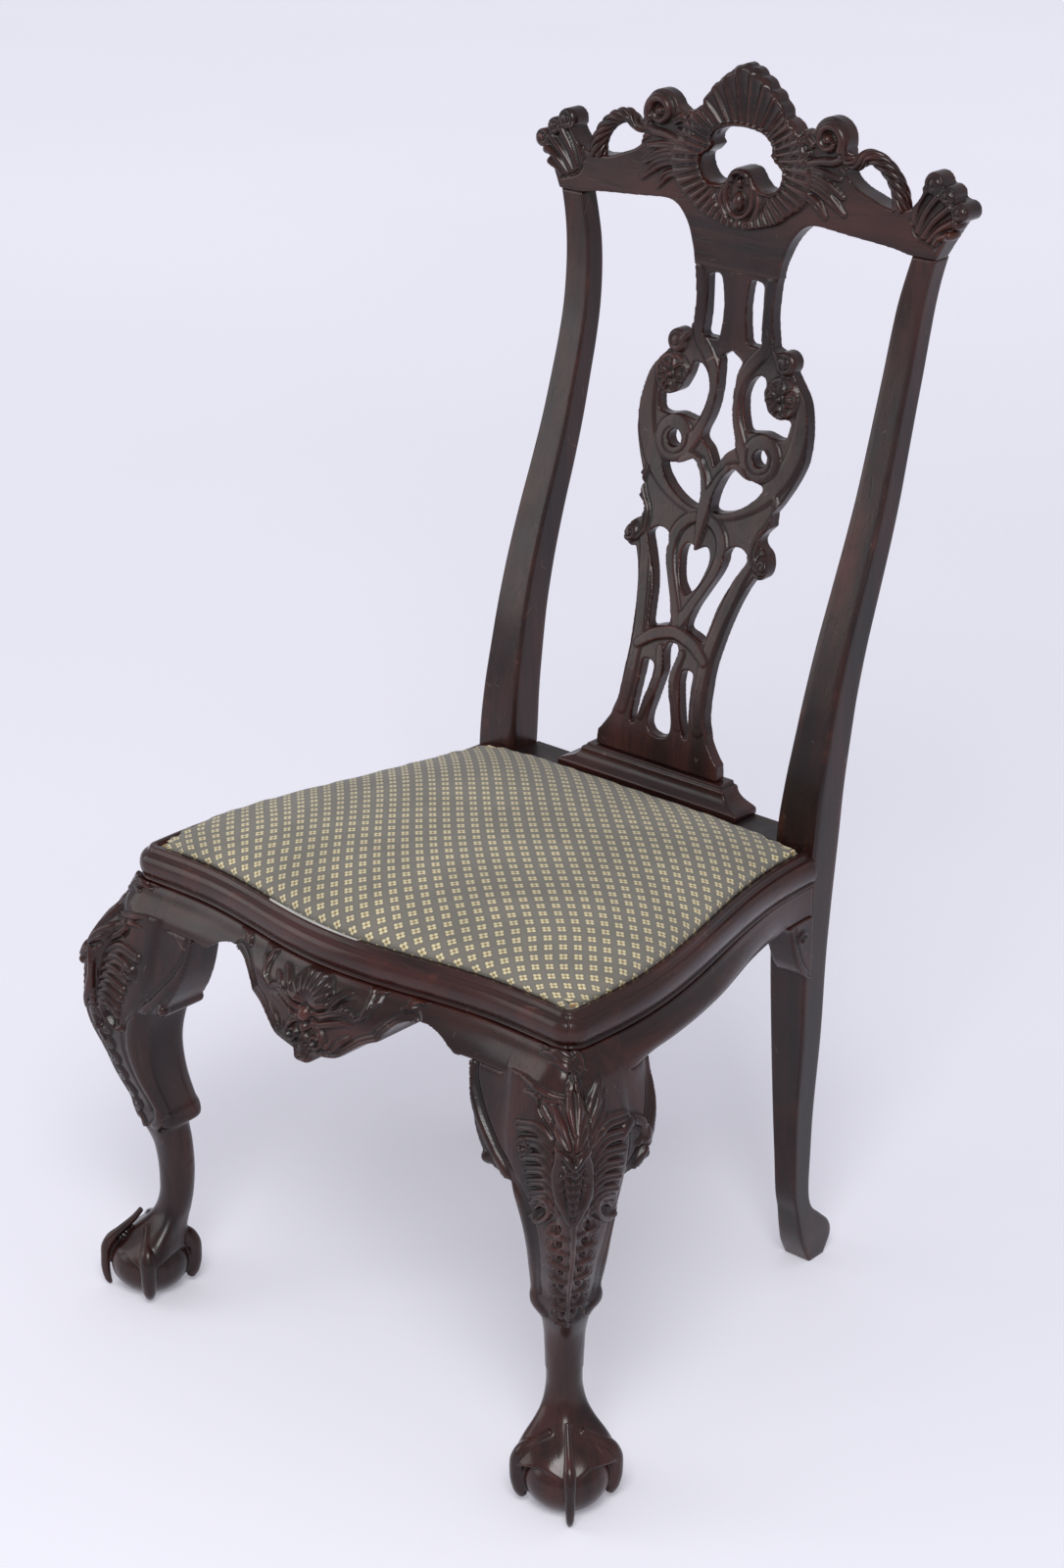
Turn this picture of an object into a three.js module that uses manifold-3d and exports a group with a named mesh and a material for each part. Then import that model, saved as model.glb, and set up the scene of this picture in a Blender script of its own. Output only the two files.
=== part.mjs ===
// A dining side chair in dark mahogany: carved crest rail, pierced splat, cabriole front legs
// with ball-and-claw feet, serpentine seat rails and a drop-in upholstered seat.
// Millimetres, +Z up, the front faces -Y. Inside this file y = 0 runs through the front feet.
import * as THREE from "three";
import { mergeVertices } from "three/addons/utils/BufferGeometryUtils.js";
import Module from "manifold-3d";

const wasm = await Module();
wasm.setup();

// Clearances.
const gap = 0.3;
const overrun = 4;

// Seat height and the plan of its edge, measured on the nose of the seat moulding.
const seatTop = 441;
const seatFall = 8;
const seatDepth = 391;
const noseHalfWidth = 250.5;
const frontHollow = 3.5;
const serpentineReach = 178;
const serpentineSwell = 21;
const cornerEase = 3.5;
const sideTurn = 65;
const sideSwell = 3;
const sideDrawIn = 54;
const sideEnd = 6;
// Behind this place the swell of the side faces fades out, and they draw in to the rear posts.
const fadeStart = 190;
const rearDrawIn = 4;

// Seat moulding.
const mouldHeight = 29;
const mouldWidth = 16;
const mouldLip = 12;
const ledgeDrop = 17;
const noseCornerRadius = 7;
const cornerSteps = 5;

// How many straight runs follow the bends of the seat, its shortest pieces and the smooth curves.
const frontSteps = 20;
const sideSteps = 18;
const pieceSteps = 5;
const bracketSteps = 6;

// Faces of the rails, brackets and knees: how far they swell out below the moulding.
const faceDrop = 100;
const faceSwell = 31;
const faceShares = [
  [0, -0.02], [0.04, 0.06], [0.1, 0.24], [0.18, 0.42], [0.27, 0.53],
  [0.42, 0.63], [0.62, 0.78], [0.82, 0.93], [1, 1], [1.15, 1.02],
];
const sideSwellShare = 0.78;
// Face of the side rails, whose swell curls in again at their lower edge.
const sideFaceShares = [
  [0, -0.02], [0.05, 0.1], [0.1, 0.28], [0.15, 0.42], [0.19, 0.46], [0.235, 0.38], [0.28, 0.16],
];
const railThickness = 34;

// Front rail with its arches and pendant.
const pendantDrop = 105;
const pendantShares = [
  [0, 1], [0.02, 1], [0.034, 0.985], [0.042, 0.92], [0.08, 0.905], [0.139, 0.876], [0.183, 0.8],
  [0.23, 0.714], [0.286, 0.65],
];
const archShares = [
  [0.3, 0.59], [0.33, 0.51], [0.366, 0.45], [0.433, 0.414], [0.497, 0.448], [0.549, 0.524], [0.57, 0.556],
];
const cuspShare = 0.65;

// Front legs.
const legBlank = 50;
const blockSize = 55;
const kneeFoot = 300;
const shaftDrop = 51;
// Height shares up to 1 rise from the floor to the knee, and from 1 to this one on to the shaft's top.
const shaftTopShare = 1.3;
// Rows of height, outward reach, inward reach and squareness, from the ball to the rails.
const legRowShares = [
  [0.14, 0.45, 0.5, 2.2], [0.17, 0.42, 0.56, 2.2], [0.2, 0.24, 0.6, 2.2], [0.24, 0.08, 0.6, 2.3],
  [0.275, -0.015, 0.63, 2.3], [0.32, -0.075, 0.67, 2.3], [0.375, -0.09, 0.695, 2.3],
  [0.43, -0.076, 0.704, 2.3], [0.5, -0.03, 0.69, 2.4], [0.56, 0.08, 0.665, 2.6],
  [0.577, 0.1, 0.7, 3], [0.59, 0.13, 0.8, 4], [0.625, 0.17, 0.8, 4], [0.66, 0.2, 0.74, 4],
  [0.75, 0.38, 0.66, 4], [0.847, 0.53, 0.64, 4], [0.927, 0.6, 0.69, 4.5], [1, 0.632, 0.8, 5],
  [1.07, 0.6, 0.92, 7], [1.14, 0.52, 1, 9], [1.24, 0.38, 1.04, 10], [1.3, 0.29, 1.04, 12],
];
const legSides = 20;
const roundingSteps = 1e5;
// The carved leaf down the knee: distance out on the diagonal and height.
const kneeLeafShares = [
  [0.1, 1.35], [0.236, 1.27], [0.48, 1.208], [0.632, 1.163], [0.72, 1.117], [0.756, 1.007],
  [0.706, 0.933], [0.51, 0.849], [0.31, 0.769], [0.11, 0.689], [-0.08, 0.62],
];
const kneeLeafRadius = 7;
const ballRadius = 36;
const ballHeight = 60;
const ballFlat = 2.5;
const clawRadius = 6.5;
// Points of a claw: distance from the leg's foot centre and height.
const clawShares = [
  [-0.04, 1.19], [0.2, 0.97], [0.52, 0.724], [0.69, 0.6], [0.754, 0.402], [0.79, 0.15], [0.74, -0.07],
];
const clawSides = 6;
const clawSteps = 7;

// Knee brackets: outline from the leg's block, as shares of reach and drop.
const bracketReach = 36;
const sideBracketReach = 34;
const bracketDrop = 84;
const bracketTop = 57;
const bracketBack = 16;
const bracketShares = [
  [1, 0], [0.97, 0.12], [0.9, 0.26], [0.76, 0.46], [0.55, 0.66], [0.35, 0.8],
];
const bracketRollRadius = 6.5;
const bracketRollShares = [0.15, 0.86];
const bracketRollTurn = [150, 300];
const bracketRootShares = [-0.45, 0.98];

// Rear posts, each one piece from the floor to the crest rail.
const backRise = 500;
const backLean = 125;
// Rows of height above the seat, lean, depth, outer edge and inner edge.
const postRowShares = [
  [0, 0, 1, 0.98, 0.765], [0.09, 0.05, 0.97, 0.978, 0.775], [0.18, 0.13, 0.92, 0.975, 0.787],
  [0.25, 0.2, 0.88, 0.973, 0.795], [0.334, 0.304, 0.84, 0.972, 0.802],
  [0.42, 0.432, 0.8, 0.971, 0.808], [0.506, 0.568, 0.76, 0.967, 0.811],
  [0.58, 0.677, 0.71, 0.963, 0.813], [0.656, 0.77, 0.67, 0.959, 0.815],
  [0.724, 0.848, 0.64, 0.957, 0.817], [0.784, 0.908, 0.61, 0.96, 0.822],
  [0.846, 0.95, 0.59, 0.968, 0.833], [0.9, 0.975, 0.58, 0.98, 0.85],
  [0.945, 0.99, 0.57, 0.998, 0.875], [0.985, 1, 0.57, 1.022, 0.903],
];
const postSpread = 200;
const postDepth = 37;
// Rows of height, front face, back face, outer edge and inner edge, from the floor to the seat.
const rearLegRowShares = [
  [0, 1, 1.62, 0.91, 0.765], [0.04, 0.73, 1.86, 0.915, 0.77], [0.075, 0.54, 1.73, 0.92, 0.785],
  [0.11, 0.41, 1.3, 0.923, 0.795], [0.143, 0.3, 0.9, 0.926, 0.805], [0.19, 0.135, 0.73, 0.93, 0.812],
  [0.28, 0.03, 0.69, 0.937, 0.812], [0.39, -0.054, 0.68, 0.945, 0.805],
  [0.56, -0.054, 0.75, 0.96, 0.78], [0.73, -0.12, 0.76, 0.97, 0.77], [0.855, -0.1, 0.85, 0.975, 0.766],
];

// Crest rail, sawn from a blank whose half width and height the shares follow.
const crestHalfBlank = 250;
const crestBlank = 200;
const neckFoot = 50;
const crestThickness = 23;
const crestLean = 10;
// Rows of height, lean of the front face and thickness.
const crestSlabShares = [
  [-0.02, -0.34, 1], [0.35, 0, 0.98], [0.55, 0.2, 0.75], [0.7, 0.35, 0.6], [0.95, 0.55, 0.42],
];
const crestUnderShares = [
  [0, 0], [0.184, 0], [0.192, 0.06], [0.202, 0.1], [0.216, 0.15], [0.24, 0.2], [0.28, 0.247],
  [0.335, 0.262], [0.46, 0.25], [0.64, 0.233], [0.72, 0.217], [0.822, 0.217],
];
const earOuterShares = [
  [0.836, 0.255], [0.862, 0.32], [0.884, 0.365],
];
// Rolls as rows of place across, place up and radius, then the arc's first and last angle.
const earRollShares = [
  [0.902, 0.43, 0.0425, -100, 95], [0.848, 0.492, 0.04, -20, 115], [0.792, 0.53, 0.05, 20, 225],
];
const crestDipShares = [
  [0.745, 0.455], [0.71, 0.415], [0.66, 0.395], [0.6, 0.4], [0.54, 0.425], [0.48, 0.455],
  [0.445, 0.495], [0.44, 0.54],
];
const crestVoluteShares = [0.366, 0.64, 0.0925, -20, 165];
const shellEdgeShares = [
  [0.262, 0.648], [0.236, 0.643], [0.216, 0.664], [0.184, 0.676], [0.166, 0.692], [0.172, 0.715],
  [0.16, 0.748], [0.132, 0.79], [0.112, 0.803], [0.092, 0.818], [0.08, 0.846],
  [0.034, 0.882], [0, 0.9],
];
const shellHoleShares = [
  [0, 0.626], [0.05, 0.622], [0.098, 0.604], [0.126, 0.574], [0.132, 0.548], [0.124, 0.53],
  [0.146, 0.5], [0.174, 0.478], [0.178, 0.45], [0.168, 0.408], [0.142, 0.374], [0.106, 0.368],
  [0.094, 0.4], [0.066, 0.44], [0.03, 0.455], [0, 0.458],
];
const ropeRadius = 5.5;
const ropeShares = [
  [0.66, 0.39], [0.655, 0.45], [0.625, 0.52], [0.575, 0.573], [0.52, 0.59], [0.47, 0.555], [0.42, 0.57],
];
const ropeSides = 8;
const ropeSteps = 14;

// Splat, sawn from a curved board: x as shares of its half width, heights of the back's rise.
const splatHalfBlank = 100;
const splatThickness = 12;
const splatSetBack = 21;
const splatLean = 106;
const splatLeanShares = [
  [-0.03, -0.02], [0.038, 0], [0.098, 0.025], [0.214, 0.15], [0.404, 0.49], [0.5, 0.64],
  [0.59, 0.763], [0.7, 0.868], [0.776, 0.924], [0.89, 0.945], [0.96, 0.95],
];
const splatNeckShares = [
  [0.442, 0.888], [0.428, 0.855], [0.425, 0.838], [0.43, 0.818], [0.445, 0.798], [0.46, 0.78],
];
const splatKnobShares = [0.6, 0.758, 0.022, 130, -40];
const scrollEdgeShares = [
  [0.735, 0.732], [0.835, 0.708], [0.885, 0.688], [0.922, 0.658], [0.94, 0.628], [0.935, 0.598],
  [0.91, 0.578], [0.86, 0.553], [0.81, 0.533], [0.76, 0.515], [0.72, 0.503],
];
const leafEdgeShares = [
  [0.735, 0.48], [0.66, 0.462], [0.67, 0.447], [0.76, 0.434], [0.805, 0.414], [0.79, 0.398],
  [0.735, 0.391], [0.67, 0.392],
];
const strapEdgeShares = [
  [0.61, 0.368], [0.56, 0.338], [0.515, 0.298], [0.49, 0.263], [0.473, 0.23], [0.477, 0.188],
  [0.485, 0.158], [0.5, 0.133], [0.535, 0.113], [0.56, 0.098], [0.647, 0.073], [0.69, 0.063],
];
const splatFootShare = 0.7;
const slotShares = [
  [0.165, 0.893], [0.312, 0.889], [0.307, 0.855], [0.31, 0.815], [0.33, 0.776],
  [0.155, 0.776], [0.125, 0.815], [0.122, 0.845], [0.14, 0.875],
];
const notchShares = [
  [0, 0.76], [0.12, 0.745], [0.11, 0.735], [0.095, 0.7], [0.1, 0.667], [0.13, 0.638],
  [0.19, 0.602], [0.09, 0.583], [0, 0.556],
];
const rosetteGapShares = [
  [0.4, 0.728], [0.3, 0.727], [0.23, 0.712], [0.195, 0.69], [0.2, 0.675], [0.22, 0.655],
  [0.275, 0.627], [0.48, 0.634], [0.62, 0.627], [0.71, 0.63], [0.74, 0.664], [0.62, 0.662],
  [0.5, 0.672], [0.43, 0.7],
];
const lensShares = [
  [0.22, 0.565], [0.35, 0.551], [0.47, 0.546], [0.58, 0.543], [0.54, 0.527], [0.44, 0.508],
  [0.34, 0.495], [0.24, 0.486], [0.14, 0.481], [0.055, 0.483], [0.07, 0.515], [0.12, 0.543],
];
const heartShares = [
  [0, 0.412], [0.06, 0.419], [0.12, 0.419], [0.157, 0.402], [0.14, 0.378], [0.09, 0.352], [0, 0.334],
];
const sideGapShares = [
  [0.44, 0.436], [0.52, 0.43], [0.575, 0.418], [0.49, 0.388], [0.415, 0.358], [0.365, 0.328],
  [0.335, 0.288], [0.315, 0.266], [0.2, 0.275], [0.1, 0.279], [0.1, 0.292], [0.135, 0.318],
  [0.21, 0.348], [0.285, 0.378], [0.317, 0.398], [0.31, 0.42], [0.35, 0.43],
];
const narrowGapShares = [
  [0.155, 0.21], [0.22, 0.215], [0.29, 0.213], [0.29, 0.188], [0.302, 0.158], [0.32, 0.123],
  [0.335, 0.096], [0.28, 0.096], [0.235, 0.122], [0.185, 0.163], [0.155, 0.188],
];
const teardropShares = [
  [0, 0.252], [0.05, 0.25], [0.077, 0.233], [0.042, 0.203], [0.047, 0.188], [0.09, 0.148],
  [0.127, 0.118], [0.127, 0.1], [0.08, 0.088], [0, 0.084],
];
const eyeRadius = 5.5;
const eyeShares = [0.48, 0.59];

// Splat shoe, standing on the rear rail.
const shoeHeight = 25;
const shoeHalfFoot = 104;
const shoeHalfTop = 78;
const shoeDepth = 32;
const shoeSetBack = 6;
const shoeEdgeShares = [
  [0, 0], [0, 0.2], [0.12, 0.3], [0.5, 0.42], [0.78, 0.62], [0.84, 0.82], [1, 0.86], [1, 1],
];
const shoeStep = 11;
const splatTenonHalf = 52;
const splatTenonDrop = 12;
const splatTenonThickness = 8;
const splatTopTenonHalf = 34;
const splatTopTenonRise = 18;

// Seat rails at the back and sides.
const rearRailHeight = 62;
const rearRailSetBack = 1;
const rearRailThickness = 35;
const rearLedge = 26;
const sideRailFrontDrop = 57;
const sideRailRearDrop = 58;
const tenonThickness = 11;
const tenonHeight = 26;
const tenonLength = 24;
const postTenonThickness = 9;
const tenonInset = 16;
const rearTenonLength = 14;
const rearTenonSetBack = 25;

// Rear brackets under the side rails.
const rearBracketReach = 39;
const rearBracketDrop = 62;
const rearBracketShares = [
  [1, 0], [0.87, 0.1], [0.77, 0.34], [0.64, 0.55], [0.49, 0.74], [0.28, 0.9], [0, 1],
];
const rearBracketDepth = 30;

// Corner blocks and their screws.
const blockFace = 32;
const rearBlockFace = 40;
const blockHeight = 20;
const screwRadius = 2.2;
const screwHeadRadius = 4.2;
const screwHeadHeight = 3;
const screwLength = 47;
const screwSides = 12;

// Drop-in seat.
const dropIn = 17.3;
const coverThickness = 1.5;
const seatRearGap = 1.5;
const frameWidth = 50;
const frameEase = 1.5;
const clothEase = 4;
const frameThickness = 15;
const frameTenonLength = 20;
const frameTenonThickness = 6;
const frameTenonWidth = 28;
const clothThickness = 0.8;
const strapWidth = 50;
const strapThickness = 1;
const strapSpacingShare = 1.75;
const crownHeight = 34;
const coverSkirt = 12;
const padCells = 16;
const crownPowerShare = 4;
const shoulderShare = 0.36;
const flatShare = 0.74;

// Heights and places that follow from the sizes above.
const postFront = seatDepth;
const rearRailFront = postFront + rearRailSetBack;
const rearRailBack = rearRailFront + rearRailThickness;
const shoeFront = postFront + shoeSetBack;
const rearTenonBack = postFront + rearTenonSetBack;
const ledgeZ = seatTop - ledgeDrop;
const faceTop = seatTop - mouldHeight;
const cornerX = noseHalfWidth;
const cornerY = frontHollow - cornerEase;
const blockInner = cornerX - blockSize;
const crestFoot = seatTop + backRise - neckFoot;
const crestJoint = crestFoot + crestBlank * crestUnderShares[crestUnderShares.length - 1][1];
const rearTop = seatTop - seatFall;
const frameFoot = ledgeZ + 2 * gap + clothThickness;
const frameTop = frameFoot + frameThickness;
const strapFoot = frameTop + gap;
const crossFoot = strapFoot + strapThickness + gap;
const hessianFoot = crossFoot + strapThickness + gap;
const padFoot = hessianFoot + clothThickness + gap;
const padInset = dropIn + coverThickness + gap;
const frameInset = padInset + frameEase;

// Colours and surface values of the materials.
const finishes = {
  mahogany: { color: 0x3a2524, roughness: 0.42, metalness: 0 },
  beech: { color: 0xb08d62, roughness: 0.7, metalness: 0 },
  webbing: { color: 0xa89572, roughness: 0.9, metalness: 0 },
  hessian: { color: 0x9c8458, roughness: 0.95, metalness: 0 },
  wadding: { color: 0xe6e1d4, roughness: 0.95, metalness: 0 },
  fabric: { color: 0x8a8470, roughness: 0.85, metalness: 0 },
  lining: { color: 0x26241f, roughness: 0.95, metalness: 0 },
  steel: { color: 0x8d8a84, roughness: 0.4, metalness: 1 },
};

// The nose line of the moulding across the front: y at a given x.
function frontNose(x) {
  const along = Math.abs(x);
  const share = Math.min(along / serpentineReach, 1);
  const past = Math.min(Math.max(along - serpentineReach, 0) / (noseHalfWidth - serpentineReach), 1);
  const swell = (serpentineSwell * (1 + Math.cos(Math.PI * share))) / 2;
  return frontHollow - swell - cornerEase * past * past;
}

// The nose line of the moulding along a side: x at a given y.
function sideNose(y) {
  const share = THREE.MathUtils.clamp((y - sideTurn) / (postFront - sideEnd - sideTurn), 0, 1);
  const ahead = THREE.MathUtils.clamp((sideTurn - y) / sideTurn, 0, 1);
  const drawIn = (sideDrawIn * (1 - Math.cos(Math.PI * share))) / 2;
  return noseHalfWidth + sideSwell - drawIn - sideSwell * ahead * ahead;
}

function sideSwellAt(outward, y) {
  const faded = THREE.MathUtils.smoothstep(y, fadeStart, postFront);
  return outward * sideSwellShare * (1 - faded) - rearDrawIn * faded;
}

// A closed geometry as a solid, and a solid as a geometry.
function solid(geometry) {
  const bare = geometry.clone();
  bare.deleteAttribute("normal");
  bare.deleteAttribute("uv");
  const welded = mergeVertices(bare);
  return new wasm.Manifold(
    new wasm.Mesh({
      numProp: 3,
      vertProperties: welded.attributes.position.array,
      triVerts: new Uint32Array(welded.index.array),
    }),
  );
}

function geometryOf(body) {
  const mesh = body.getMesh();
  const geometry = new THREE.BufferGeometry();
  geometry.setAttribute("position", new THREE.BufferAttribute(mesh.vertProperties, 3));
  geometry.setIndex(new THREE.BufferAttribute(mesh.triVerts, 1));
  geometry.computeVertexNormals();
  return geometry;
}

// The other-handed copy of a body.
function mirroredBody(body) {
  const geometry = geometryOf(body).scale(-1, 1, 1);
  const corners = Array.from(geometry.index.array);
  for (let index = 0; index < corners.length; index += 3) {
    [corners[index], corners[index + 1]] = [corners[index + 1], corners[index]];
  }
  geometry.setIndex(corners);
  return solid(geometry);
}

// Moves every corner of a geometry by a function of its place.
function mapped(geometry, move) {
  const place = new THREE.Vector3();
  const corners = geometry.attributes.position;
  for (let index = 0; index < corners.count; index += 1) {
    place.fromBufferAttribute(corners, index);
    move(place);
    corners.setXYZ(index, place.x, place.y, place.z);
  }
  return geometry;
}

function flatPoints(pairs) {
  return pairs.map(([first, second]) => new THREE.Vector2(first, second));
}

// An outline in (x, z) extruded from frontY backwards.
function uprightAcross(points, frontY, depth) {
  const board = new THREE.ExtrudeGeometry(new THREE.Shape(points), { depth, bevelEnabled: false });
  return board.rotateX(Math.PI / 2).translate(0, frontY + depth, 0);
}

// An outline in (y, z) extruded from startX towards +X.
function uprightAlong(points, startX, length, steps = 1) {
  const board = new THREE.ExtrudeGeometry(new THREE.Shape(points), {
    depth: length,
    steps,
    bevelEnabled: false,
  });
  const turn = new THREE.Matrix4().makeBasis(
    new THREE.Vector3(0, 1, 0),
    new THREE.Vector3(0, 0, 1),
    new THREE.Vector3(1, 0, 0),
  );
  return board.applyMatrix4(turn).translate(startX, 0, 0);
}

// A flat outline in (x, y) standing from foot upwards.
function slabUp(points, foot, height) {
  const slab = new THREE.ExtrudeGeometry(new THREE.Shape(points), { depth: height, bevelEnabled: false });
  return slab.translate(0, 0, foot);
}

function box(lengthX, lengthY, lengthZ, x, y, z) {
  return new THREE.BoxGeometry(lengthX, lengthY, lengthZ).translate(x, y, z);
}

// The fall of the seat towards the back, as a shear that keeps every vertical gap.
function fallen(body) {
  const geometry = geometryOf(body);
  return solid(
    mapped(geometry, (place) => {
      place.z -= (seatFall * place.y) / seatDepth;
    }),
  );
}

// A section in (inward, z) run across the front between two x places, bent to the nose line.
function alongFront(section, fromX, toX, steps) {
  return solid(
    mapped(uprightAlong(section, fromX, toX - fromX, steps), (place) => {
      place.y += frontNose(place.x);
    }),
  );
}

// A section in (inward, z) run along the right side between two y places, bent to the nose line.
function alongSide(section, fromY, toY, steps) {
  const run = new THREE.ExtrudeGeometry(new THREE.Shape(section), {
    depth: toY - fromY,
    steps,
    bevelEnabled: false,
  });
  const turn = new THREE.Matrix4().makeBasis(
    new THREE.Vector3(-1, 0, 0),
    new THREE.Vector3(0, 0, 1),
    new THREE.Vector3(0, 1, 0),
  );
  return solid(
    mapped(run.applyMatrix4(turn).translate(0, fromY, 0), (place) => {
      const onFace = place.x > -mouldLip / 2;
      place.x = sideNose(place.y) + (onFace ? sideSwellAt(place.x, place.y) : place.x);
    }),
  );
}

// Section of a rail, bracket or knee: swelling outer face, flat back and the rebate for the moulding.
function facedSection(depth, top, foot, shares = faceShares) {
  const outer = shares
    .map(([drop, swell]) => [-swell * faceSwell, top - gap - drop * faceDrop])
    .filter(([, z]) => z > foot);
  const last = outer[outer.length - 1];
  return flatPoints([
    ...outer,
    [last[0], foot],
    [depth, foot],
    [depth, ledgeZ],
    [mouldLip + gap, ledgeZ],
    [mouldLip + gap, top - gap],
  ]);
}

// Section of the seat moulding: inner fillet, hollow, round nose, quirk and fine bead.
function mouldingSection() {
  const shape = new THREE.Shape();
  const at = (inwardShare, dropShare) => [mouldWidth * inwardShare, seatTop - mouldHeight * dropShare];
  shape.moveTo(...at(1, 0));
  shape.lineTo(...at(0.62, 0));
  shape.lineTo(...at(0.58, 0.07));
  shape.quadraticCurveTo(...at(0.5, 0.15), ...at(0.38, 0.17));
  shape.bezierCurveTo(...at(0.02, 0.2), ...at(-0.12, 0.62), ...at(0.14, 0.82));
  shape.lineTo(...at(0.22, 0.86));
  shape.quadraticCurveTo(...at(0.02, 0.94), ...at(0.2, 1));
  shape.lineTo(mouldLip, faceTop);
  shape.lineTo(mouldLip, ledgeZ + gap);
  shape.lineTo(mouldWidth, ledgeZ + gap);
  return shape.getPoints(3);
}

// Height on a front leg: up to the knee, and on from there to the shaft's top under the moulding.
function legHeight(rise) {
  const above = (seatTop - shaftDrop - kneeFoot) / (shaftTopShare - 1);
  return Math.min(rise, 1) * kneeFoot + Math.max(rise - 1, 0) * above;
}

// Turns (outward, across, z) at the right front foot into the chair's axes.
function fromFoot(place) {
  const outward = place.x;
  const across = place.y;
  place.x = cornerX + (outward + across) * Math.SQRT1_2;
  place.y = cornerY + (across - outward) * Math.SQRT1_2;
}

// The cabriole shaft: rings whose reach and squareness follow the table of rows.
function legShaft(grow) {
  const rows = legRowShares.length;
  const shaft = new THREE.CylinderGeometry(1, 1, rows - 1, legSides, rows - 1);
  shaft.rotateX(Math.PI / 2);
  return mapped(shaft, (place) => {
    const index = Math.round(place.z + (rows - 1) / 2);
    const [rise, outShare, inShare, squareness] = legRowShares[index];
    const reachOut = legBlank * outShare + grow;
    const reachIn = legBlank * inShare + grow;
    const half = (reachOut + reachIn) / 2;
    const middle = (reachOut - reachIn) / 2;
    const angle = Math.atan2(place.y, place.x);
    const away = Math.hypot(place.x, place.y);
    const round = (value) => {
      const clean = Math.round(value * roundingSteps) / roundingSteps;
      return Math.sign(clean) * Math.abs(clean) ** (2 / squareness);
    };
    place.x = cornerX + middle + half * away * round(Math.cos(angle));
    place.y = cornerY - middle + half * away * round(Math.sin(angle));
    place.z = legHeight(rise);
  });
}

// A round tube through points (outward, height) on the diagonal through the foot.
function diagonalTube(pairs, radius, sides, steps, turn, foot) {
  const spots = pairs.map(([out, up]) => new THREE.Vector3(out, 0, foot + up));
  const path = new THREE.CatmullRomCurve3(spots);
  const ring = new THREE.Shape().absarc(0, 0, radius, 0, 2 * Math.PI);
  const section = new THREE.Shape(ring.getSpacedPoints(sides).slice(0, -1));
  const tube = new THREE.ExtrudeGeometry(section, { steps, extrudePath: path });
  return solid(mapped(tube.rotateZ(turn), fromFoot));
}

// One claw of the foot, turned about the foot's middle.
function claw(turn) {
  const pairs = clawShares.map(([out, up]) => [out * legBlank, up * legBlank]);
  return diagonalTube(pairs, clawRadius, clawSides, clawSteps, turn, clawRadius);
}

// The leaf that runs down the knee's corner.
function kneeLeaf() {
  const pairs = kneeLeafShares.map(([out, rise]) => [out * legBlank, legHeight(rise)]);
  return diagonalTube(pairs, kneeLeafRadius, clawSides, pairs.length + 3, 0, 0);
}

// The square top of a front leg, whose faces run on from the rails.
function legBlock(grow) {
  const foot = seatTop - bracketTop - overrun - grow;
  const section = facedSection(blockSize + grow, faceTop, foot);
  const reach = cornerX + faceSwell + overrun;
  const across = alongFront(section, blockInner - grow, reach, pieceSteps);
  const beside = alongSide(section, cornerY - faceSwell - overrun, blockSize + grow, pieceSteps);
  return fallen(across.intersect(beside));
}

function frontLeg() {
  const ball = new THREE.SphereGeometry(1, 12, 7);
  ball.rotateX(Math.PI / 2).scale(ballRadius, ballRadius, ballHeight / 2);
  ball.translate(cornerX, cornerY, ballHeight / 2 - ballFlat);
  let leg = solid(legShaft(0)).add(solid(ball)).add(legBlock(0)).add(kneeLeaf());
  for (let quarter = 0; quarter < 4; quarter += 1) leg = leg.add(claw((quarter * Math.PI) / 2));
  const floor = solid(box(2 * cornerX, 2 * cornerX, legBlank, cornerX, cornerY, -legBlank / 2));
  return leg.subtract(floor);
}

// A closed outline from half an outline that starts and ends on the middle line.
function bothSides(half) {
  const mirrored = half.map((point) => new THREE.Vector2(-point.x, point.y)).reverse();
  return [...half, ...mirrored.filter((point) => point.x < 0)];
}

function smooth(points, divisions) {
  return new THREE.SplineCurve(points).getPoints(divisions);
}

function arcPoints(x, z, radius, from, to, divisions) {
  const points = [];
  for (let step = 0; step <= divisions; step += 1) {
    const angle = THREE.MathUtils.degToRad(from + ((to - from) * step) / divisions);
    points.push(new THREE.Vector2(x + radius * Math.cos(angle), z + radius * Math.sin(angle)));
  }
  return points;
}

// Shares of a width and a height, measured from a foot height, as points.
function sized(shares, width, height, foot) {
  return shares.map(([across, up]) => new THREE.Vector2(across * width, foot + up * height));
}

// A roll's arc, its place and radius given as shares of a width and a height.
function rollPoints([across, up, radiusShare, from, to], width, height, foot, divisions) {
  return arcPoints(across * width, foot + up * height, radiusShare * height, from, to, divisions);
}

// Seat moulding: the front strip runs between mitres, the side strips from a mitre to a post.
function frontMoulding() {
  const reach = cornerX - gap * Math.SQRT1_2;
  const run = uprightAlong(mouldingSection(), -reach, 2 * reach, frontSteps);
  const strip = mapped(run, (place) => {
    place.x *= (reach - place.y) / reach;
    place.y += frontNose(place.x);
  });
  return fallen(solid(strip).subtract(cornerCutter(1)).subtract(cornerCutter(-1)));
}

function sideMoulding() {
  const start = cornerY + gap * Math.SQRT1_2;
  const stop = postFront;
  const section = mouldingSection();
  const run = new THREE.ExtrudeGeometry(new THREE.Shape(section), {
    depth: stop - start,
    steps: sideSteps,
    bevelEnabled: false,
  });
  const strip = mapped(run, (place) => {
    const inward = place.x;
    const height = place.y;
    const along = stop - ((stop - start - place.z) * (stop - start - inward)) / (stop - start);
    place.set(sideNose(along) - inward, along, height);
  });
  return fallen(solid(strip).subtract(cornerCutter(1))).subtract(rearPost(gap));
}

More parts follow.
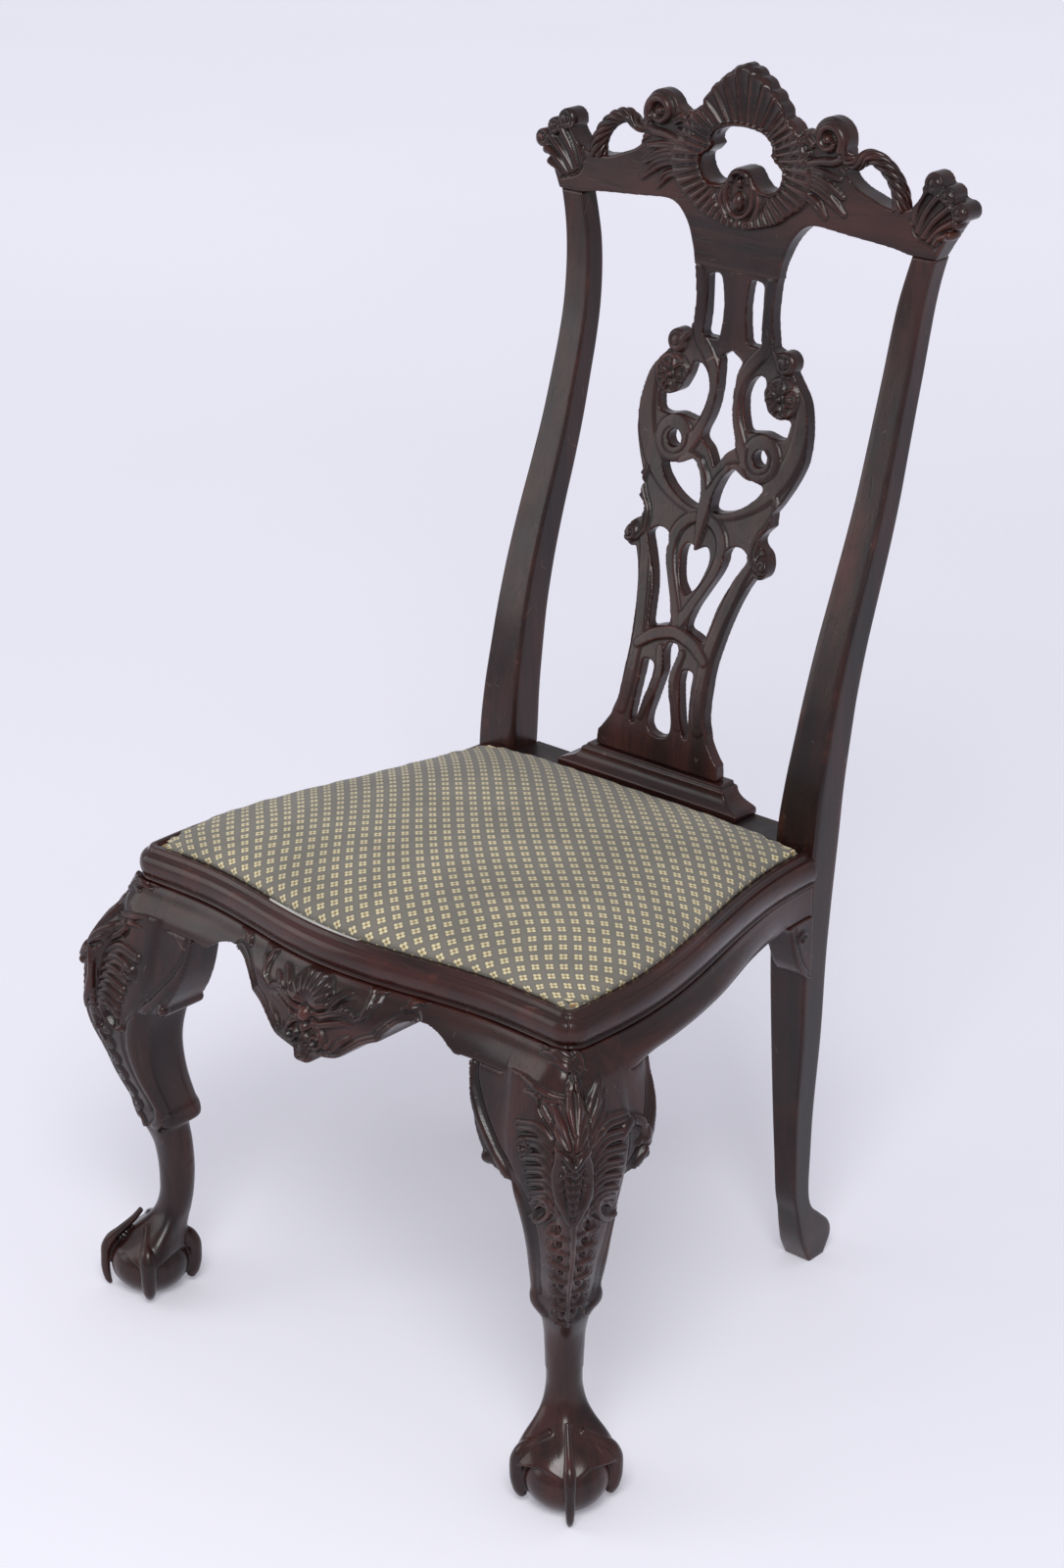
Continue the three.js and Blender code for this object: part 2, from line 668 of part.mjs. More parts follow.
// What rounds the moulding's nose at a front corner.
function cornerCutter(side) {
  const radius = noseCornerRadius;
  const far = radius + faceSwell;
  const arc = arcPoints(cornerX - radius, cornerY + radius, radius, -90, 0, cornerSteps).reverse();
  const points = [
    ...arc,
    new THREE.Vector2(cornerX - radius, cornerY - far),
    new THREE.Vector2(cornerX + far, cornerY - far),
    new THREE.Vector2(cornerX + far, cornerY + radius),
  ].map((point) => new THREE.Vector2(point.x * side, point.y));
  return solid(slabUp(points, faceTop - overrun, mouldHeight + 2 * overrun));
}

// Front rail: a swelling serpentine rail sawn to its arches and pendant.
function frontRail() {
  const foot = seatTop - pendantDrop;
  const section = facedSection(railThickness, faceTop, foot - overrun);
  const reach = blockInner - gap;
  const rail = alongFront(section, -reach, reach, frontSteps);
  const under = (shares) => shares.map(
    ([across, drop]) => new THREE.Vector2(across * cornerX, seatTop - drop * pendantDrop),
  );
  const cuspZ = seatTop - bracketTop;
  const half = [
    ...under(pendantShares),
    ...smooth(under(archShares), 12),
    new THREE.Vector2(cuspShare * cornerX, cuspZ),
    new THREE.Vector2(reach + overrun, cuspZ),
    new THREE.Vector2(reach + overrun, seatTop),
    new THREE.Vector2(0, seatTop),
  ];
  const depth = serpentineSwell + faceSwell + railThickness + 2 * overrun;
  const outline = solid(uprightAcross(bothSides(half), -serpentineSwell - faceSwell - overrun, depth));
  return fallen(rail.intersect(outline).add(frontTenon(1, 0)).add(frontTenon(-1, 0)));
}

function frontTenon(side, grow) {
  const inner = blockInner - overrun;
  const length = tenonLength + overrun + grow;
  const y = frontNose(blockInner) + tenonInset + tenonThickness / 2;
  const z = ledgeZ - overrun - tenonHeight / 2;
  return solid(
    box(length, tenonThickness + 2 * grow, tenonHeight + 2 * grow, side * (inner + length / 2), y, z),
  );
}

function sideTenon(y, length, grow) {
  const x = sideNose(y) - tenonInset - tenonThickness / 2;
  const z = ledgeZ - overrun - tenonHeight / 2;
  return solid(box(tenonThickness + 2 * grow, length + 2 * grow, tenonHeight + 2 * grow, x, y, z));
}

// Side rail: its lower edge drops in a gentle curve towards the back.
function sideRail() {
  const start = blockSize + cornerY + gap;
  const stop = postFront;
  const lowest = seatTop - sideRailRearDrop;
  const section = facedSection(railThickness, faceTop, lowest - overrun, sideFaceShares);
  const rail = alongSide(section, start, stop, sideSteps);
  const shaped = rail.intersect(sideBoard(0)).add(sideTenon(blockSize, 2 * tenonLength, 0));
  const cut = fallen(shaped).subtract(rearPost(gap));
  return cut.add(fallen(sideTenon(postFront, 2 * tenonLength, 0)));
}

// The board whose lower edge the side rail takes; moved down by a clearance to cut what fits under it.
function sideBoard(drop) {
  const front = seatTop - sideRailFrontDrop - drop;
  const lowest = seatTop - sideRailRearDrop - drop;
  const start = blockSize + cornerY;
  const run = postFront - start;
  const under = new THREE.CubicBezierCurve(
    new THREE.Vector2(start, front),
    new THREE.Vector2(start + run / 3, front - overrun / 2),
    new THREE.Vector2(start + (2 * run) / 3, (2 * lowest + front) / 3),
    new THREE.Vector2(postFront + overrun, lowest),
  );
  const outline = [
    new THREE.Vector2(-blockSize, front),
    ...under.getPoints(10),
    new THREE.Vector2(postFront + postDepth, lowest),
    new THREE.Vector2(postFront + postDepth, seatTop),
    new THREE.Vector2(-blockSize, seatTop),
  ];
  return solid(uprightAlong(outline, 0, cornerX + faceSwell + overrun));
}

function rearRail() {
  const inner = postSpread * postRowShares[0][4];
  const reach = inner - gap;
  const foot = rearTop - rearRailHeight;
  const ledge = ledgeZ - seatFall;
  const section = flatPoints([
    [rearRailFront - rearLedge, foot],
    [rearRailBack, foot],
    [rearRailBack, rearTop],
    [rearRailFront, rearTop],
    [rearRailFront, ledge],
    [rearRailFront - rearLedge, ledge],
  ]);
  const rail = solid(uprightAlong(section, -reach, 2 * reach));
  return rail.add(rearTenon(0)).subtract(splatFootTenon(gap));
}

// The tenons of the rear rail, one bar through both ends.
function rearTenon(grow) {
  const inner = postSpread * postRowShares[0][4];
  const length = 2 * (inner + rearTenonLength + grow);
  const thickness = tenonThickness + 2 * grow;
  const z = rearTop - rearRailHeight / 2;
  return solid(box(length, thickness, tenonHeight + 2 * grow, 0, rearTenonBack - tenonThickness, z));
}

// Knee bracket under the front rail; turned over for the one under the side rail.
function kneeBracket(besideLeg) {
  const top = seatTop - bracketTop - gap;
  const longest = besideLeg ? sideBracketReach : bracketReach;
  const at = ([reach, drop]) => new THREE.Vector2(-reach * longest, top - drop * bracketDrop);
  const roll = at(bracketRollShares);
  const outline = [
    new THREE.Vector2(blockSize / 2, top),
    ...smooth(bracketShares.map(at), 8),
    ...arcPoints(roll.x, roll.y, bracketRollRadius, ...bracketRollTurn, 5),
    at(bracketRootShares),
    new THREE.Vector2(blockSize / 2, at(bracketRootShares).y),
  ];
  const section = facedSection(bracketBack, faceTop, top - bracketDrop - 2 * overrun);
  const blockFoot = seatTop - bracketTop - 2 * overrun;
  const block = box(
    2 * (blockSize + gap), 2 * (blockSize + gap), 2 * blockSize, cornerX, cornerY, blockFoot + blockSize,
  );
  const leg = solid(legShaft(gap)).add(solid(block));
  const thick = faceSwell + 2 * bracketBack;
  if (besideLeg) {
    const outer = alongSide(section, -overrun, blockSize + longest + overrun, bracketSteps);
    const turned = outline.map((point) => new THREE.Vector2(cornerY + blockSize - point.x, point.y));
    const board = solid(uprightAlong(turned, cornerX + faceSwell + overrun - thick, thick));
    return fallen(outer.intersect(board).subtract(sideBoard(gap))).subtract(leg);
  }
  const outer = alongFront(section, blockInner - longest - overrun, cornerX, bracketSteps);
  const turned = outline.map((point) => new THREE.Vector2(blockInner + point.x, point.y));
  const board = solid(uprightAcross(turned, -faceSwell - overrun, thick));
  return fallen(outer.intersect(board)).subtract(leg);
}

// Small bracket between the side rail and the rear leg.
function rearBracket() {
  const top = seatTop - sideRailRearDrop + overrun;
  const at = ([reach, drop]) => new THREE.Vector2(
    postFront - reach * rearBracketReach,
    top - drop * (rearBracketDrop + overrun),
  );
  const outline = [
    ...rearBracketShares.map(at),
    new THREE.Vector2(postFront + overrun, at([0, rearBracketShares[rearBracketShares.length - 1][1]]).y),
    new THREE.Vector2(postFront + overrun, top),
  ];
  const section = facedSection(rearBracketDepth, faceTop, top - rearBracketDrop - 2 * overrun);
  const start = postFront - rearBracketReach - overrun;
  const outer = alongSide(section, start, postFront + 2 * overrun, pieceSteps);
  const board = solid(uprightAlong(outline, 0, cornerX + faceSwell));
  return fallen(outer.intersect(board).subtract(sideBoard(gap))).subtract(rearPost(gap));
}

// Rear post, from the floor to the crest rail; a shift moves its front face forwards as a cutter.
function rearPost(shift) {
  const leg = rearLegRowShares.map(([rise, front, back, outer, inner]) => ({
    z: rise * seatTop,
    front: postFront + front * postDepth,
    back: postFront + back * postDepth,
    outer: outer * postSpread,
    inner: inner * postSpread,
  }));
  const stile = postRowShares.map(([rise, lean, depth, outer, inner]) => ({
    z: seatTop + rise * backRise,
    front: postFront + lean * backLean,
    back: postFront + lean * backLean + depth * postDepth,
    outer: outer * postSpread,
    inner: inner * postSpread,
  }));
  const rows = [...leg, ...stile];
  rows[rows.length - 1].z = crestJoint - gap;
  const side = [
    ...rows.map((row) => new THREE.Vector2(row.front - shift, row.z)),
    ...rows.map((row) => new THREE.Vector2(row.back + shift, row.z)).reverse(),
  ];
  const face = [
    ...rows.map((row) => new THREE.Vector2(row.outer + shift, row.z)),
    ...rows.map((row) => new THREE.Vector2(row.inner - shift, row.z)).reverse(),
  ];
  const sideBoard = solid(uprightAlong(side, 0, postSpread + 2 * overrun + postDepth));
  const faceBoard = solid(uprightAcross(face, postFront - postDepth, backLean + 4 * postDepth));
  return sideBoard.intersect(faceBoard);
}

// The tenon on top of a post.
function postTenon(grow) {
  const last = postRowShares[postRowShares.length - 1];
  const x = (postSpread * (last[3] + last[4])) / 2;
  const y = postFront + backLean + (last[2] * postDepth) / 2;
  const width = (postSpread * (last[3] - last[4])) / 2;
  const height = tenonLength + overrun;
  const z = crestJoint + tenonLength / 2 - overrun / 2;
  return solid(
    box(width + 2 * grow, postTenonThickness + 2 * grow, height + 2 * grow, x, y, z),
  );
}

function finishedPost() {
  const mortises = fallen(sideTenon(postFront, 2 * tenonLength, gap)).add(rearTenon(gap));
  return rearPost(0).add(postTenon(0)).subtract(mortises);
}

// Slab that gives the crest rail its thickness and lean.
function crestSlab() {
  const front = postFront + backLean;
  const side = crestSlabShares.map(([up, lean, thickness]) => ({
    front: new THREE.Vector2(front + lean * crestLean, crestFoot + up * crestBlank),
    back: new THREE.Vector2(front + lean * crestLean + thickness * crestThickness, crestFoot + up * crestBlank),
  }));
  const points = [...side.map((row) => row.front), ...side.map((row) => row.back).reverse()];
  return solid(uprightAlong(points, -crestHalfBlank, 2 * crestHalfBlank));
}

function crestOutline() {
  const at = (shares) => sized(shares, crestHalfBlank, crestBlank, crestFoot);
  const roll = (shares, divisions) => rollPoints(shares, crestHalfBlank, crestBlank, crestFoot, divisions);
  return bothSides([
    ...at(crestUnderShares),
    ...at(earOuterShares),
    ...earRollShares.flatMap((ear) => roll(ear, 6)),
    ...smooth(at(crestDipShares), 12),
    ...roll(crestVoluteShares, 10),
    ...at(shellEdgeShares),
  ]);
}

function ropeLoop(side) {
  const y = postFront + backLean + ropeRadius;
  const spots = sized(ropeShares, crestHalfBlank, crestBlank, crestFoot).map(
    (spot) => new THREE.Vector3(spot.x * side, y, spot.y),
  );
  const ring = new THREE.Shape().absarc(0, 0, ropeRadius, 0, 2 * Math.PI);
  const section = new THREE.Shape(ring.getSpacedPoints(ropeSides).slice(0, -1));
  const path = new THREE.CatmullRomCurve3(spots);
  return solid(new THREE.ExtrudeGeometry(section, { steps: ropeSteps, extrudePath: path }));
}

function crestRail() {
  const front = postFront + backLean - overrun - crestThickness;
  const board = solid(uprightAcross(crestOutline(), front, 3 * crestThickness));
  const hole = bothSides(smooth(sized(shellHoleShares, crestHalfBlank, crestBlank, crestFoot), 24));
  const cut = board.subtract(solid(uprightAcross(hole, front - overrun, 4 * crestThickness)));
  const rail = cut.intersect(crestSlab()).add(ropeLoop(1)).add(ropeLoop(-1));
  const mortises = postTenon(gap).add(mirroredBody(postTenon(gap))).add(splatTopTenon(gap));
  return rail.subtract(mortises);
}

// Front face of the splat, as points (y, z) of the back's rise.
function splatFront() {
  const foot = postFront + splatSetBack;
  return splatLeanShares.map(
    ([rise, lean]) => new THREE.Vector2(foot + lean * splatLean, seatTop + rise * backRise),
  );
}

function splatOutline() {
  const at = (shares) => sized(shares, splatHalfBlank, backRise, seatTop);
  const joint = crestFoot - gap;
  const foot = rearTop + shoeHeight + gap;
  const neck = at(splatNeckShares);
  return bothSides([
    new THREE.Vector2(0, joint),
    new THREE.Vector2(crestUnderShares[1][0] * crestHalfBlank, joint),
    ...neck,
    ...rollPoints(splatKnobShares, splatHalfBlank, backRise, seatTop, 8),
    ...smooth(at(scrollEdgeShares), 16),
    ...smooth(at(leafEdgeShares), 12),
    ...at(strapEdgeShares),
    new THREE.Vector2(splatFootShare * splatHalfBlank, foot),
    new THREE.Vector2(0, foot),
  ]);
}

function splatTopTenon(grow) {
  const [, lean] = splatLeanShares[splatLeanShares.length - 1];
  const y = postFront + splatSetBack + lean * splatLean + splatThickness / 2;
  const thickness = splatTenonThickness + 2 * grow;
  const height = splatTopTenonRise + overrun;
  const z = crestFoot + splatTopTenonRise / 2 - overrun / 2;
  return solid(box(2 * (splatTopTenonHalf + grow), thickness, height + 2 * grow, 0, y, z));
}

function splatFootTenon(grow) {
  const top = rearTop + shoeHeight + overrun;
  const foot = rearTop - splatTenonDrop;
  const y = postFront + splatSetBack + splatThickness / 2;
  const thickness = splatTenonThickness + 2 * grow;
  const height = top - foot + 2 * grow;
  return solid(box(2 * (splatTenonHalf + grow), thickness, height, 0, y, (top + foot) / 2));
}

function splat() {
  const front = splatFront();
  const back = front.map((point) => new THREE.Vector2(point.x + splatThickness, point.y)).reverse();
  const slab = solid(uprightAlong([...front, ...back], -splatHalfBlank, 2 * splatHalfBlank));
  const depth = splatLean + splatSetBack + 2 * splatThickness;
  const at = (shares) => sized(shares, splatHalfBlank, backRise, seatTop);
  const through = (points) => solid(uprightAcross(points, postFront - overrun, depth + 2 * overrun));
  let board = solid(uprightAcross(splatOutline(), postFront, depth));
  for (const half of [notchShares, heartShares, teardropShares]) {
    board = board.subtract(through(bothSides(smooth(at(half), 14))));
  }
  for (const side of [1, -1]) {
    const flipped = (points) => points.map((point) => new THREE.Vector2(point.x * side, point.y));
    for (const shares of [slotShares, rosetteGapShares, lensShares, sideGapShares, narrowGapShares]) {
      board = board.subtract(through(flipped(at(shares))));
    }
    const [eye] = at([eyeShares]);
    board = board.subtract(through(flipped(arcPoints(eye.x, eye.y, eyeRadius, 0, 330, 11))));
  }
  return board.intersect(slab).add(splatTopTenon(0)).add(splatFootTenon(0));
}

// Moulded shoe: the same stepped ogee on its front and its ends.
function splatShoe() {
  const foot = rearTop + gap;
  const flare = shoeHalfFoot - shoeHalfTop;
  const ends = shoeEdgeShares.map(
    ([inward, up]) => new THREE.Vector2(shoeHalfFoot - inward * flare, foot + up * (shoeHeight - gap)),
  );
  const outline = bothSides([
    new THREE.Vector2(0, foot),
    ...ends,
    new THREE.Vector2(0, foot + shoeHeight - gap),
  ]);
  const side = [
    ...shoeEdgeShares.map(
      ([inward, up]) => new THREE.Vector2(shoeFront + inward * shoeStep, foot + up * (shoeHeight - gap)),
    ),
    new THREE.Vector2(shoeFront + shoeDepth, foot + shoeHeight - gap),
    new THREE.Vector2(shoeFront + shoeDepth, foot),
  ];
  const block = solid(uprightAcross(outline, shoeFront - overrun, shoeDepth + 2 * overrun));
  const profile = solid(uprightAlong(side, -shoeHalfFoot - overrun, 2 * (shoeHalfFoot + overrun)));
  return block.intersect(profile).subtract(splatFootTenon(gap));
}

// Corner blocks: cut at 45 degrees inside and scribed to the rails and the legs.
function blockBody(points) {
  const foot = ledgeZ - overrun - blockHeight;
  const rail = flatPoints([
    [-faceSwell - overrun, foot - overrun],
    [railThickness + gap, foot - overrun],
    [railThickness + gap, seatTop],
    [-faceSwell - overrun, seatTop],
  ]);
  const sideCut = alongSide(rail, -faceSwell, postFront + postDepth, sideSteps);
  const frontCut = alongFront(rail, 0, cornerX, frontSteps);
  return solid(slabUp(points, foot, blockHeight)).subtract(sideCut).subtract(frontCut);
}

function frontBlock() {
  const offset = blockInner - blockSize - cornerY - blockFace * Math.SQRT2;
  const near = cornerY + railThickness / 2;
  const far = cornerX - railThickness / 2;
  const block = blockBody(flatPoints([[offset + near, near], [far, near], [far, far - offset]]));
  const leg = box(
    2 * (blockSize + gap), 2 * (blockSize + gap), 2 * seatTop, cornerX, cornerY, seatTop,
  );
  return fallen(block).subtract(solid(leg)).subtract(blockScrew(gap));
}

function rearBlock() {
  const back = rearRailFront - rearLedge;
  const side = sideNose(back) - railThickness;
  const offset = side + back - rearBlockFace * Math.SQRT2;
  const near = side + railThickness / 2;
  const far = postFront + postDepth / 2;
  const block = blockBody(flatPoints([[near, offset - near], [near, far], [offset - far, far]]));
  const reach = postSpread * postRowShares[0][4];
  const rail = box(2 * reach, 2 * postDepth, 2 * seatTop, 0, back + postDepth - gap, 0);
  return fallen(block).subtract(solid(rail)).subtract(rearPost(gap));
}

// The screw through a front corner block into the leg, and with a growth the hole drilled for it.
function blockScrew(grow) {
  const height = ledgeZ - overrun - blockHeight / 2;
  const place = new THREE.Vector3(blockInner, cornerY + blockSize, height);
  const direction = new THREE.Vector3(Math.SQRT1_2, -Math.SQRT1_2, 0);
  place.addScaledVector(direction, -blockFace);
  place.z -= (seatFall * place.y) / seatDepth;
  const head = screwHeadHeight + (grow > 0 ? overrun : 0);
  const length = screwLength + grow;
  const radius = screwRadius + grow;
  const headRadius = screwHeadRadius + grow;
  const shank = new THREE.CylinderGeometry(radius, radius, length, screwSides);
  shank.translate(0, (screwHeadHeight + length) / 2, 0);
  const cap = new THREE.CylinderGeometry(headRadius, headRadius, head, screwSides);
  cap.translate(0, screwHeadHeight + grow - head / 2, 0);
  const turn = new THREE.Quaternion().setFromUnitVectors(new THREE.Vector3(0, 1, 0), direction);
  const bring = (shape) => solid(shape.applyQuaternion(turn).translate(place.x, place.y, place.z));
  return bring(shank).add(bring(cap));
}

// Place in the seat's plan: u runs from -1 to 1 across, v from 0 at the front to 1 at the back.
function seatPlan(u, v, inset) {
  const rear = postFront - seatRearGap - (inset - dropIn);
  const roughY = cornerY + inset + v * (rear - cornerY - inset);
  const x = u * (sideNose(roughY) - inset);
  const front = frontNose(x) + inset;
  return new THREE.Vector2(x, front + v * (rear - front));
}

// A plate or a crowned cushion over the seat's plan.
function seatPlate(inset, foot, height, cells, crown) {
  const spread = (share) => Math.sin((Math.PI / 2) * share);
  const plate = new THREE.BoxGeometry(2, 2, 1, cells, cells, 1);
  return solid(
    mapped(plate, (place) => {
      const u = crown > 0 ? spread(place.x) : place.x;
      const w = crown > 0 ? spread(place.y) : place.y;
      const flat = seatPlan(u, (w + 1) / 2, inset);
      const shoulder = (1 - Math.abs(u) ** crownPowerShare) * (1 - Math.abs(w) ** crownPowerShare);
      const dome = (1 - u * u) * (1 - w * w);
      const rise = crown * shoulder ** shoulderShare * (flatShare + (1 - flatShare) * dome);
      const top = place.z > 0;
      place.set(flat.x, flat.y, top ? foot + height + rise : foot);
    }),
  );
}

function seatCover() {
  const foot = frameTop - coverSkirt;
  const outer = seatPlate(dropIn, foot, padFoot - foot + overrun, padCells, crownHeight + coverThickness);
  const inset = dropIn + coverThickness;
  const inner = seatPlate(inset, foot - overrun, padFoot - foot + 2 * overrun, padCells, crownHeight);
  return outer.subtract(inner);
}

// The drop-in seat's four frame members.
function frameMembers() {
  const section = (from, to, spare) => flatPoints([
    [from, frameFoot - spare],
    [to, frameFoot - spare],
    [to, frameTop + spare],
    [from, frameTop + spare],
  ]);
  const inner = frameInset + frameWidth;
  const middle = (frameFoot + frameTop) / 2;
  const rear = postFront - seatRearGap - (frameInset - dropIn);
  const rearFront = rear - frameWidth;
  const plan = seatPlate(frameInset, frameFoot - overrun, frameThickness + 2 * overrun, padCells, 0);
  const bar = (grow, spare) => solid(
    box(2 * cornerX, frameWidth + 2 * grow, frameThickness + 2 * spare, 0, rear - frameWidth / 2, middle),
  );
  const tenon = (x, y, grow) => {
    const length = 2 * (frameTenonLength + grow);
    return solid(box(frameTenonWidth + 2 * grow, length, frameTenonThickness + 2 * grow, x, y, middle));
  };
  const across = (y) => sideNose(y) - frameInset - frameWidth / 2;
  const frontTenons = (grow) => tenon(across(inner), cornerY + inner, grow);
  const rearTenons = (grow) => tenon(across(rearFront), rearFront, grow);
  const both = (body) => body.add(mirroredBody(body));
  const side = alongSide(section(frameInset, inner, 0), cornerY, rear, sideSteps)
    .intersect(plan)
    .subtract(alongFront(section(-overrun, inner + gap, overrun), -cornerX, cornerX, frontSteps))
    .subtract(bar(gap, overrun))
    .add(frontTenons(0))
    .add(rearTenons(0));
  const front = alongFront(section(frameInset, inner, 0), -cornerX, cornerX, frontSteps).intersect(plan);
  return {
    front: fallen(front.subtract(both(frontTenons(gap)))),
    rear: fallen(bar(0, 0).intersect(plan).subtract(both(rearTenons(gap)))),
    side: fallen(side),
  };
}

// Webbing straps, three each way, the cross straps lying over the others.
function straps() {
  const made = [];
  const inset = frameInset + frameWidth / 2;
  const spacing = strapWidth * strapSpacingShare;
  const rear = postFront - seatRearGap - inset;
  for (const [order, name] of ["left", "middle", "right"].entries()) {
    const x = (order - 1) * spacing;
    const front = frontNose(x) + inset;
    const length = rear - front;
    const middle = front + length / 2;
    const strap = box(strapWidth, length, strapThickness, x, middle, strapFoot + strapThickness / 2);
    made.push([`webbing_long_${name}`, fallen(solid(strap))]);
  }
  const centre = (rear + inset) / 2;
  for (const [order, name] of ["front", "middle", "rear"].entries()) {
    const y = centre + (order - 1) * spacing;
    const half = sideNose(y) - inset;
    const strap = box(2 * half, strapWidth, strapThickness, 0, y, crossFoot + strapThickness / 2);
    made.push([`webbing_cross_${name}`, fallen(solid(strap))]);
  }
  return made;
}

const chair = new THREE.Group();
const frame = new THREE.Group();
const dropInSeat = new THREE.Group();
chair.add(frame, dropInSeat);

function add(group, name, body, finish, mirrored = false) {
  const mesh = new THREE.Mesh(geometryOf(body), new THREE.MeshStandardMaterial(finishes[finish]));
  mesh.name = name;
  if (mirrored) mesh.scale.x = -1;
  group.add(mesh);
}

// The same right-hand solid on both sides, mirrored for the left.
function addPair(group, name, body, finish) {
  add(group, `${name}_right`, body, finish);
  add(group, `${name}_left`, body, finish, true);
}

function buildFrame() {
  const railMortises = fallen(frontTenon(1, gap).add(sideTenon(blockSize, 2 * tenonLength, gap)));
  const leg = frontLeg().subtract(railMortises).subtract(blockScrew(gap));
  addPair(frame, "front_leg", leg, "mahogany");
  addPair(frame, "rear_post", finishedPost(), "mahogany");
  add(frame, "crest_rail", crestRail(), "mahogany");
  add(frame, "splat", splat(), "mahogany");
  add(frame, "splat_shoe", splatShoe(), "mahogany");
  add(frame, "front_rail", frontRail(), "mahogany");
  addPair(frame, "side_rail", sideRail(), "mahogany");
  add(frame, "rear_rail", rearRail(), "mahogany");
  add(frame, "seat_moulding_front", frontMoulding(), "mahogany");
  addPair(frame, "seat_moulding_side", sideMoulding(), "mahogany");
  addPair(frame, "knee_bracket_front", kneeBracket(false), "mahogany");
  addPair(frame, "knee_bracket_side", kneeBracket(true), "mahogany");
  addPair(frame, "rear_bracket", rearBracket(), "mahogany");
  addPair(frame, "corner_block_front", frontBlock(), "beech");
  addPair(frame, "corner_block_rear", rearBlock(), "beech");
  addPair(frame, "block_screw", blockScrew(0), "steel");
}

function buildSeat() {
  const members = frameMembers();
  add(dropInSeat, "seat_frame_front", members.front, "beech");
  add(dropInSeat, "seat_frame_rear", members.rear, "beech");
  addPair(dropInSeat, "seat_frame_side", members.side, "beech");
  for (const [name, body] of straps()) add(dropInSeat, name, body, "webbing");
  const hessian = seatPlate(padInset + clothEase, hessianFoot, clothThickness, padCells / 2, 0);
  add(dropInSeat, "hessian", fallen(hessian), "hessian");
  const pad = seatPlate(padInset, padFoot, overrun, padCells, crownHeight - gap);
  add(dropInSeat, "seat_pad", fallen(pad), "wadding");
  add(dropInSeat, "seat_cover", fallen(seatCover()), "fabric");
  const dust = seatPlate(padInset + clothEase, ledgeZ + gap, clothThickness, padCells / 2, 0);
  add(dropInSeat, "dust_cover", fallen(dust), "lining");
}

buildFrame();
buildSeat();

// The part stands at the middle of its own plan, on the floor.
const bounds = new THREE.Box3().setFromObject(chair);
const middle = bounds.getCenter(new THREE.Vector3());
chair.position.set(-middle.x, -middle.y, -bounds.min.z);
chair.updateMatrixWorld(true);

export default chair;
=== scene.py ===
"""The looks of a dining side chair in dark carved mahogany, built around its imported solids.

Lengths inside the builders are millimetres in the maker's axes: y = 0 runs through the front
feet and z = 0 is the floor. A piece is turned into metres and moved to the part's frame last.
"""
import logging
import math
from dataclasses import dataclass, field
from enum import Enum
from functools import cache
from typing import Callable, Iterable, Sequence

import bpy
import numpy as np
from mathutils import Matrix, Vector


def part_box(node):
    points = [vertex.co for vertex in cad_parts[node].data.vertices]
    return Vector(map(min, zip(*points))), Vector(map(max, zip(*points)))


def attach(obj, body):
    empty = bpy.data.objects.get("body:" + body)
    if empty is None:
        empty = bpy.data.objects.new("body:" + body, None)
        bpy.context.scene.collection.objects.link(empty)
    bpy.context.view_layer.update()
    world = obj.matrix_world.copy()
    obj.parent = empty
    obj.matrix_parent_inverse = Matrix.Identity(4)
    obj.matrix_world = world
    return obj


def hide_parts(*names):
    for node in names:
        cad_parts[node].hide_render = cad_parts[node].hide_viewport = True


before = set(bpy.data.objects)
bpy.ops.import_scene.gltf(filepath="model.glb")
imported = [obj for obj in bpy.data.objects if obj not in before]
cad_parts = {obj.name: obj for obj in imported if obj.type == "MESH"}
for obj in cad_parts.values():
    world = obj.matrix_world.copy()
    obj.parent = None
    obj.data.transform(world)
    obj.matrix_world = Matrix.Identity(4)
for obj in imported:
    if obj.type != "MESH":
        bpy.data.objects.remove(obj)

log = logging.getLogger("chair")

MM = 0.001
FRAME_BODY = "chair_frame"
SEAT_BODY = "drop_in_seat"
SIDES = (("right", 1.0), ("left", -1.0))
HALF_ROOT = math.sqrt(0.5)
TINY = 1e-6
BACKWARD = np.array([0.0, 1.0, 0.0])

Pair = tuple[float, float]
Rows = Sequence[Sequence[float]]
Colour = tuple[float, float, float]


# --------------------------------------------------------------------------- curves and shares


def spline(points: Rows, per: int = 8) -> np.ndarray:
    """Smooth open curve through points.

    Args:
        points: places, two or three numbers each.
        per: steps between two places.
    Returns:
        The places along the curve, one row each.
    """
    knots = np.asarray(points, float)
    if len(knots) < 3:
        share = np.linspace(0, 1, per + 1)[:, None]
        return knots[0] + share * (knots[-1] - knots[0])
    padded = np.vstack([2 * knots[0] - knots[1], knots, 2 * knots[-1] - knots[-2]])
    share = np.linspace(0, 1, per, endpoint=False)[:, None]
    runs = []
    for index in range(len(knots) - 1):
        before, start, end, after = padded[index : index + 4]
        bend = (2 * before - 5 * start + 4 * end - after) * share**2
        twist = (3 * start - before - 3 * end + after) * share**3
        runs.append(0.5 * (2 * start + (end - before) * share + bend + twist))
    return np.vstack([*runs, knots[-1:]])


def arc(x: float, z: float, radius: float, start: float, end: float, steps: int = 14) -> np.ndarray:
    """Points of a circle's arc.

    Args:
        x: centre across.
        z: centre up.
        radius: radius of the arc.
        start: first angle in degrees.
        end: last angle in degrees.
        steps: number of runs.
    Returns:
        The arc's points.
    """
    turn = np.radians(np.linspace(start, end, steps + 1))
    return np.stack([x + radius * np.cos(turn), z + radius * np.sin(turn)], axis=1)


def sized(shares: Rows, width: float, height: float, foot: float = 0.0) -> np.ndarray:
    """Shares of a width and a height as points above a foot."""
    table = np.asarray(shares, float)
    return np.stack([table[:, 0] * width, foot + table[:, 1] * height], axis=1)


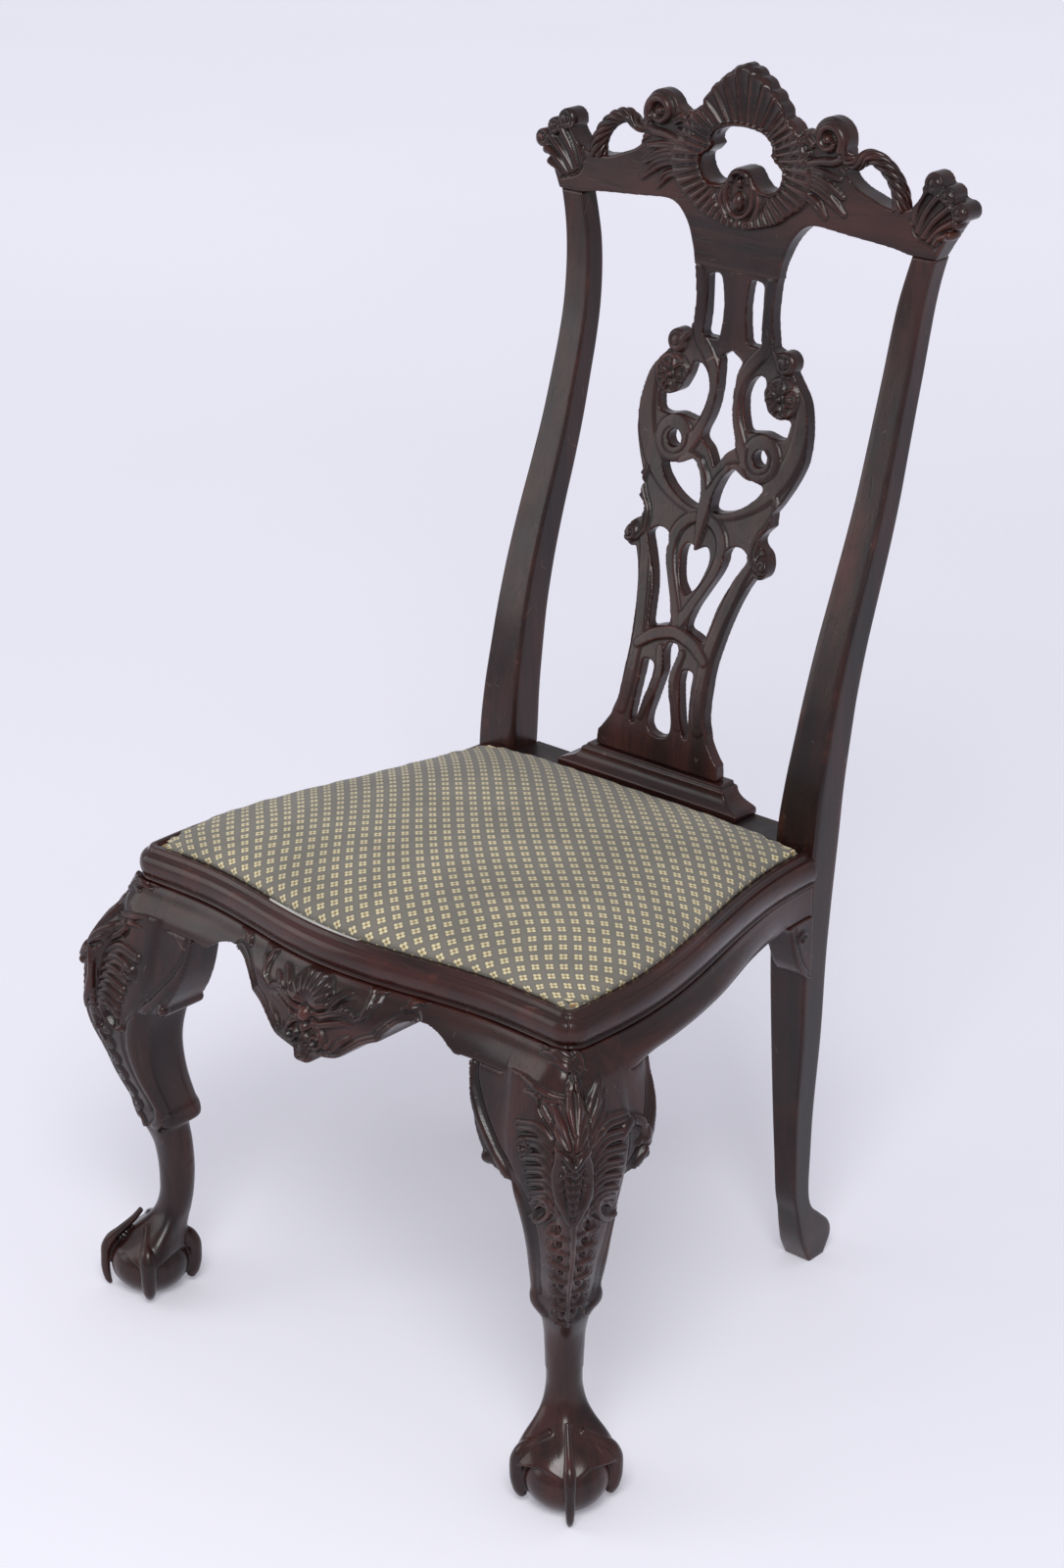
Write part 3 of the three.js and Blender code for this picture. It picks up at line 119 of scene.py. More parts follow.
def mirrored_loop(half: np.ndarray) -> np.ndarray:
    """A closed outline from the half of it at +x, which starts and ends on the middle line."""
    other = half[::-1] * [-1, 1]
    return np.vstack([half, other[np.abs(other[:, 0]) > TINY]])


def travelled(path: np.ndarray) -> np.ndarray:
    """Length along a path at each of its points."""
    return np.concatenate([[0], np.cumsum(np.linalg.norm(np.diff(path, axis=0), axis=1))])


def headings(path: np.ndarray) -> np.ndarray:
    """Direction of a path at each of its points."""
    ways = np.gradient(path, axis=0)
    return ways / np.linalg.norm(ways, axis=1)[:, None]


def even(path: np.ndarray, step: float) -> np.ndarray:
    """The path with its points spaced about a step apart."""
    gone = travelled(path)
    count = max(int(gone[-1] / step), 2)
    wanted = np.linspace(0, gone[-1], count + 1)
    return np.stack(
        [np.interp(wanted, gone, path[:, axis]) for axis in range(path.shape[1])], axis=1
    )


def table(rows: Rows, at: np.ndarray, per: int = 6) -> np.ndarray:
    """Smooth look-up of a two-column table at given places."""
    dense = spline(rows, per)
    order = np.argsort(dense[:, 0], kind="stable")
    return np.interp(at, dense[order, 0], dense[order, 1])


def eased(low: float, high: float, at: np.ndarray) -> np.ndarray:
    """Smooth step from 0 at low to 1 at high."""
    share = np.clip((at - low) / (high - low), 0, 1)
    return share * share * (3 - 2 * share)


def at_one(line: Callable[[np.ndarray], np.ndarray], place: float) -> float:
    """A line's value at a single place."""
    return float(line(np.array([place]))[0])


# --------------------------------------------------------------------------- the maker's sizes


@dataclass(frozen=True)
class Plan:
    """Plan and heights of the seat that every rail, moulding and bracket follows."""

    seat_top: float = 441.0
    seat_fall: float = 8.0
    depth: float = 391.0
    nose_half: float = 250.5
    front_hollow: float = 3.5
    reach: float = 178.0
    swell: float = 21.0
    corner_ease: float = 3.5
    corner_round: float = 20.0
    side_turn: float = 65.0
    side_swell: float = 3.0
    draw_in: float = 54.0
    side_end: float = 6.0
    fade_start: float = 190.0
    rear_draw: float = 4.0
    side_share: float = 0.78
    mould_height: float = 29.0
    mould_width: float = 16.0
    clearance: float = 0.3
    ledge_foot: float = 404.0
    ledge_top: float = 424.0
    ledge_set: float = 12.3
    under_rail: float = 57.3
    face_drop: float = 100.0
    face_swell: float = 31.0
    block: float = 55.0

    @property
    def face_top(self) -> float:
        """Height where the faces under the moulding begin."""
        return self.seat_top - self.mould_height

    @property
    def bracket_top(self) -> float:
        """Height where the knee brackets begin."""
        return self.seat_top - self.under_rail

    @property
    def block_inner(self) -> float:
        """Inner side of the front legs' blocks."""
        return self.nose_half - self.block

    def front_nose(self, x: np.ndarray) -> np.ndarray:
        """Nose line of the moulding across the front: y at x."""
        along = np.abs(x)
        share = np.minimum(along / self.reach, 1)
        past = np.clip((along - self.reach) / (self.nose_half - self.reach), 0, 1)
        swell = self.swell * (1 + np.cos(np.pi * share)) / 2
        return self.front_hollow - swell - self.corner_ease * past**2

    def side_nose(self, y: np.ndarray) -> np.ndarray:
        """Nose line of the moulding along a side: x at y."""
        run = self.depth - self.side_end - self.side_turn
        share = np.clip((y - self.side_turn) / run, 0, 1)
        ahead = np.clip((self.side_turn - y) / self.side_turn, 0, 1)
        drawn = self.draw_in * (1 - np.cos(np.pi * share)) / 2
        return self.nose_half + self.side_swell - drawn - self.side_swell * ahead**2

    def fall(self, y: np.ndarray) -> np.ndarray:
        """How far the seat has fallen at a depth."""
        return self.seat_fall * y / self.depth


PLAN = Plan()
FACE = (
    (0, -0.02), (0.04, 0.06), (0.1, 0.24), (0.18, 0.42), (0.27, 0.53),
    (0.42, 0.63), (0.62, 0.78), (0.82, 0.93), (1, 1), (1.15, 1.02),
)
SIDE_FACE = (
    (0, -0.02), (0.05, 0.1), (0.1, 0.28), (0.15, 0.42), (0.19, 0.46), (0.235, 0.38), (0.28, 0.16)
)
BACK_FRONT = PLAN.depth
BACK_RISE = 500.0
BACK_LEAN = 125.0
SHOE_FRONT = BACK_FRONT + 6
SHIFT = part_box("splat_shoe")[0].y / MM - SHOE_FRONT


def face_out(z: np.ndarray, shares: Rows = FACE) -> np.ndarray:
    """How far a face stands proud of the nose line at a height."""
    return PLAN.face_swell * table(shares, (PLAN.face_top - z) / PLAN.face_drop)


def side_out(y: np.ndarray, z: np.ndarray) -> np.ndarray:
    """How far a side's face stands out: the leg's section turns into the rail's own."""
    mix = eased(PLAN.block - 2, PLAN.block + 48, y)
    return PLAN.side_share * ((1 - mix) * face_out(z) + mix * face_out(z, SIDE_FACE))


# --------------------------------------------------------------------------- meshes


class Bent(Enum):
    """Ways in which a board stands."""

    ACROSS = "across"
    ALONG = "along"


@dataclass
class Shape:
    """Points in millimetres and the faces between them."""

    points: np.ndarray
    faces: list[tuple[int, ...]] | np.ndarray

    def turned_over(self) -> "Shape":
        """The other-handed shape."""
        flipped = [tuple(reversed(tuple(face))) for face in self.faces]
        return Shape(self.points * [-1, 1, 1], flipped)

    def joined(self, *others: "Shape") -> "Shape":
        """This shape and others as one."""
        points, faces, start = [], [], 0
        for shape in (self, *others):
            points.append(shape.points)
            faces.extend(tuple(int(corner) + start for corner in face) for face in shape.faces)
            start += len(shape.points)
        return Shape(np.vstack(points), faces)


def quads_of(grid: np.ndarray) -> np.ndarray:
    """Faces between the rows and columns of a grid of point numbers."""
    corners = [grid[:-1, :-1], grid[:-1, 1:], grid[1:, 1:], grid[1:, :-1]]
    return np.stack(corners, axis=-1).reshape(-1, 4)


def read(
    items: bpy.types.bpy_prop_collection, what: str, width: int = 1, kind: type = float
) -> np.ndarray:
    """Values of a Blender collection, one row an item where each has several."""
    values = np.empty(len(items) * width, kind)
    items.foreach_get(what, values)
    return values.reshape(-1, width) if width > 1 else values


def linked(name: str, data: bpy.types.ID) -> bpy.types.Object:
    """A new object in the scene."""
    item = bpy.data.objects.new(name, data)
    bpy.context.scene.collection.objects.link(item)
    return item


def mesh_of(shape: Shape, name: str) -> bpy.types.Mesh:
    """Blender mesh of a shape, still in millimetres."""
    mesh = bpy.data.meshes.new(name)
    mesh.from_pydata(
        shape.points.tolist(), [], [tuple(int(i) for i in face) for face in shape.faces]
    )
    mesh.update()
    return mesh


def shape_of(mesh: bpy.types.Mesh) -> Shape:
    """Points and faces of a Blender mesh."""
    points = read(mesh.vertices, "co", 3)
    corners = read(mesh.loops, "vertex_index", kind=int)
    totals = read(mesh.polygons, "loop_total", kind=int)
    if len(totals) and np.all(totals == totals[0]):
        return Shape(points, corners.reshape(-1, totals[0]))
    return Shape(points, [tuple(part) for part in np.split(corners, np.cumsum(totals)[:-1])])


def taken(item: bpy.types.Object) -> Shape:
    """The shape of an object after its modifiers; the object goes."""
    graph = bpy.context.evaluated_depsgraph_get()
    made = bpy.data.meshes.new_from_object(item.evaluated_get(graph), depsgraph=graph)
    shape = shape_of(made)
    bpy.data.objects.remove(item)
    bpy.data.meshes.remove(made)
    return shape


def with_modifiers(shape: Shape, add: Callable[[bpy.types.Object], None]) -> Shape:
    """Runs a stack of modifiers over a shape.

    Args:
        shape: what goes in.
        add: puts the modifiers on the object that it gets.
    Returns:
        The changed shape.
    """
    mesh = mesh_of(shape, "work")
    item = linked("work", mesh)
    add(item)
    result = taken(item)
    bpy.data.meshes.remove(mesh)
    return result


def remeshed(shape: Shape, grain: float, smooth: int = 2) -> Shape:
    """One even skin around overlapping closed forms.

    Args:
        shape: closed forms that may overlap.
        grain: size of the faces.
        smooth: rounds of smoothing.
    Returns:
        The skin.
    """

    def add(item: bpy.types.Object) -> None:
        """Adds the remesh and the smoothing."""
        skin = item.modifiers.new("skin", "REMESH")
        skin.mode = "VOXEL"
        skin.voxel_size = grain
        if smooth:
            soft = item.modifiers.new("soft", "SMOOTH")
            soft.factor = 0.5
            soft.iterations = smooth

    return with_modifiers(shape, add)


def board(
    loops: Iterable[np.ndarray], start: float, end: float, stand: Bent = Bent.ACROSS
) -> Shape:
    """A board sawn to an outline with holes.

    Args:
        loops: the outline and its holes, as (across, up) points.
        start: depth of the first face.
        end: depth of the second face.
        stand: whether the outline's first axis runs along x or along y.
    Returns:
        The board as a closed shape.
    """
    curve = bpy.data.curves.new("board", "CURVE")
    curve.dimensions = "2D"
    curve.fill_mode = "BOTH"
    curve.extrude = abs(end - start) / 2
    for loop in loops:
        run = curve.splines.new("POLY")
        run.points.add(len(loop) - 1)
        flat = np.zeros((len(loop), 4))
        flat[:, :2] = loop
        flat[:, 3] = 1
        run.points.foreach_set("co", flat.ravel())
        run.use_cyclic_u = True
    shape = taken(linked("board", curve))
    bpy.data.curves.remove(curve)
    across, up, depth = shape.points.T
    middle = (start + end) / 2
    if stand is Bent.ACROSS:
        return Shape(np.stack([across, middle + depth, up], axis=1), shape.faces)
    return Shape(np.stack([middle + depth, across, up], axis=1), shape.faces)


def lofted(rings: np.ndarray) -> Shape:
    """Closed skin over rings (rings, points, axes) that all have the same number of points."""
    count, sides, _ = rings.shape
    here = np.arange(sides)
    after = (here + 1) % sides
    quads = []
    for ring in range(count - 1):
        low, high = ring * sides, (ring + 1) * sides
        quads.append(np.stack([low + here, low + after, high + after, high + here], axis=1))
    faces: list[tuple[int, ...]] = [tuple(quad) for quad in np.vstack(quads)]
    faces.append(tuple(range(sides))[::-1])
    faces.append(tuple(range((count - 1) * sides, count * sides)))
    return Shape(rings.reshape(-1, 3), faces)


def outward(shape: Shape) -> Shape:
    """The shape with its faces looking outwards."""
    volume = 0.0
    for face in shape.faces:
        corners = shape.points[list(face)]
        for index in range(1, len(corners) - 1):
            volume += np.dot(corners[0], np.cross(corners[index], corners[index + 1]))
    if volume < 0:
        return Shape(shape.points, [tuple(reversed(tuple(face))) for face in shape.faces])
    return shape


def ball(centre: Sequence[float], radii: Sequence[float], sides: int = 28) -> Shape:
    """A closed ellipsoid.

    Args:
        centre: its middle.
        radii: half sizes along x, y and z.
        sides: points round it.
    Returns:
        The ellipsoid.
    """
    rise = np.radians(np.linspace(-88, 88, sides // 2))
    turn = np.linspace(0, 2 * np.pi, sides, endpoint=False)
    rings = np.stack(
        [
            np.outer(np.cos(rise), np.cos(turn)),
            np.outer(np.cos(rise), np.sin(turn)),
            np.outer(np.sin(rise), np.ones(sides)),
        ],
        axis=2,
    )
    return outward(lofted(rings * np.asarray(radii) + np.asarray(centre)))


def tube(path: np.ndarray, radii: np.ndarray, sides: int) -> Shape:
    """A closed round bar along a path.

    Args:
        path: places along its middle, three numbers each.
        radii: radius at each place.
        sides: points round it.
    Returns:
        The bar.
    """
    along = headings(path)
    side = np.cross(along[0], [0.0, 0.0, 1.0])
    if np.linalg.norm(side) < 0.1:
        side = np.cross(along[0], [1.0, 0.0, 0.0])
    turn = np.linspace(0, 2 * np.pi, sides, endpoint=False)
    rings = np.empty((len(path), sides, 3))
    for index, (place, way) in enumerate(zip(path, along)):
        side = side - way * np.dot(side, way)
        side /= np.linalg.norm(side)
        other = np.cross(way, side)
        ring = np.outer(np.cos(turn), side) + np.outer(np.sin(turn), other)
        rings[index] = place + radii[index] * ring
    return outward(lofted(rings))


# --------------------------------------------------------------------------- carving


class Cut(Enum):
    """Sections that a carver's stroke leaves."""

    ROUND = "round"
    SOFT = "soft"
    LEAF = "leaf"
    FLAT = "flat"

    def section(self, across: np.ndarray) -> np.ndarray:
        """Height share over the distance share from the stroke's middle."""
        inside = np.clip(1 - across**2, 0, 1)
        if self is Cut.ROUND:
            return np.sqrt(inside)
        if self is Cut.SOFT:
            return inside**2
        if self is Cut.LEAF:
            return np.sqrt(inside) * (1 - 0.5 * np.exp(-((across / 0.28) ** 2)))
        return 1 - across**8


@dataclass
class Relief:
    """Carved height over a set of places."""

    places: np.ndarray
    height: np.ndarray = field(init=False)

    def __post_init__(self) -> None:
        """Starts from the plain ground."""
        self.height = np.zeros(len(self.places))

    def near(self, path: np.ndarray, reach: float) -> tuple[np.ndarray, np.ndarray, np.ndarray]:
        """Places near a path.

        Args:
            path: the path's points.
            reach: how far away a place may be.
        Returns:
            Their indices, distances and shares along the path.
        """
        inside = (self.places >= path.min(0) - reach) & (self.places <= path.max(0) + reach)
        found = np.flatnonzero(inside.all(axis=1))
        spots = self.places[found]
        best = np.full(len(found), np.inf)
        share = np.zeros(len(found))
        runs = np.diff(path, axis=0)
        lengths = np.linalg.norm(runs, axis=1)
        gone = travelled(path)
        for start, run, length, before in zip(path[:-1], runs, lengths, gone):
            if length < 1e-9:
                continue
            away = spots - start
            along = np.clip(away @ run / length**2, 0, 1)
            square = ((away - along[:, None] * run) ** 2).sum(axis=1)
            closer = square < best
            best[closer] = square[closer]
            share[closer] = (before + along[closer] * length) / gone[-1]
        distance = np.sqrt(best)
        kept = distance <= reach
        return found[kept], distance[kept], share[kept]

    def stroke(
        self,
        points: Rows,
        width: Sequence[float],
        height: Sequence[float],
        cut: Cut = Cut.ROUND,
    ) -> None:
        """Raises a tapering stroke, or sinks it where its height is below zero.

        Args:
            points: places that its middle runs through.
            width: half widths, spread evenly along it.
            height: heights, spread evenly along it.
            cut: its section.
        """
        path = spline(points, 7)
        found, distance, share = self.near(path, max(width))
        widths = np.interp(share, np.linspace(0, 1, len(width)), width)
        heights = np.interp(share, np.linspace(0, 1, len(height)), height)
        across = distance / np.maximum(widths, TINY)
        inside = across < 1
        found, across, heights = found[inside], across[inside], heights[inside]
        value = heights * cut.section(across)
        if max(height) <= 0:
            self.height[found] += value
        else:
            self.height[found] = np.maximum(self.height[found], value)

    def edge(self, loop: np.ndarray, profile: Rows, closed: bool = True) -> None:
        """Works a profile along an edge.

        Args:
            loop: the edge's points.
            profile: rows of distance from the edge and height.
            closed: whether the edge runs back to its start.
        """
        path = np.vstack([loop, loop[:1]]) if closed else loop
        rows = np.asarray(profile, float)
        found, distance, _ = self.near(even(path, 2.0), rows[-1, 0])
        self.height[found] += np.interp(distance, rows[:, 0], rows[:, 1])

    def dome(
        self, centre: Sequence[float], radii: Sequence[float], height: float, power: float = 0.5
    ) -> None:
        """Raises an oval boss, or sinks it where its height is below zero."""
        away = (self.places - np.asarray(centre)) / np.asarray(radii)
        inside = np.clip(1 - (away**2).sum(axis=1), 0, 1)
        value = height * inside**power
        if height < 0:
            self.height += value
        else:
            self.height = np.where(inside > 0, np.maximum(self.height, value), self.height)

    def spiral(
        self,
        centre: Sequence[float],
        radii: Pair,
        turns: Pair,
        width: Pair,
        height: Pair,
        cut: Cut = Cut.ROUND,
    ) -> None:
        """Raises or sinks a stroke that winds in.

        Args:
            centre: middle of the winding.
            radii: radius at its start and at its end.
            turns: angles at its start and at its end, in degrees.
            width: half widths at its start and at its end.
            height: heights at its start and at its end.
            cut: its section.
        """
        turn = np.radians(np.linspace(*turns, 28))
        radius = np.linspace(*radii, 28)
        path = np.stack([radius * np.cos(turn), radius * np.sin(turn)], axis=1) + np.asarray(centre)
        self.stroke(path, width, height, cut)

    def leaf(
        self, stem: Rows, lobes: int, reach: float, width: float, height: float, lean: float = 35.0
    ) -> None:
        """Raises an acanthus leaf: a stem with lobes that fan off both its sides.

        Args:
            stem: places along its middle vein.
            lobes: lobes on each side.
            reach: length of the longest lobe.
            width: half width of a lobe.
            height: height of the carving.
            lean: angle between a lobe and the stem, in degrees.
        """
        path = spline(stem, 8)
        ways = headings(path)
        for side in (1, -1):
            turn = math.radians(lean * side)
            for lobe in range(lobes):
                share = (lobe + 0.3) / lobes
                index = int(share * (len(path) - 1))
                way = ways[index]
                cos, sin = math.cos(turn), math.sin(turn)
                out = np.array([way[0] * cos - way[1] * sin, way[0] * sin + way[1] * cos])
                size = reach * math.sin(math.pi * (0.18 + 0.72 * share)) ** 0.8
                start = path[index]
                bend = start + out * size * 0.55 + way * size * 0.08
                tip = start + out * size * 0.85 + way * size * 0.38
                self.stroke(
                    [start, bend, tip], (width * 0.7, width, width * 0.35),
                    (height * 0.7, height, height * 0.5), Cut.LEAF
                )
        self.stroke(
            stem, (width * 0.8, width * 0.7, width * 0.3), (height, height * 1.15, height * 0.6),
            Cut.LEAF
        )


def both_halves(
    carve: Callable[[Relief], None], gain: float = 1.0
) -> Callable[[np.ndarray], np.ndarray]:
    """Carving drawn for the right half, laid over both.

    Args:
        carve: works the carving into a relief.
        gain: how much deeper it comes out.
    Returns:
        What gives the carved height at (across, up) places.
    """

    def height(places: np.ndarray) -> np.ndarray:
        """Carved height at places of either half."""
        relief = Relief(np.stack([np.abs(places[:, 0]), places[:, 1]], axis=1))
        carve(relief)
        return relief.height * gain

    return height


# --------------------------------------------------------------------------- placing pieces


@dataclass
class Piece:
    """A finished piece: what it is called, what it stands for and what it is made of."""

    name: str
    shape: Shape
    finish: "Finish"
    nodes: tuple[str, ...] = ()
    body: str = FRAME_BODY
    carved: bool = False

    def place(self) -> bpy.types.Object:
        """Links the piece into the scene and says what it rides on and replaces."""
        shape = Shape((self.shape.points + [0, SHIFT, 0]) * MM, self.shape.faces)
        mesh = mesh_of(shape, self.name)
        mesh.shade_smooth()
        if self.carved:
            mark_wear(mesh)
        item = linked(self.name, mesh)
        mesh.materials.append(self.finish.material())
        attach(item, self.body)
        if self.nodes:
            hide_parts(*self.nodes)
        log.info("%s: %d faces", self.name, len(mesh.polygons))
        return item


def place_pair(node: str, ending: str, shape: Shape, finish: "Finish") -> None:
    """Places a right-hand shape and its other hand over their nodes."""
    for side, sign in SIDES:
        one = shape if sign > 0 else shape.turned_over()
        Piece(f"{node}_{side}_{ending}", one, finish, (f"{node}_{side}",), carved=True).place()


SPREAD_ROUNDS = 3
PROUD_STEP = 0.12


def mark_wear(mesh: bpy.types.Mesh) -> None:
    """Stores how proud or sunk each place lies, 0.5 where it is flat, for wear and dirt."""
    count = len(mesh.vertices)
    points = read(mesh.vertices, "co", 3)
    normals = read(mesh.vertex_normals, "vector", 3)
    first, second = read(mesh.edges, "vertices", 2, int).T
    ends = np.concatenate([first, second])
    others = np.concatenate([second, first])
    share = np.maximum(np.bincount(ends, minlength=count), 1)

    def spread(values: np.ndarray) -> np.ndarray:
        """Mean of the neighbours' values."""
        return np.bincount(ends, weights=values[others], minlength=count) / share

    wide = points.copy()
    for _ in range(SPREAD_ROUNDS):
        wide = np.stack([spread(wide[:, axis]) for axis in range(3)], axis=1)
    proud = -((wide - points) * normals).sum(axis=1)
    for _ in range(2):
        proud = 0.5 * proud + 0.5 * spread(proud)
    size = math.sqrt(SPREAD_ROUNDS) * PROUD_STEP * MM
    value = np.clip(0.5 + 0.5 * proud / size, 0, 1)
    layer = mesh.attributes.new("proud", "FLOAT", "POINT")
    layer.data.foreach_set("value", value.astype(np.float32))


# --------------------------------------------------------------------------- finishes


def linear(red: float, green: float, blue: float) -> tuple[float, float, float, float]:
    """A colour written as 0 to 255 screen values, for a shader's socket."""

    def one(value: float) -> float:
        """One channel."""
        share = value / 255
        return share / 12.92 if share <= 0.04045 else ((share + 0.055) / 1.055) ** 2.4

    return (one(red), one(green), one(blue), 1.0)


@dataclass
class Desk:
    """Places nodes in a node tree and joins them."""

    tree: bpy.types.NodeTree

    def node(self, kind: str, settings: dict | None = None, **inputs: object) -> bpy.types.Node:
        """Adds a node.

        Args:
            kind: the node's type.
            settings: its own properties.
            inputs: values or sockets by input name, with _ for a space.
        Returns:
            The node.
        """
        made = self.tree.nodes.new(kind)
        for key, value in (settings or {}).items():
            setattr(made, key, value)
        self.fill(made, **inputs)
        return made

    def fill(self, made: bpy.types.Node, **inputs: object) -> None:
        """Gives a node's inputs values or sockets, by name with _ for a space."""
        for key, value in inputs.items():
            self.feed(made.inputs[key.replace("_", " ")], value)

    def feed(self, socket: bpy.types.NodeSocket, value: object) -> None:
        """Gives a socket a value or joins it to another."""
        if isinstance(value, bpy.types.NodeSocket):
            self.tree.links.new(value, socket)
        else:
            socket.default_value = value

    def maths(
        self, kind: str, first: object, second: object = 0.0, clamp: bool = False
    ) -> bpy.types.NodeSocket:
        """A sum, product or other working on two values."""
        made = self.node("ShaderNodeMath", {"operation": kind, "use_clamp": clamp})
        self.feed(made.inputs[0], first)
        self.feed(made.inputs[1], second)
        return made.outputs[0]

    def ramp(
        self, value: bpy.types.NodeSocket, low: float, high: float, first: float = 0.0,
        last: float = 1.0
    ) -> bpy.types.NodeSocket:
        """Spreads a value from one range to another, smoothly."""
        made = self.node("ShaderNodeMapRange", {"interpolation_type": "SMOOTHSTEP"})
        for index, number in enumerate((low, high, first, last), start=1):
            made.inputs[index].default_value = number
        self.feed(made.inputs[0], value)
        return made.outputs[0]

    def mix(
        self, share: object, first: object, second: object, blend: str = "MIX"
    ) -> bpy.types.NodeSocket:
        """Mixes two colours."""
        made = self.node("ShaderNodeMix", {"data_type": "RGBA", "blend_type": blend})
        self.feed(made.inputs[0], share)
        self.feed(made.inputs[6], first)
        self.feed(made.inputs[7], second)
        return made.outputs[2]

    def noise(
        self, where: object, scale: float, detail: float = 3.0, rough: float = 0.55
    ) -> bpy.types.NodeSocket:
        """Cloudy noise."""
        made = self.node(
            "ShaderNodeTexNoise", Vector=where, Scale=scale, Detail=detail, Roughness=rough
        )
        return made.outputs["Fac"]

    def vector(self, kind: str, first: object, second: object) -> bpy.types.Node:
        """A working on two places."""
        made = self.node("ShaderNodeVectorMath", {"operation": kind})
        self.feed(made.inputs[0], first)
        self.feed(made.inputs[1], second)
        return made

    def grey(self, value: object) -> bpy.types.NodeSocket:
        """A grey of a value."""
        return self.node("ShaderNodeCombineColor", Red=value, Green=value, Blue=value).outputs[0]

    def place(self) -> bpy.types.NodeSocket:
        """Places on the piece itself."""
        return self.node("ShaderNodeTexCoord").outputs["Object"]

    def use(self, tree: bpy.types.NodeTree, **inputs: object) -> bpy.types.NodeOutputs:
        """Adds a node group and gives its outputs."""
        return self.node("ShaderNodeGroup", {"node_tree": tree}, **inputs).outputs

    def bumps(
        self, shader: bpy.types.Node, height: object, strength: float, distance: float
    ) -> None:
        """Gives a shader small unevenness."""
        bump = self.node("ShaderNodeBump", Strength=strength, Distance=distance, Height=height)
        self.feed(shader.inputs["Normal"], bump.outputs[0])


def effect(
    name: str, takes: Sequence[tuple[str, str]], gives: Sequence[tuple[str, str]]
) -> tuple[bpy.types.NodeTree, Desk, dict, dict]:
    """Opens a node group.

    Args:
        name: the group's name.
        takes: names and kinds of its inputs.
        gives: names and kinds of its outputs.
    Returns:
        The group, its desk, its input sockets and its output sockets.
    """
    kinds = {"value": "NodeSocketFloat", "colour": "NodeSocketColor", "place": "NodeSocketVector"}
    tree = bpy.data.node_groups.new(name, "ShaderNodeTree")
    for label, kind in takes:
        tree.interface.new_socket(label, in_out="INPUT", socket_type=kinds[kind])
    for label, kind in gives:
        tree.interface.new_socket(label, in_out="OUTPUT", socket_type=kinds[kind])
    start = tree.nodes.new("NodeGroupInput")
    end = tree.nodes.new("NodeGroupOutput")
    inputs = {label: start.outputs[label] for label, _ in takes}
    outputs = {label: end.inputs[label] for label, _ in gives}
    return tree, Desk(tree), inputs, outputs


@cache
def grain_group() -> bpy.types.NodeTree:
    """Figure, pores and clouding of a stained hardwood, as masks."""
    tree, desk, takes, gives = effect(
        "wood grain",
        [("Place", "place"), ("Along", "place")],
        [("Figure", "value"), ("Pores", "value"), ("Clouds", "value")],
    )
    run = desk.vector("MULTIPLY", takes["Place"], takes["Along"]).outputs[0]
    desk.feed(gives["Figure"], desk.noise(run, 3.0, 5.0, 0.6))
    pores = desk.noise(run, 21.0, 2.0, 0.7)
    desk.feed(gives["Pores"], desk.ramp(pores, 0.54, 0.7))
    desk.feed(gives["Clouds"], desk.noise(takes["Place"], 9.0, 3.0, 0.5))
    return tree


@cache
def wear_group() -> bpy.types.NodeTree:
    """Rubbed high spots, dirt in hollows and small scratches, as masks."""
    tree, desk, takes, gives = effect(
        "handling wear",
        [("Place", "place"), ("Proud", "value"), ("Amount", "value")],
        [("Rubbed", "value"), ("Dirt", "value"), ("Scratches", "value"), ("Smears", "value")],
    )
    patches = desk.ramp(desk.noise(takes["Place"], 30.0, 4.0, 0.6), 0.5, 0.74)
    high = desk.ramp(takes["Proud"], 0.6, 0.95)
    worn = desk.maths("MULTIPLY", high, desk.maths("ADD", patches, 0.07))
    desk.feed(gives["Rubbed"], desk.maths("MULTIPLY", worn, takes["Amount"], clamp=True))
    desk.feed(gives["Dirt"], desk.ramp(takes["Proud"], 0.42, 0.08))
    cracks = desk.node(
        "ShaderNodeTexVoronoi", {"feature": "DISTANCE_TO_EDGE"}, Vector=takes["Place"], Scale=26.0
    )
    thin = desk.ramp(cracks.outputs["Distance"], 0.012, 0.002)
    few = desk.ramp(desk.noise(takes["Place"], 60.0, 2.0), 0.6, 0.72)
    desk.feed(gives["Scratches"], desk.maths("MULTIPLY", thin, few))
    desk.feed(gives["Smears"], desk.noise(takes["Place"], 14.0, 5.0, 0.65))
    return tree


@cache
def weave_group() -> bpy.types.NodeTree:
    """Threads over and under each other, as height and as painted shade that darkens the low places
    between the threads.
    """
    tree, desk, takes, gives = effect(
        "plain weave",
        [("Place", "place"), ("Threads", "value")],
        [("Height", "value"), ("Shade", "value")],
    )
    parts = desk.node("ShaderNodeSeparateXYZ", Vector=takes["Place"])
    turned = [desk.maths("MULTIPLY", parts.outputs[axis], takes["Threads"]) for axis in range(2)]
    waves = [desk.maths("SINE", desk.maths("MULTIPLY", value, math.pi)) for value in turned]
    ridges = [desk.maths("ABSOLUTE", wave) for wave in waves]
    over = desk.maths("MULTIPLY", waves[0], waves[1])
    first = desk.maths("MULTIPLY", ridges[0], desk.ramp(over, -0.3, 0.3))
    second = desk.maths("MULTIPLY", ridges[1], desk.ramp(over, 0.3, -0.3))
    height = desk.maths("MAXIMUM", first, second)
    desk.feed(gives["Height"], height)
    # Shade is painted shade: the colour is darkened where the weave's height is low, between the
    # threads.
    desk.feed(gives["Shade"], desk.ramp(height, 0.0, 0.8, 0.72, 1.0))
    return tree


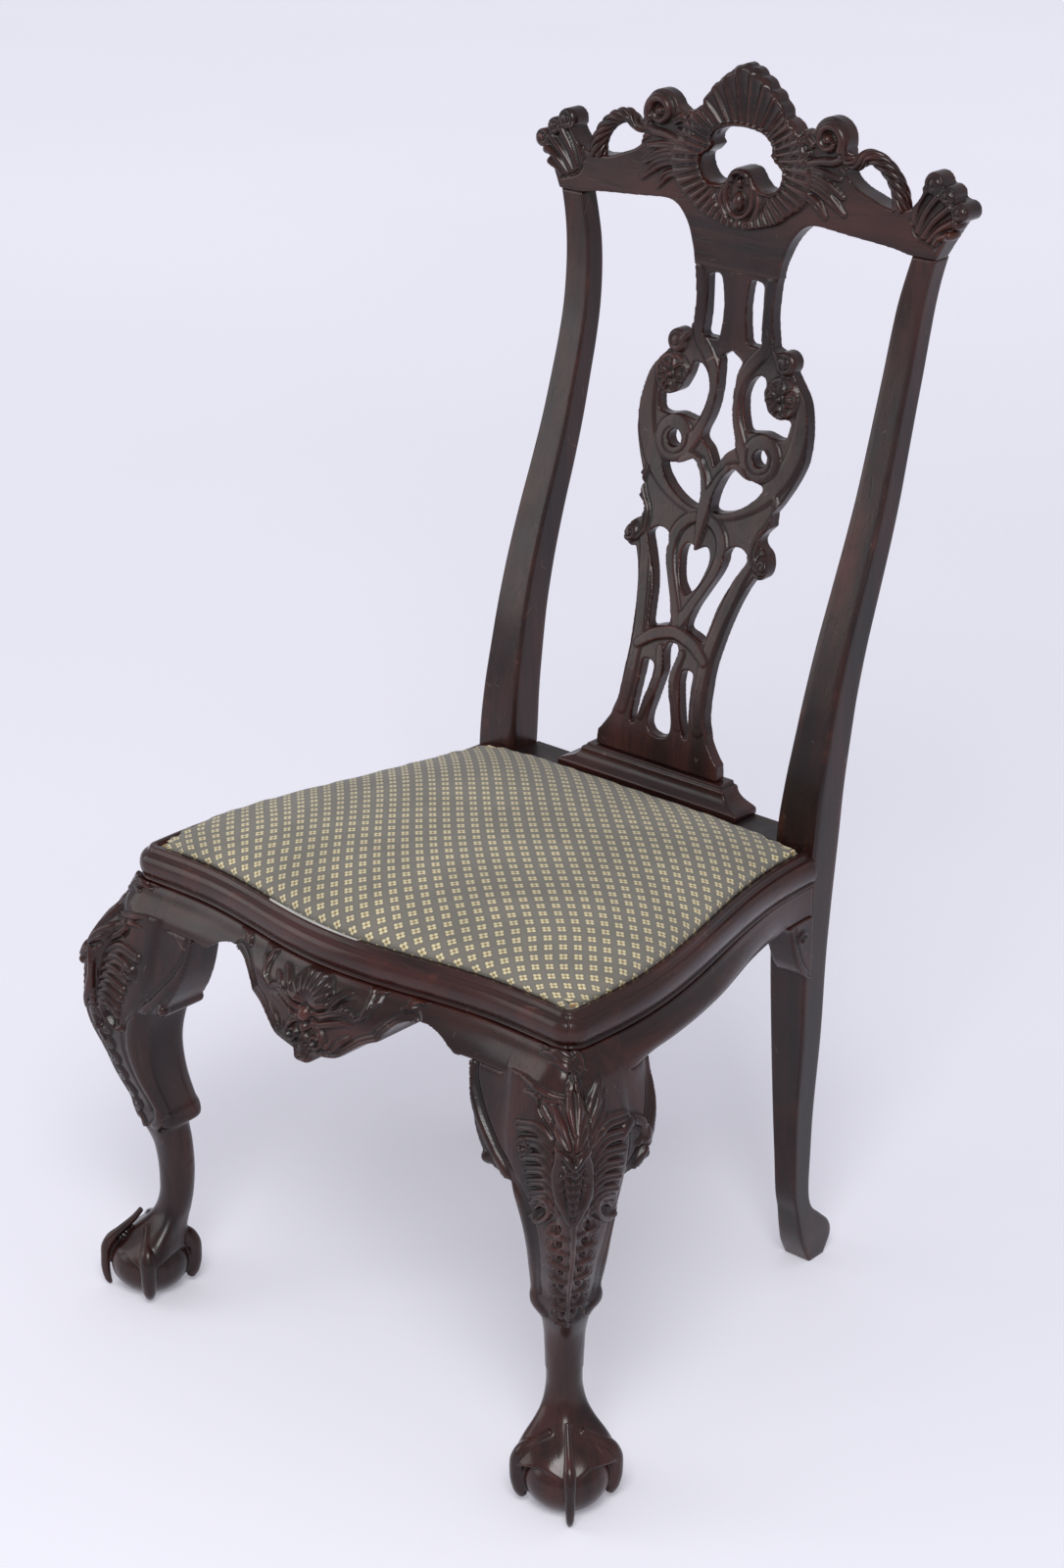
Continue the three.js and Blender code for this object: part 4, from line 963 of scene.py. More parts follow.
@dataclass(frozen=True)
class Finish:
    """A finish with a slot name; a kind of finish says how its shader is wired."""

    name: str
    slot: str

    def material(self) -> bpy.types.Material:
        """The finish's material, built once."""
        found = bpy.data.materials.get(self.name)
        if found:
            return found
        made = bpy.data.materials.new(self.name)
        made.use_nodes = True
        tree = made.node_tree
        tree.nodes.clear()
        end = tree.nodes.new("ShaderNodeOutputMaterial")
        shader = tree.nodes.new("ShaderNodeBsdfPrincipled")
        tree.links.new(shader.outputs[0], end.inputs[0])
        self.wire(Desk(tree), shader)
        return made

    def wire(self, desk: Desk, shader: bpy.types.Node) -> None:
        """Wires the finish's own nodes to the shader."""
        raise NotImplementedError


@dataclass(frozen=True)
class Polished(Finish):
    """Dark stained and polished hardwood."""

    deep: Colour = (25, 12, 12)
    light: Colour = (60, 29, 25)
    rub: Colour = (86, 43, 31)
    pore: Colour = (10, 6, 6)
    dirt: Colour = (14, 11, 10)
    scratch: Colour = (140, 118, 104)
    along: Colour = (1.0, 1.0, 0.08)
    stretch: float = 12.0
    worn: float = 0.36
    gloss: float = 0.25
    coat: float = 0.22

    def wire(self, desk: Desk, shader: bpy.types.Node) -> None:
        """Grain under a stain, with rubbed edges, dirt and a worn polish."""
        where = desk.place()
        proud = desk.node("ShaderNodeAttribute", {"attribute_name": "proud"}).outputs["Fac"]
        grain = desk.use(
            grain_group(), Place=where, Along=tuple(self.stretch * share for share in self.along)
        )
        wear = desk.use(wear_group(), Place=where, Proud=proud, Amount=self.worn)
        colour = desk.mix(
            desk.ramp(grain["Figure"], 0.3, 0.72), linear(*self.deep), linear(*self.light)
        )
        cloud = desk.ramp(grain["Clouds"], 0.35, 0.7, 0.72, 1.2)
        colour = desk.mix(1.0, colour, desk.grey(cloud), "MULTIPLY")
        colour = desk.mix(desk.maths("MULTIPLY", grain["Pores"], 0.45), colour, linear(*self.pore))
        colour = desk.mix(wear["Rubbed"], colour, linear(*self.rub))
        colour = desk.mix(desk.maths("MULTIPLY", wear["Dirt"], 0.6), colour, linear(*self.dirt))
        colour = desk.mix(
            desk.maths("MULTIPLY", wear["Scratches"], 0.35), colour, linear(*self.scratch)
        )
        smear = desk.ramp(wear["Smears"], 0.3, 0.75, self.gloss - 0.07, self.gloss + 0.14)
        dull = desk.maths("MULTIPLY", wear["Dirt"], 0.22)
        rough = desk.maths("ADD", smear, dull, clamp=True)
        desk.fill(shader, Base_Color=colour, Roughness=rough, Coat_Weight=self.coat)
        desk.fill(shader, Coat_Roughness=0.19, Specular_IOR_Level=0.28)
        pits = desk.maths("MULTIPLY", grain["Pores"], -0.6)
        uneven = desk.maths("ADD", pits, desk.maths("MULTIPLY", wear["Smears"], 0.6))
        desk.bumps(shader, uneven, 0.18, 0.0006)


@dataclass(frozen=True)
class Sawn(Finish):
    """Bare sawn hardwood of the hidden members."""

    light: Colour = (186, 152, 108)
    deep: Colour = (150, 112, 72)
    pore: Colour = (104, 72, 44)
    along: Colour = (0.08, 1.0, 1.0)
    stretch: float = 14.0

    def wire(self, desk: Desk, shader: bpy.types.Node) -> None:
        """Pale grain with saw marks."""
        along = tuple(self.stretch * share for share in self.along)
        grain = desk.use(grain_group(), Place=desk.place(), Along=along)
        colour = desk.mix(
            desk.ramp(grain["Figure"], 0.3, 0.7), linear(*self.deep), linear(*self.light)
        )
        colour = desk.mix(desk.maths("MULTIPLY", grain["Pores"], 0.4), colour, linear(*self.pore))
        desk.fill(
            shader, Base_Color=colour, Roughness=desk.ramp(grain["Clouds"], 0.3, 0.7, 0.62, 0.82)
        )
        desk.bumps(shader, grain["Figure"], 0.4, 0.0005)


@dataclass(frozen=True)
class Cloth(Finish):
    """Plain woven cloth."""

    colour: Colour = (150, 140, 110)
    threads: float = 900.0
    fuzz: float = 0.3

    def wire(self, desk: Desk, shader: bpy.types.Node) -> None:
        """A plain weave with uneven dye, and painted shade between the threads."""
        where = desk.place()
        weave = desk.use(weave_group(), Place=where, Threads=self.threads)
        tone = desk.ramp(desk.noise(where, 30.0, 4.0), 0.3, 0.7, 0.82, 1.12)
        # grey multiplies the uneven dye by the weave's painted shade between the threads.
        grey = desk.grey(desk.maths("MULTIPLY", tone, weave["Shade"]))
        rough = desk.ramp(weave["Height"], 0.0, 1.0, 0.95, 0.8)
        colour = desk.mix(1.0, linear(*self.colour), grey, "MULTIPLY")
        desk.fill(shader, Base_Color=colour, Roughness=rough, Sheen_Weight=self.fuzz)
        desk.bumps(shader, weave["Height"], 0.7, 0.0004)


@dataclass(frozen=True)
class Brocade(Finish):
    """Seat cloth: small cream sprigs in staggered rows on grey-taupe."""

    ground: Colour = (124, 119, 109)
    petal: Colour = (222, 210, 168)
    heart: Colour = (128, 100, 52)
    rim: Colour = (84, 72, 52)
    pitch: float = 0.0123
    threads: float = 1500.0

    def wire(self, desk: Desk, shader: bpy.types.Node) -> None:
        """Ribbed ground with four-petalled sprigs, and painted shade between the threads."""
        where = desk.node("ShaderNodeUVMap", {"uv_map": "cloth"}).outputs[0]
        sprig = desk.use(sprig_group(), Place=where, Pitch=self.pitch)
        weave = desk.use(weave_group(), Place=where, Threads=self.threads)
        tone = desk.ramp(desk.noise(desk.place(), 16.0, 4.0), 0.3, 0.72, 0.86, 1.1)
        # grey multiplies the uneven dye by the weave's painted shade between the threads.
        grey = desk.grey(desk.maths("MULTIPLY", tone, weave["Shade"]))
        colour = desk.mix(
            desk.maths("MULTIPLY", sprig["Rim"], 0.55), linear(*self.ground), linear(*self.rim)
        )
        colour = desk.mix(sprig["Petal"], colour, linear(*self.petal))
        colour = desk.mix(sprig["Heart"], colour, linear(*self.heart))
        rough = desk.ramp(sprig["Petal"], 0.0, 1.0, 0.82, 0.6)
        colour = desk.mix(1.0, colour, grey, "MULTIPLY")
        desk.fill(shader, Base_Color=colour, Roughness=rough, Sheen_Weight=0.15)
        raised = desk.maths("ADD", sprig["Petal"], desk.maths("MULTIPLY", weave["Height"], 0.5))
        desk.bumps(shader, raised, 0.6, 0.0005)


@cache
def sprig_group() -> bpy.types.NodeTree:
    """Four-petalled sprigs on a lattice turned by an eighth, as masks."""
    tree, desk, takes, gives = effect(
        "sprig lattice",
        [("Place", "place"), ("Pitch", "value")],
        [("Petal", "value"), ("Heart", "value"), ("Rim", "value")],
    )
    parts = desk.node("ShaderNodeSeparateXYZ", Vector=takes["Place"])
    cell = []
    for kind in ("ADD", "SUBTRACT"):
        turned = desk.maths(
            "MULTIPLY", desk.maths(kind, parts.outputs[0], parts.outputs[1]), HALF_ROOT
        )
        whole = desk.maths("FRACT", desk.maths("DIVIDE", turned, takes["Pitch"]))
        cell.append(desk.maths("SUBTRACT", whole, 0.5))
    squares = [desk.maths("POWER", desk.maths("ABSOLUTE", value), 2.0) for value in cell]
    reach = desk.maths("SQRT", desk.maths("ADD", *squares))
    turn = desk.maths("ARCTAN2", cell[1], cell[0])
    lobes = desk.maths("ABSOLUTE", desk.maths("SINE", desk.maths("MULTIPLY", turn, 2.0)))
    edge = desk.maths("ADD", desk.maths("MULTIPLY", desk.maths("POWER", lobes, 0.8), 0.21), 0.15)
    inside = desk.maths("SUBTRACT", edge, reach)
    desk.feed(gives["Petal"], desk.ramp(inside, -0.02, 0.04))
    split = desk.maths("MULTIPLY", desk.ramp(lobes, 0.34, 0.1), desk.ramp(inside, -0.03, 0.02))
    middle = desk.ramp(reach, 0.13, 0.07)
    desk.feed(gives["Heart"], desk.maths("MAXIMUM", middle, desk.maths("MULTIPLY", split, 0.45)))
    desk.feed(gives["Rim"], desk.ramp(inside, -0.12, -0.01))
    return tree


@dataclass(frozen=True)
class Metal(Finish):
    """Plain old steel of the block screws."""

    colour: Colour = (118, 112, 104)
    rust: Colour = (92, 60, 38)

    def wire(self, desk: Desk, shader: bpy.types.Node) -> None:
        """Dull steel with brown spots."""
        spots = desk.ramp(desk.noise(desk.place(), 420.0, 4.0), 0.45, 0.7)
        colour = desk.mix(spots, linear(*self.colour), linear(*self.rust))
        bare, rough = desk.ramp(spots, 0.0, 1.0, 1.0, 0.3), desk.ramp(spots, 0.0, 1.0, 0.35, 0.8)
        desk.fill(shader, Base_Color=colour, Metallic=bare, Roughness=rough)


UPRIGHT = Polished("mahogany upright", "mahogany", along=(1.0, 1.0, 0.07))
LEG = Polished("mahogany leg", "mahogany", along=(1.0, 1.0, 0.07), worn=0.32)
CROSSWISE = Polished("mahogany across", "mahogany", along=(0.07, 1.0, 1.0), worn=0.55)
LENGTHWISE = Polished("mahogany along the side", "mahogany", along=(1.0, 0.07, 1.0))
CREST_WOOD = Polished("mahogany crest", "mahogany", along=(0.07, 1.0, 1.0), worn=0.42)
SPLAT_WOOD = Polished(
    "mahogany splat", "mahogany", along=(1.0, 1.0, 0.07), light=(58, 30, 27), worn=0.5
)
BEECH_ACROSS = Sawn("beech across", "beech")
BEECH_ALONG = Sawn("beech along", "beech", along=(1.0, 0.08, 1.0))
STRAP = Cloth("jute webbing", "webbing", colour=(168, 149, 114), threads=520.0)
SACKING = Cloth("hessian", "hessian", colour=(150, 124, 82), threads=420.0)
WADDING = Cloth("cotton wadding", "wadding", colour=(226, 220, 206), threads=160.0, fuzz=0.6)
LINING = Cloth("black lining", "lining", colour=(44, 41, 36), threads=900.0)
EDGING = Cloth("calico edging", "lining", colour=(206, 203, 198), threads=1100.0)
SEAT_CLOTH = Brocade("seat cloth", "fabric")
STEEL = Metal("old steel", "steel")


# --------------------------------------------------------------------------- back


def clean_loop(loop: np.ndarray, least: float = 0.08) -> np.ndarray:
    """The loop without points that lie on each other."""
    keep = np.linalg.norm(loop - np.roll(loop, 1, axis=0), axis=1) > least
    return loop[keep]


def scalloped(points: Rows, bulge: float) -> np.ndarray:
    """An edge of small outward arcs between points."""
    spots = np.asarray(points, float)
    share = np.linspace(0, 1, 9)[:-1, None]
    runs = []
    for start, end in zip(spots[:-1], spots[1:]):
        way = end - start
        normal = np.array([-way[1], way[0]]) / np.linalg.norm(way)
        runs.append(start + way * share - normal * bulge * np.sin(np.pi * share) ** 0.7)
    return np.vstack([*runs, spots[-1:]])


def faced(
    shape: Shape, thick: float, front: Callable, deep: Callable, height: Callable,
    stand: Bent = Bent.ACROSS
) -> Shape:
    """Bends a flat board to its faces and carves its front.

    Args:
        shape: board with its front at depth 0.
        thick: its flat thickness.
        front: front face at (across, up).
        deep: real thickness at (across, up).
        height: carved height at an array of (across, up) places.
        stand: which axis the board's depth runs along.
    Returns:
        The carved board.
    """
    points = shape.points.copy()
    axis, along = (1, 0) if stand is Bent.ACROSS else (0, 1)
    across, depth, up = points[:, along], points[:, axis], points[:, 2]
    share = np.clip(1 - np.maximum(depth, 0) / (0.5 * thick), 0, 1)
    carved = np.zeros(len(points))
    on_face = share > 0
    carved[on_face] = height(np.stack([across[on_face], up[on_face]], axis=1)) * share[on_face]
    sign = 1 if stand is Bent.ACROSS else -1
    points[:, axis] = front(across, up) + sign * (depth * deep(across, up) / thick - carved)
    return Shape(points, shape.faces)


CREST_UNDER = (
    (0.184, 0), (0.192, 0.06), (0.202, 0.1), (0.216, 0.15), (0.24, 0.2), (0.28, 0.247),
    (0.335, 0.262), (0.46, 0.25), (0.64, 0.233), (0.72, 0.217), (0.822, 0.217),
)
EAR_EDGE = ((0.836, 0.255), (0.862, 0.32), (0.884, 0.365))
EAR_ROLLS = (
    (0.902, 0.43, 0.0425, -100, 95), (0.848, 0.492, 0.04, -20, 115), (0.792, 0.53, 0.05, 20, 225)
)
CREST_DIP = (
    (0.745, 0.455), (0.71, 0.415), (0.66, 0.395), (0.6, 0.4), (0.54, 0.425), (0.48, 0.455),
    (0.445, 0.495), (0.44, 0.54),
)
CREST_VOLUTE = (0.366, 0.64, 0.0925, -20, 160)
SHELL_NOTCHES = (
    (66, 1020), (57.5, 1019.5), (43.5, 1030), (37, 1042.5), (27.5, 1052), (16, 1061.5), (5.5, 1068)
)
SHELL_HOLE = (
    (0, 0.626), (0.05, 0.622), (0.098, 0.604), (0.126, 0.574), (0.132, 0.548), (0.124, 0.53),
    (0.146, 0.5), (0.174, 0.478), (0.178, 0.45), (0.168, 0.408), (0.142, 0.374), (0.106, 0.368),
    (0.08, 0.374), (0.06, 0.396), (0.046, 0.426), (0.028, 0.449), (0, 0.455),
)
CREST_FRONT = (
    (-0.02, -0.36), (0.01, -0.43), (0.06, -0.4), (0.35, 0), (0.55, 0.2), (0.7, 0.35), (0.95, 0.55)
)
CREST_DEPTH = (
    (-0.02, 0.54), (0.06, 0.56), (0.22, 0.8), (0.35, 0.98), (0.55, 0.75), (0.7, 0.6), (0.95, 0.42)
)
CREST_CROWN = ((3.5, 1070.2), (0, 1071))
SHELL_OUTER = (
    (0, 7, 17.4, 27.3, 37, 52.7, 64, 80, 92, 103, 114.5, 126, 137, 150.5, 160, 180),
    (82, 79.6, 74, 70.5, 66.6, 63, 68, 71, 78, 78, 74.7, 68, 65.8, 60.9, 59.5, 58),
)
SHELL_INNER = (
    (0, 24, 45, 60, 69, 74, 85, 92, 99, 110, 122, 131, 142, 155, 180),
    (29, 30, 35, 37, 36, 33.5, 37.5, 44.5, 46, 46, 43, 38, 44, 49, 51),
)
EAR_REEDS = (
    ((180, 961), (192, 992)), ((185, 955), (204, 988)), ((190.5, 951), (216, 980)),
    ((196.5, 948.5), (221, 969)), ((202.5, 947), (216, 957)),
)
EAR_BALLS = ((199, 997, 8.6), (213, 989, 7), (225.5, 977, 7.5), (222, 967, 5.6), (217, 957, 4.8))
SPRAY_LEAVES = (
    ((46, 998), (55, 1003), (62, 1011)), ((43, 1006), (50, 1013), (55, 1020)),
    ((50, 990), (60, 994), (70, 1004)), ((60, 1012), (67, 1016), (74, 1012)),
)
ROPE = (
    (0.66, 0.39), (0.655, 0.45), (0.625, 0.52), (0.575, 0.573), (0.52, 0.59), (0.47, 0.555),
    (0.42, 0.57)
)


@dataclass
class Crest:
    """The crest rail, with its pierced shell, volutes, ears and rope loops."""

    half: float = 250.0
    blank: float = 200.0
    foot: float = 891.0
    thick: float = 23.0
    lean: float = 10.0
    grain: float = 1.0
    rope: float = 6.6
    twist: float = 62.0
    shell: Pair = (0.0, 988.0)

    def at(self, shares: Rows) -> np.ndarray:
        """Shares of the blank as points."""
        return sized(shares, self.half, self.blank, self.foot)

    def outline(self) -> np.ndarray:
        """The closed outline of the crest rail."""
        rolls = [
            arc(x * self.half, self.foot + z * self.blank, r * self.blank, start, end)
            for x, z, r, start, end in (*EAR_ROLLS, CREST_VOLUTE)
        ]
        runs = [
            [(0, self.foot)], spline(self.at(CREST_UNDER), 5), spline(self.at(EAR_EDGE), 4),
            *rolls[:3],
            spline(self.at(CREST_DIP), 5), rolls[3], scalloped(SHELL_NOTCHES, 2.6), CREST_CROWN,
        ]
        return clean_loop(mirrored_loop(np.vstack(runs)))

    def hole(self) -> np.ndarray:
        """The hole through the shell."""
        return clean_loop(mirrored_loop(spline(self.at(SHELL_HOLE), 5)))

    def front(self, x: np.ndarray, z: np.ndarray) -> np.ndarray:
        """Front face's y."""
        up = (z - self.foot) / self.blank
        return BACK_FRONT + BACK_LEAN + self.lean * table(CREST_FRONT, up)

    def deep(self, x: np.ndarray, z: np.ndarray) -> np.ndarray:
        """Thickness."""
        up = (z - self.foot) / self.blank
        return self.thick * table(CREST_DEPTH, up)

    def carve_shell(self, relief: Relief) -> None:
        """Flutes that fan from the shell's middle, with a lifted rim."""
        x, z = relief.places[:, 0], relief.places[:, 1]
        turn = np.degrees(np.arctan2(x, z - self.shell[1]))
        reach = np.hypot(x, z - self.shell[1])
        outer, inner = np.interp(turn, *SHELL_OUTER), np.interp(turn, *SHELL_INNER)
        share = (reach - inner) / (outer - inner)
        inside = (share > 0) & (share < 1)
        count = np.where(turn < 42, turn / 12, 42 / 12 + (turn - 42) / 7.4)
        wave = np.abs(((count + 0.5) % 1) * 2 - 1)
        channel = 0.2 + 4.6 * wave**3
        ridge = 0.4 + 4.0 * np.sqrt(np.clip(1 - wave**2, 0, 1))
        top = eased(50, 40, turn)
        wave = wave + 0.12 * np.sin(share * 3.0) * (1 - top)
        fullness = np.sin(np.pi * np.clip(share, 0.001, 1) ** 0.85) ** 0.4
        body = (channel * top + ridge * (1 - top)) * fullness
        rim = np.clip((1 - share) / 0.09, 0, 1) ** 0.5
        lip = (5.2 * top + 3.0 * (1 - top)) * np.clip(share, 0, 1) ** 3
        height = (body + lip) * rim
        relief.height[inside] = np.maximum(relief.height[inside], height[inside])

    def carve(self, relief: Relief) -> None:
        """All the carving of the crest rail."""
        relief.edge(self.outline(), ((0, -0.9), (0.8, -0.2), (1.8, 0)))
        self.carve_shell(relief)
        relief.edge(self.hole(), ((0, 0.4), (0.8, 2.4), (2.0, 3.2), (3.2, 2.2), (4.0, 0)))
        relief.stroke(
            [(11, 974), (14.5, 963), (13.5, 951), (8, 942), (0, 939)], (2.4, 3, 3, 2.8, 2.8),
            (3.4, 4.6, 4.8, 4.6, 4.4)
        )
        relief.stroke(
            [(18, 964), (20.5, 953), (17, 942), (9, 934.5), (0, 932.5)], (2, 2.8, 2.8, 2.6, 2.6),
            (2.6, 3.6, 3.6, 3.2, 3)
        )
        relief.dome((0, 953), (6.4, 8.8), 8)
        relief.stroke([(9, 970), (8, 976), (0, 980)], (2.4, 3, 3.4), (4.4, 6, 7))
        relief.dome((0, 969), (3.6, 5), 5.5)
        self.carve_sprays(relief)
        self.carve_ears(relief)

    def carve_sprays(self, relief: Relief) -> None:
        """Volutes and leaf sprays beside the shell."""
        relief.spiral((91.5, 1018.5), (14.0, 6.4), (-30, 330), (5.4, 3.2), (6, 6.6))
        relief.dome((90.5, 1019), (5.2, 5.2), 8.4)
        relief.stroke(
            [(58, 972), (58, 984), (68, 994), (84, 999), (99, 1001), (109, 1009)],
            (2.4, 3.6, 4.2, 4.2, 4.2, 3.8), (2.4, 3.8, 4.2, 4, 3.8, 3.6)
        )
        for start, bends, tip, wide in (
            ((58, 986), ((68, 990), (82, 991)), (104, 987), 3.4),
            ((60, 979), ((73, 985), (90, 982)), (108, 972), 4.4),
            ((61, 972), ((75, 977), (92, 972)), (110, 958), 5.4),
            ((60, 965), ((70, 968), (81, 964)), (91, 953), 4.6),
        ):
            relief.stroke(
                [start, *bends, tip], (1.6, wide * 0.9, wide, 2.4), (2.6, 5, 5.8, 3), Cut.LEAF
            )
        for places in SPRAY_LEAVES:
            relief.stroke(places, (2.4, 4.4, 3.4), (3, 6, 5), Cut.LEAF)
        relief.dome((123, 1003), (6, 6), 7)
        relief.spiral((128, 988), (6.5, 2.5), (200, -120), (2.4, 1.6), (3, 3.6))
        relief.stroke(
            [(104, 996), (113, 991), (122, 985), (130, 982)], (2, 3, 3, 1.6), (2, 3.2, 3, 1.4),
            Cut.LEAF
        )

    def carve_ears(self, relief: Relief) -> None:
        """Reeds that run up each ear into its rolls."""
        for start, tip in EAR_REEDS:
            middle = ((start[0] + tip[0]) / 2 - 1.6, (start[1] + tip[1]) / 2 + 1.2)
            relief.stroke([start, middle, tip], (2.4, 3.3, 3.8), (1.8, 4.4, 5.4))
        relief.stroke([(178, 965), (184.5, 952), (203, 944.5)], (1.6, 2, 1.6), (-1.2, -2, -1.4))
        for x, z, radius in ((199, 997, 10), (213, 989, 8.4), (226, 977, 9)):
            relief.dome((x, z), (radius, radius), 5)
            relief.spiral((x, z), (radius * 0.72, 1.6), (30, 330), (1.3, 1), (-2, -1.8), Cut.SOFT)

    def loop(self) -> Shape:
        """The twisted rope of the right loop."""
        spots = self.at(ROPE)
        y = BACK_FRONT + BACK_LEAN + self.rope - 1.0
        path = spline([(x, y, z) for x, z in spots], 16)
        side = np.cross(headings(path), BACKWARD)
        gone = travelled(path)
        swell = np.interp(np.linspace(0, 1, len(path)), (0, 0.3, 0.8, 1), (1.35, 1.15, 1.0, 1.05))
        strands = [tube(path, self.rope * 0.8 * swell, 14)]
        for start in np.radians(range(0, 360, 60)):
            turn = start + gone / self.twist * 2 * np.pi
            offset = side * np.cos(turn)[:, None] + BACKWARD * np.sin(turn)[:, None]
            middle = path + offset * (self.rope * 0.66 * swell)[:, None]
            strands.append(tube(middle, self.rope * 0.36 * swell, 10))
        strands.append(ball(tuple(path[-1] + [0, -1.5, 0]), (6.4, 6.4, 6.4)))
        return strands[0].joined(*strands[1:])

    def build(self) -> None:
        """Builds, carves and places the crest rail."""
        blank = remeshed(board([self.outline(), self.hole()], 0, self.thick), self.grain)
        rail = faced(blank, self.thick, self.front, self.deep, both_halves(self.carve))
        rolls = [
            ball((x, float(self.front(np.array(x), np.array(z))) + 6, z), (r, 10, r))
            for x, z, r in EAR_BALLS
        ]
        right = self.loop().joined(*rolls)
        whole = rail.joined(right, right.turned_over())
        Piece("crest_rail_carved", whole, CREST_WOOD, ("crest_rail",), carved=True).place()


SPLAT_NECK = (
    (0.442, 0.888), (0.428, 0.855), (0.425, 0.838), (0.43, 0.818), (0.445, 0.798), (0.46, 0.78)
)
SCROLL_EDGE = (
    (0.735, 0.732), (0.835, 0.708), (0.885, 0.688), (0.922, 0.658), (0.94, 0.628), (0.935, 0.598),
    (0.91, 0.578), (0.86, 0.553), (0.81, 0.533), (0.76, 0.515), (0.72, 0.503),
)
LEAF_EDGE = (
    (0.735, 0.48), (0.66, 0.462), (0.67, 0.447), (0.76, 0.434), (0.805, 0.414), (0.79, 0.398),
    (0.735, 0.391), (0.67, 0.392),
)
STRAP_EDGE = (
    (0.61, 0.368), (0.56, 0.338), (0.515, 0.298), (0.49, 0.263), (0.473, 0.23), (0.477, 0.188),
    (0.485, 0.158), (0.5, 0.133), (0.535, 0.113), (0.56, 0.098), (0.647, 0.073), (0.69, 0.063),
)
SPLAT_HALF_HOLES = (
    (
        (0, 0.76), (0.12, 0.745), (0.11, 0.735), (0.095, 0.7), (0.1, 0.667), (0.13, 0.638),
        (0.19, 0.602), (0.09, 0.583), (0, 0.556)
    ),
    (
        (0, 0.412), (0.06, 0.419), (0.12, 0.419), (0.157, 0.402), (0.14, 0.378), (0.09, 0.352),
        (0, 0.334)
    ),
    (
        (0, 0.252), (0.05, 0.25), (0.077, 0.233), (0.042, 0.203), (0.047, 0.188), (0.09, 0.148),
        (0.127, 0.118), (0.127, 0.1), (0.08, 0.088), (0, 0.084)
    ),
)
SPLAT_SIDE_HOLES = (
    (
        (0.165, 0.893), (0.312, 0.889), (0.307, 0.855), (0.31, 0.815), (0.33, 0.776),
        (0.155, 0.776), (0.125, 0.815), (0.122, 0.845), (0.14, 0.875)
    ),
    (
        (0.4, 0.728), (0.3, 0.727), (0.23, 0.712), (0.195, 0.69), (0.2, 0.675), (0.22, 0.655),
        (0.275, 0.627), (0.48, 0.634), (0.62, 0.627), (0.71, 0.63), (0.74, 0.664), (0.62, 0.662),
        (0.5, 0.672), (0.43, 0.7)
    ),
    (
        (0.22, 0.565), (0.35, 0.551), (0.47, 0.546), (0.58, 0.543), (0.54, 0.527), (0.44, 0.508),
        (0.34, 0.495), (0.24, 0.486), (0.14, 0.481), (0.055, 0.483), (0.07, 0.515), (0.12, 0.543)
    ),
    (
        (0.44, 0.436), (0.52, 0.43), (0.575, 0.418), (0.49, 0.388), (0.415, 0.358), (0.365, 0.328),
        (0.335, 0.288), (0.315, 0.266), (0.2, 0.275), (0.1, 0.279), (0.1, 0.292), (0.135, 0.318),
        (0.21, 0.348), (0.285, 0.378), (0.317, 0.398), (0.31, 0.42), (0.35, 0.43)
    ),
    (
        (0.155, 0.21), (0.22, 0.215), (0.29, 0.213), (0.29, 0.188), (0.302, 0.158), (0.32, 0.123),
        (0.335, 0.096), (0.28, 0.096), (0.235, 0.122), (0.185, 0.163), (0.155, 0.188)
    ),
)
SPLAT_LEAN = (
    (-0.03, -0.02), (0.038, 0), (0.098, 0.025), (0.214, 0.15), (0.404, 0.49), (0.5, 0.64),
    (0.59, 0.763), (0.7, 0.868), (0.776, 0.924), (0.89, 0.945), (0.96, 0.95),
)


def rounded(loop: np.ndarray, radius: float) -> np.ndarray:
    """The closed loop with its corners eased."""
    before, after = np.roll(loop, 1, axis=0), np.roll(loop, -1, axis=0)
    runs = []
    for spot, one, two in zip(loop, before, after):
        back, ahead = one - spot, two - spot
        start = spot + back * min(radius / max(np.linalg.norm(back), TINY), 0.45)
        end = spot + ahead * min(radius / max(np.linalg.norm(ahead), TINY), 0.45)
        for share in (0, 0.25, 0.5, 0.75, 1):
            runs.append((1 - share) ** 2 * start + 2 * share * (1 - share) * spot + share**2 * end)
    return clean_loop(np.array(runs))


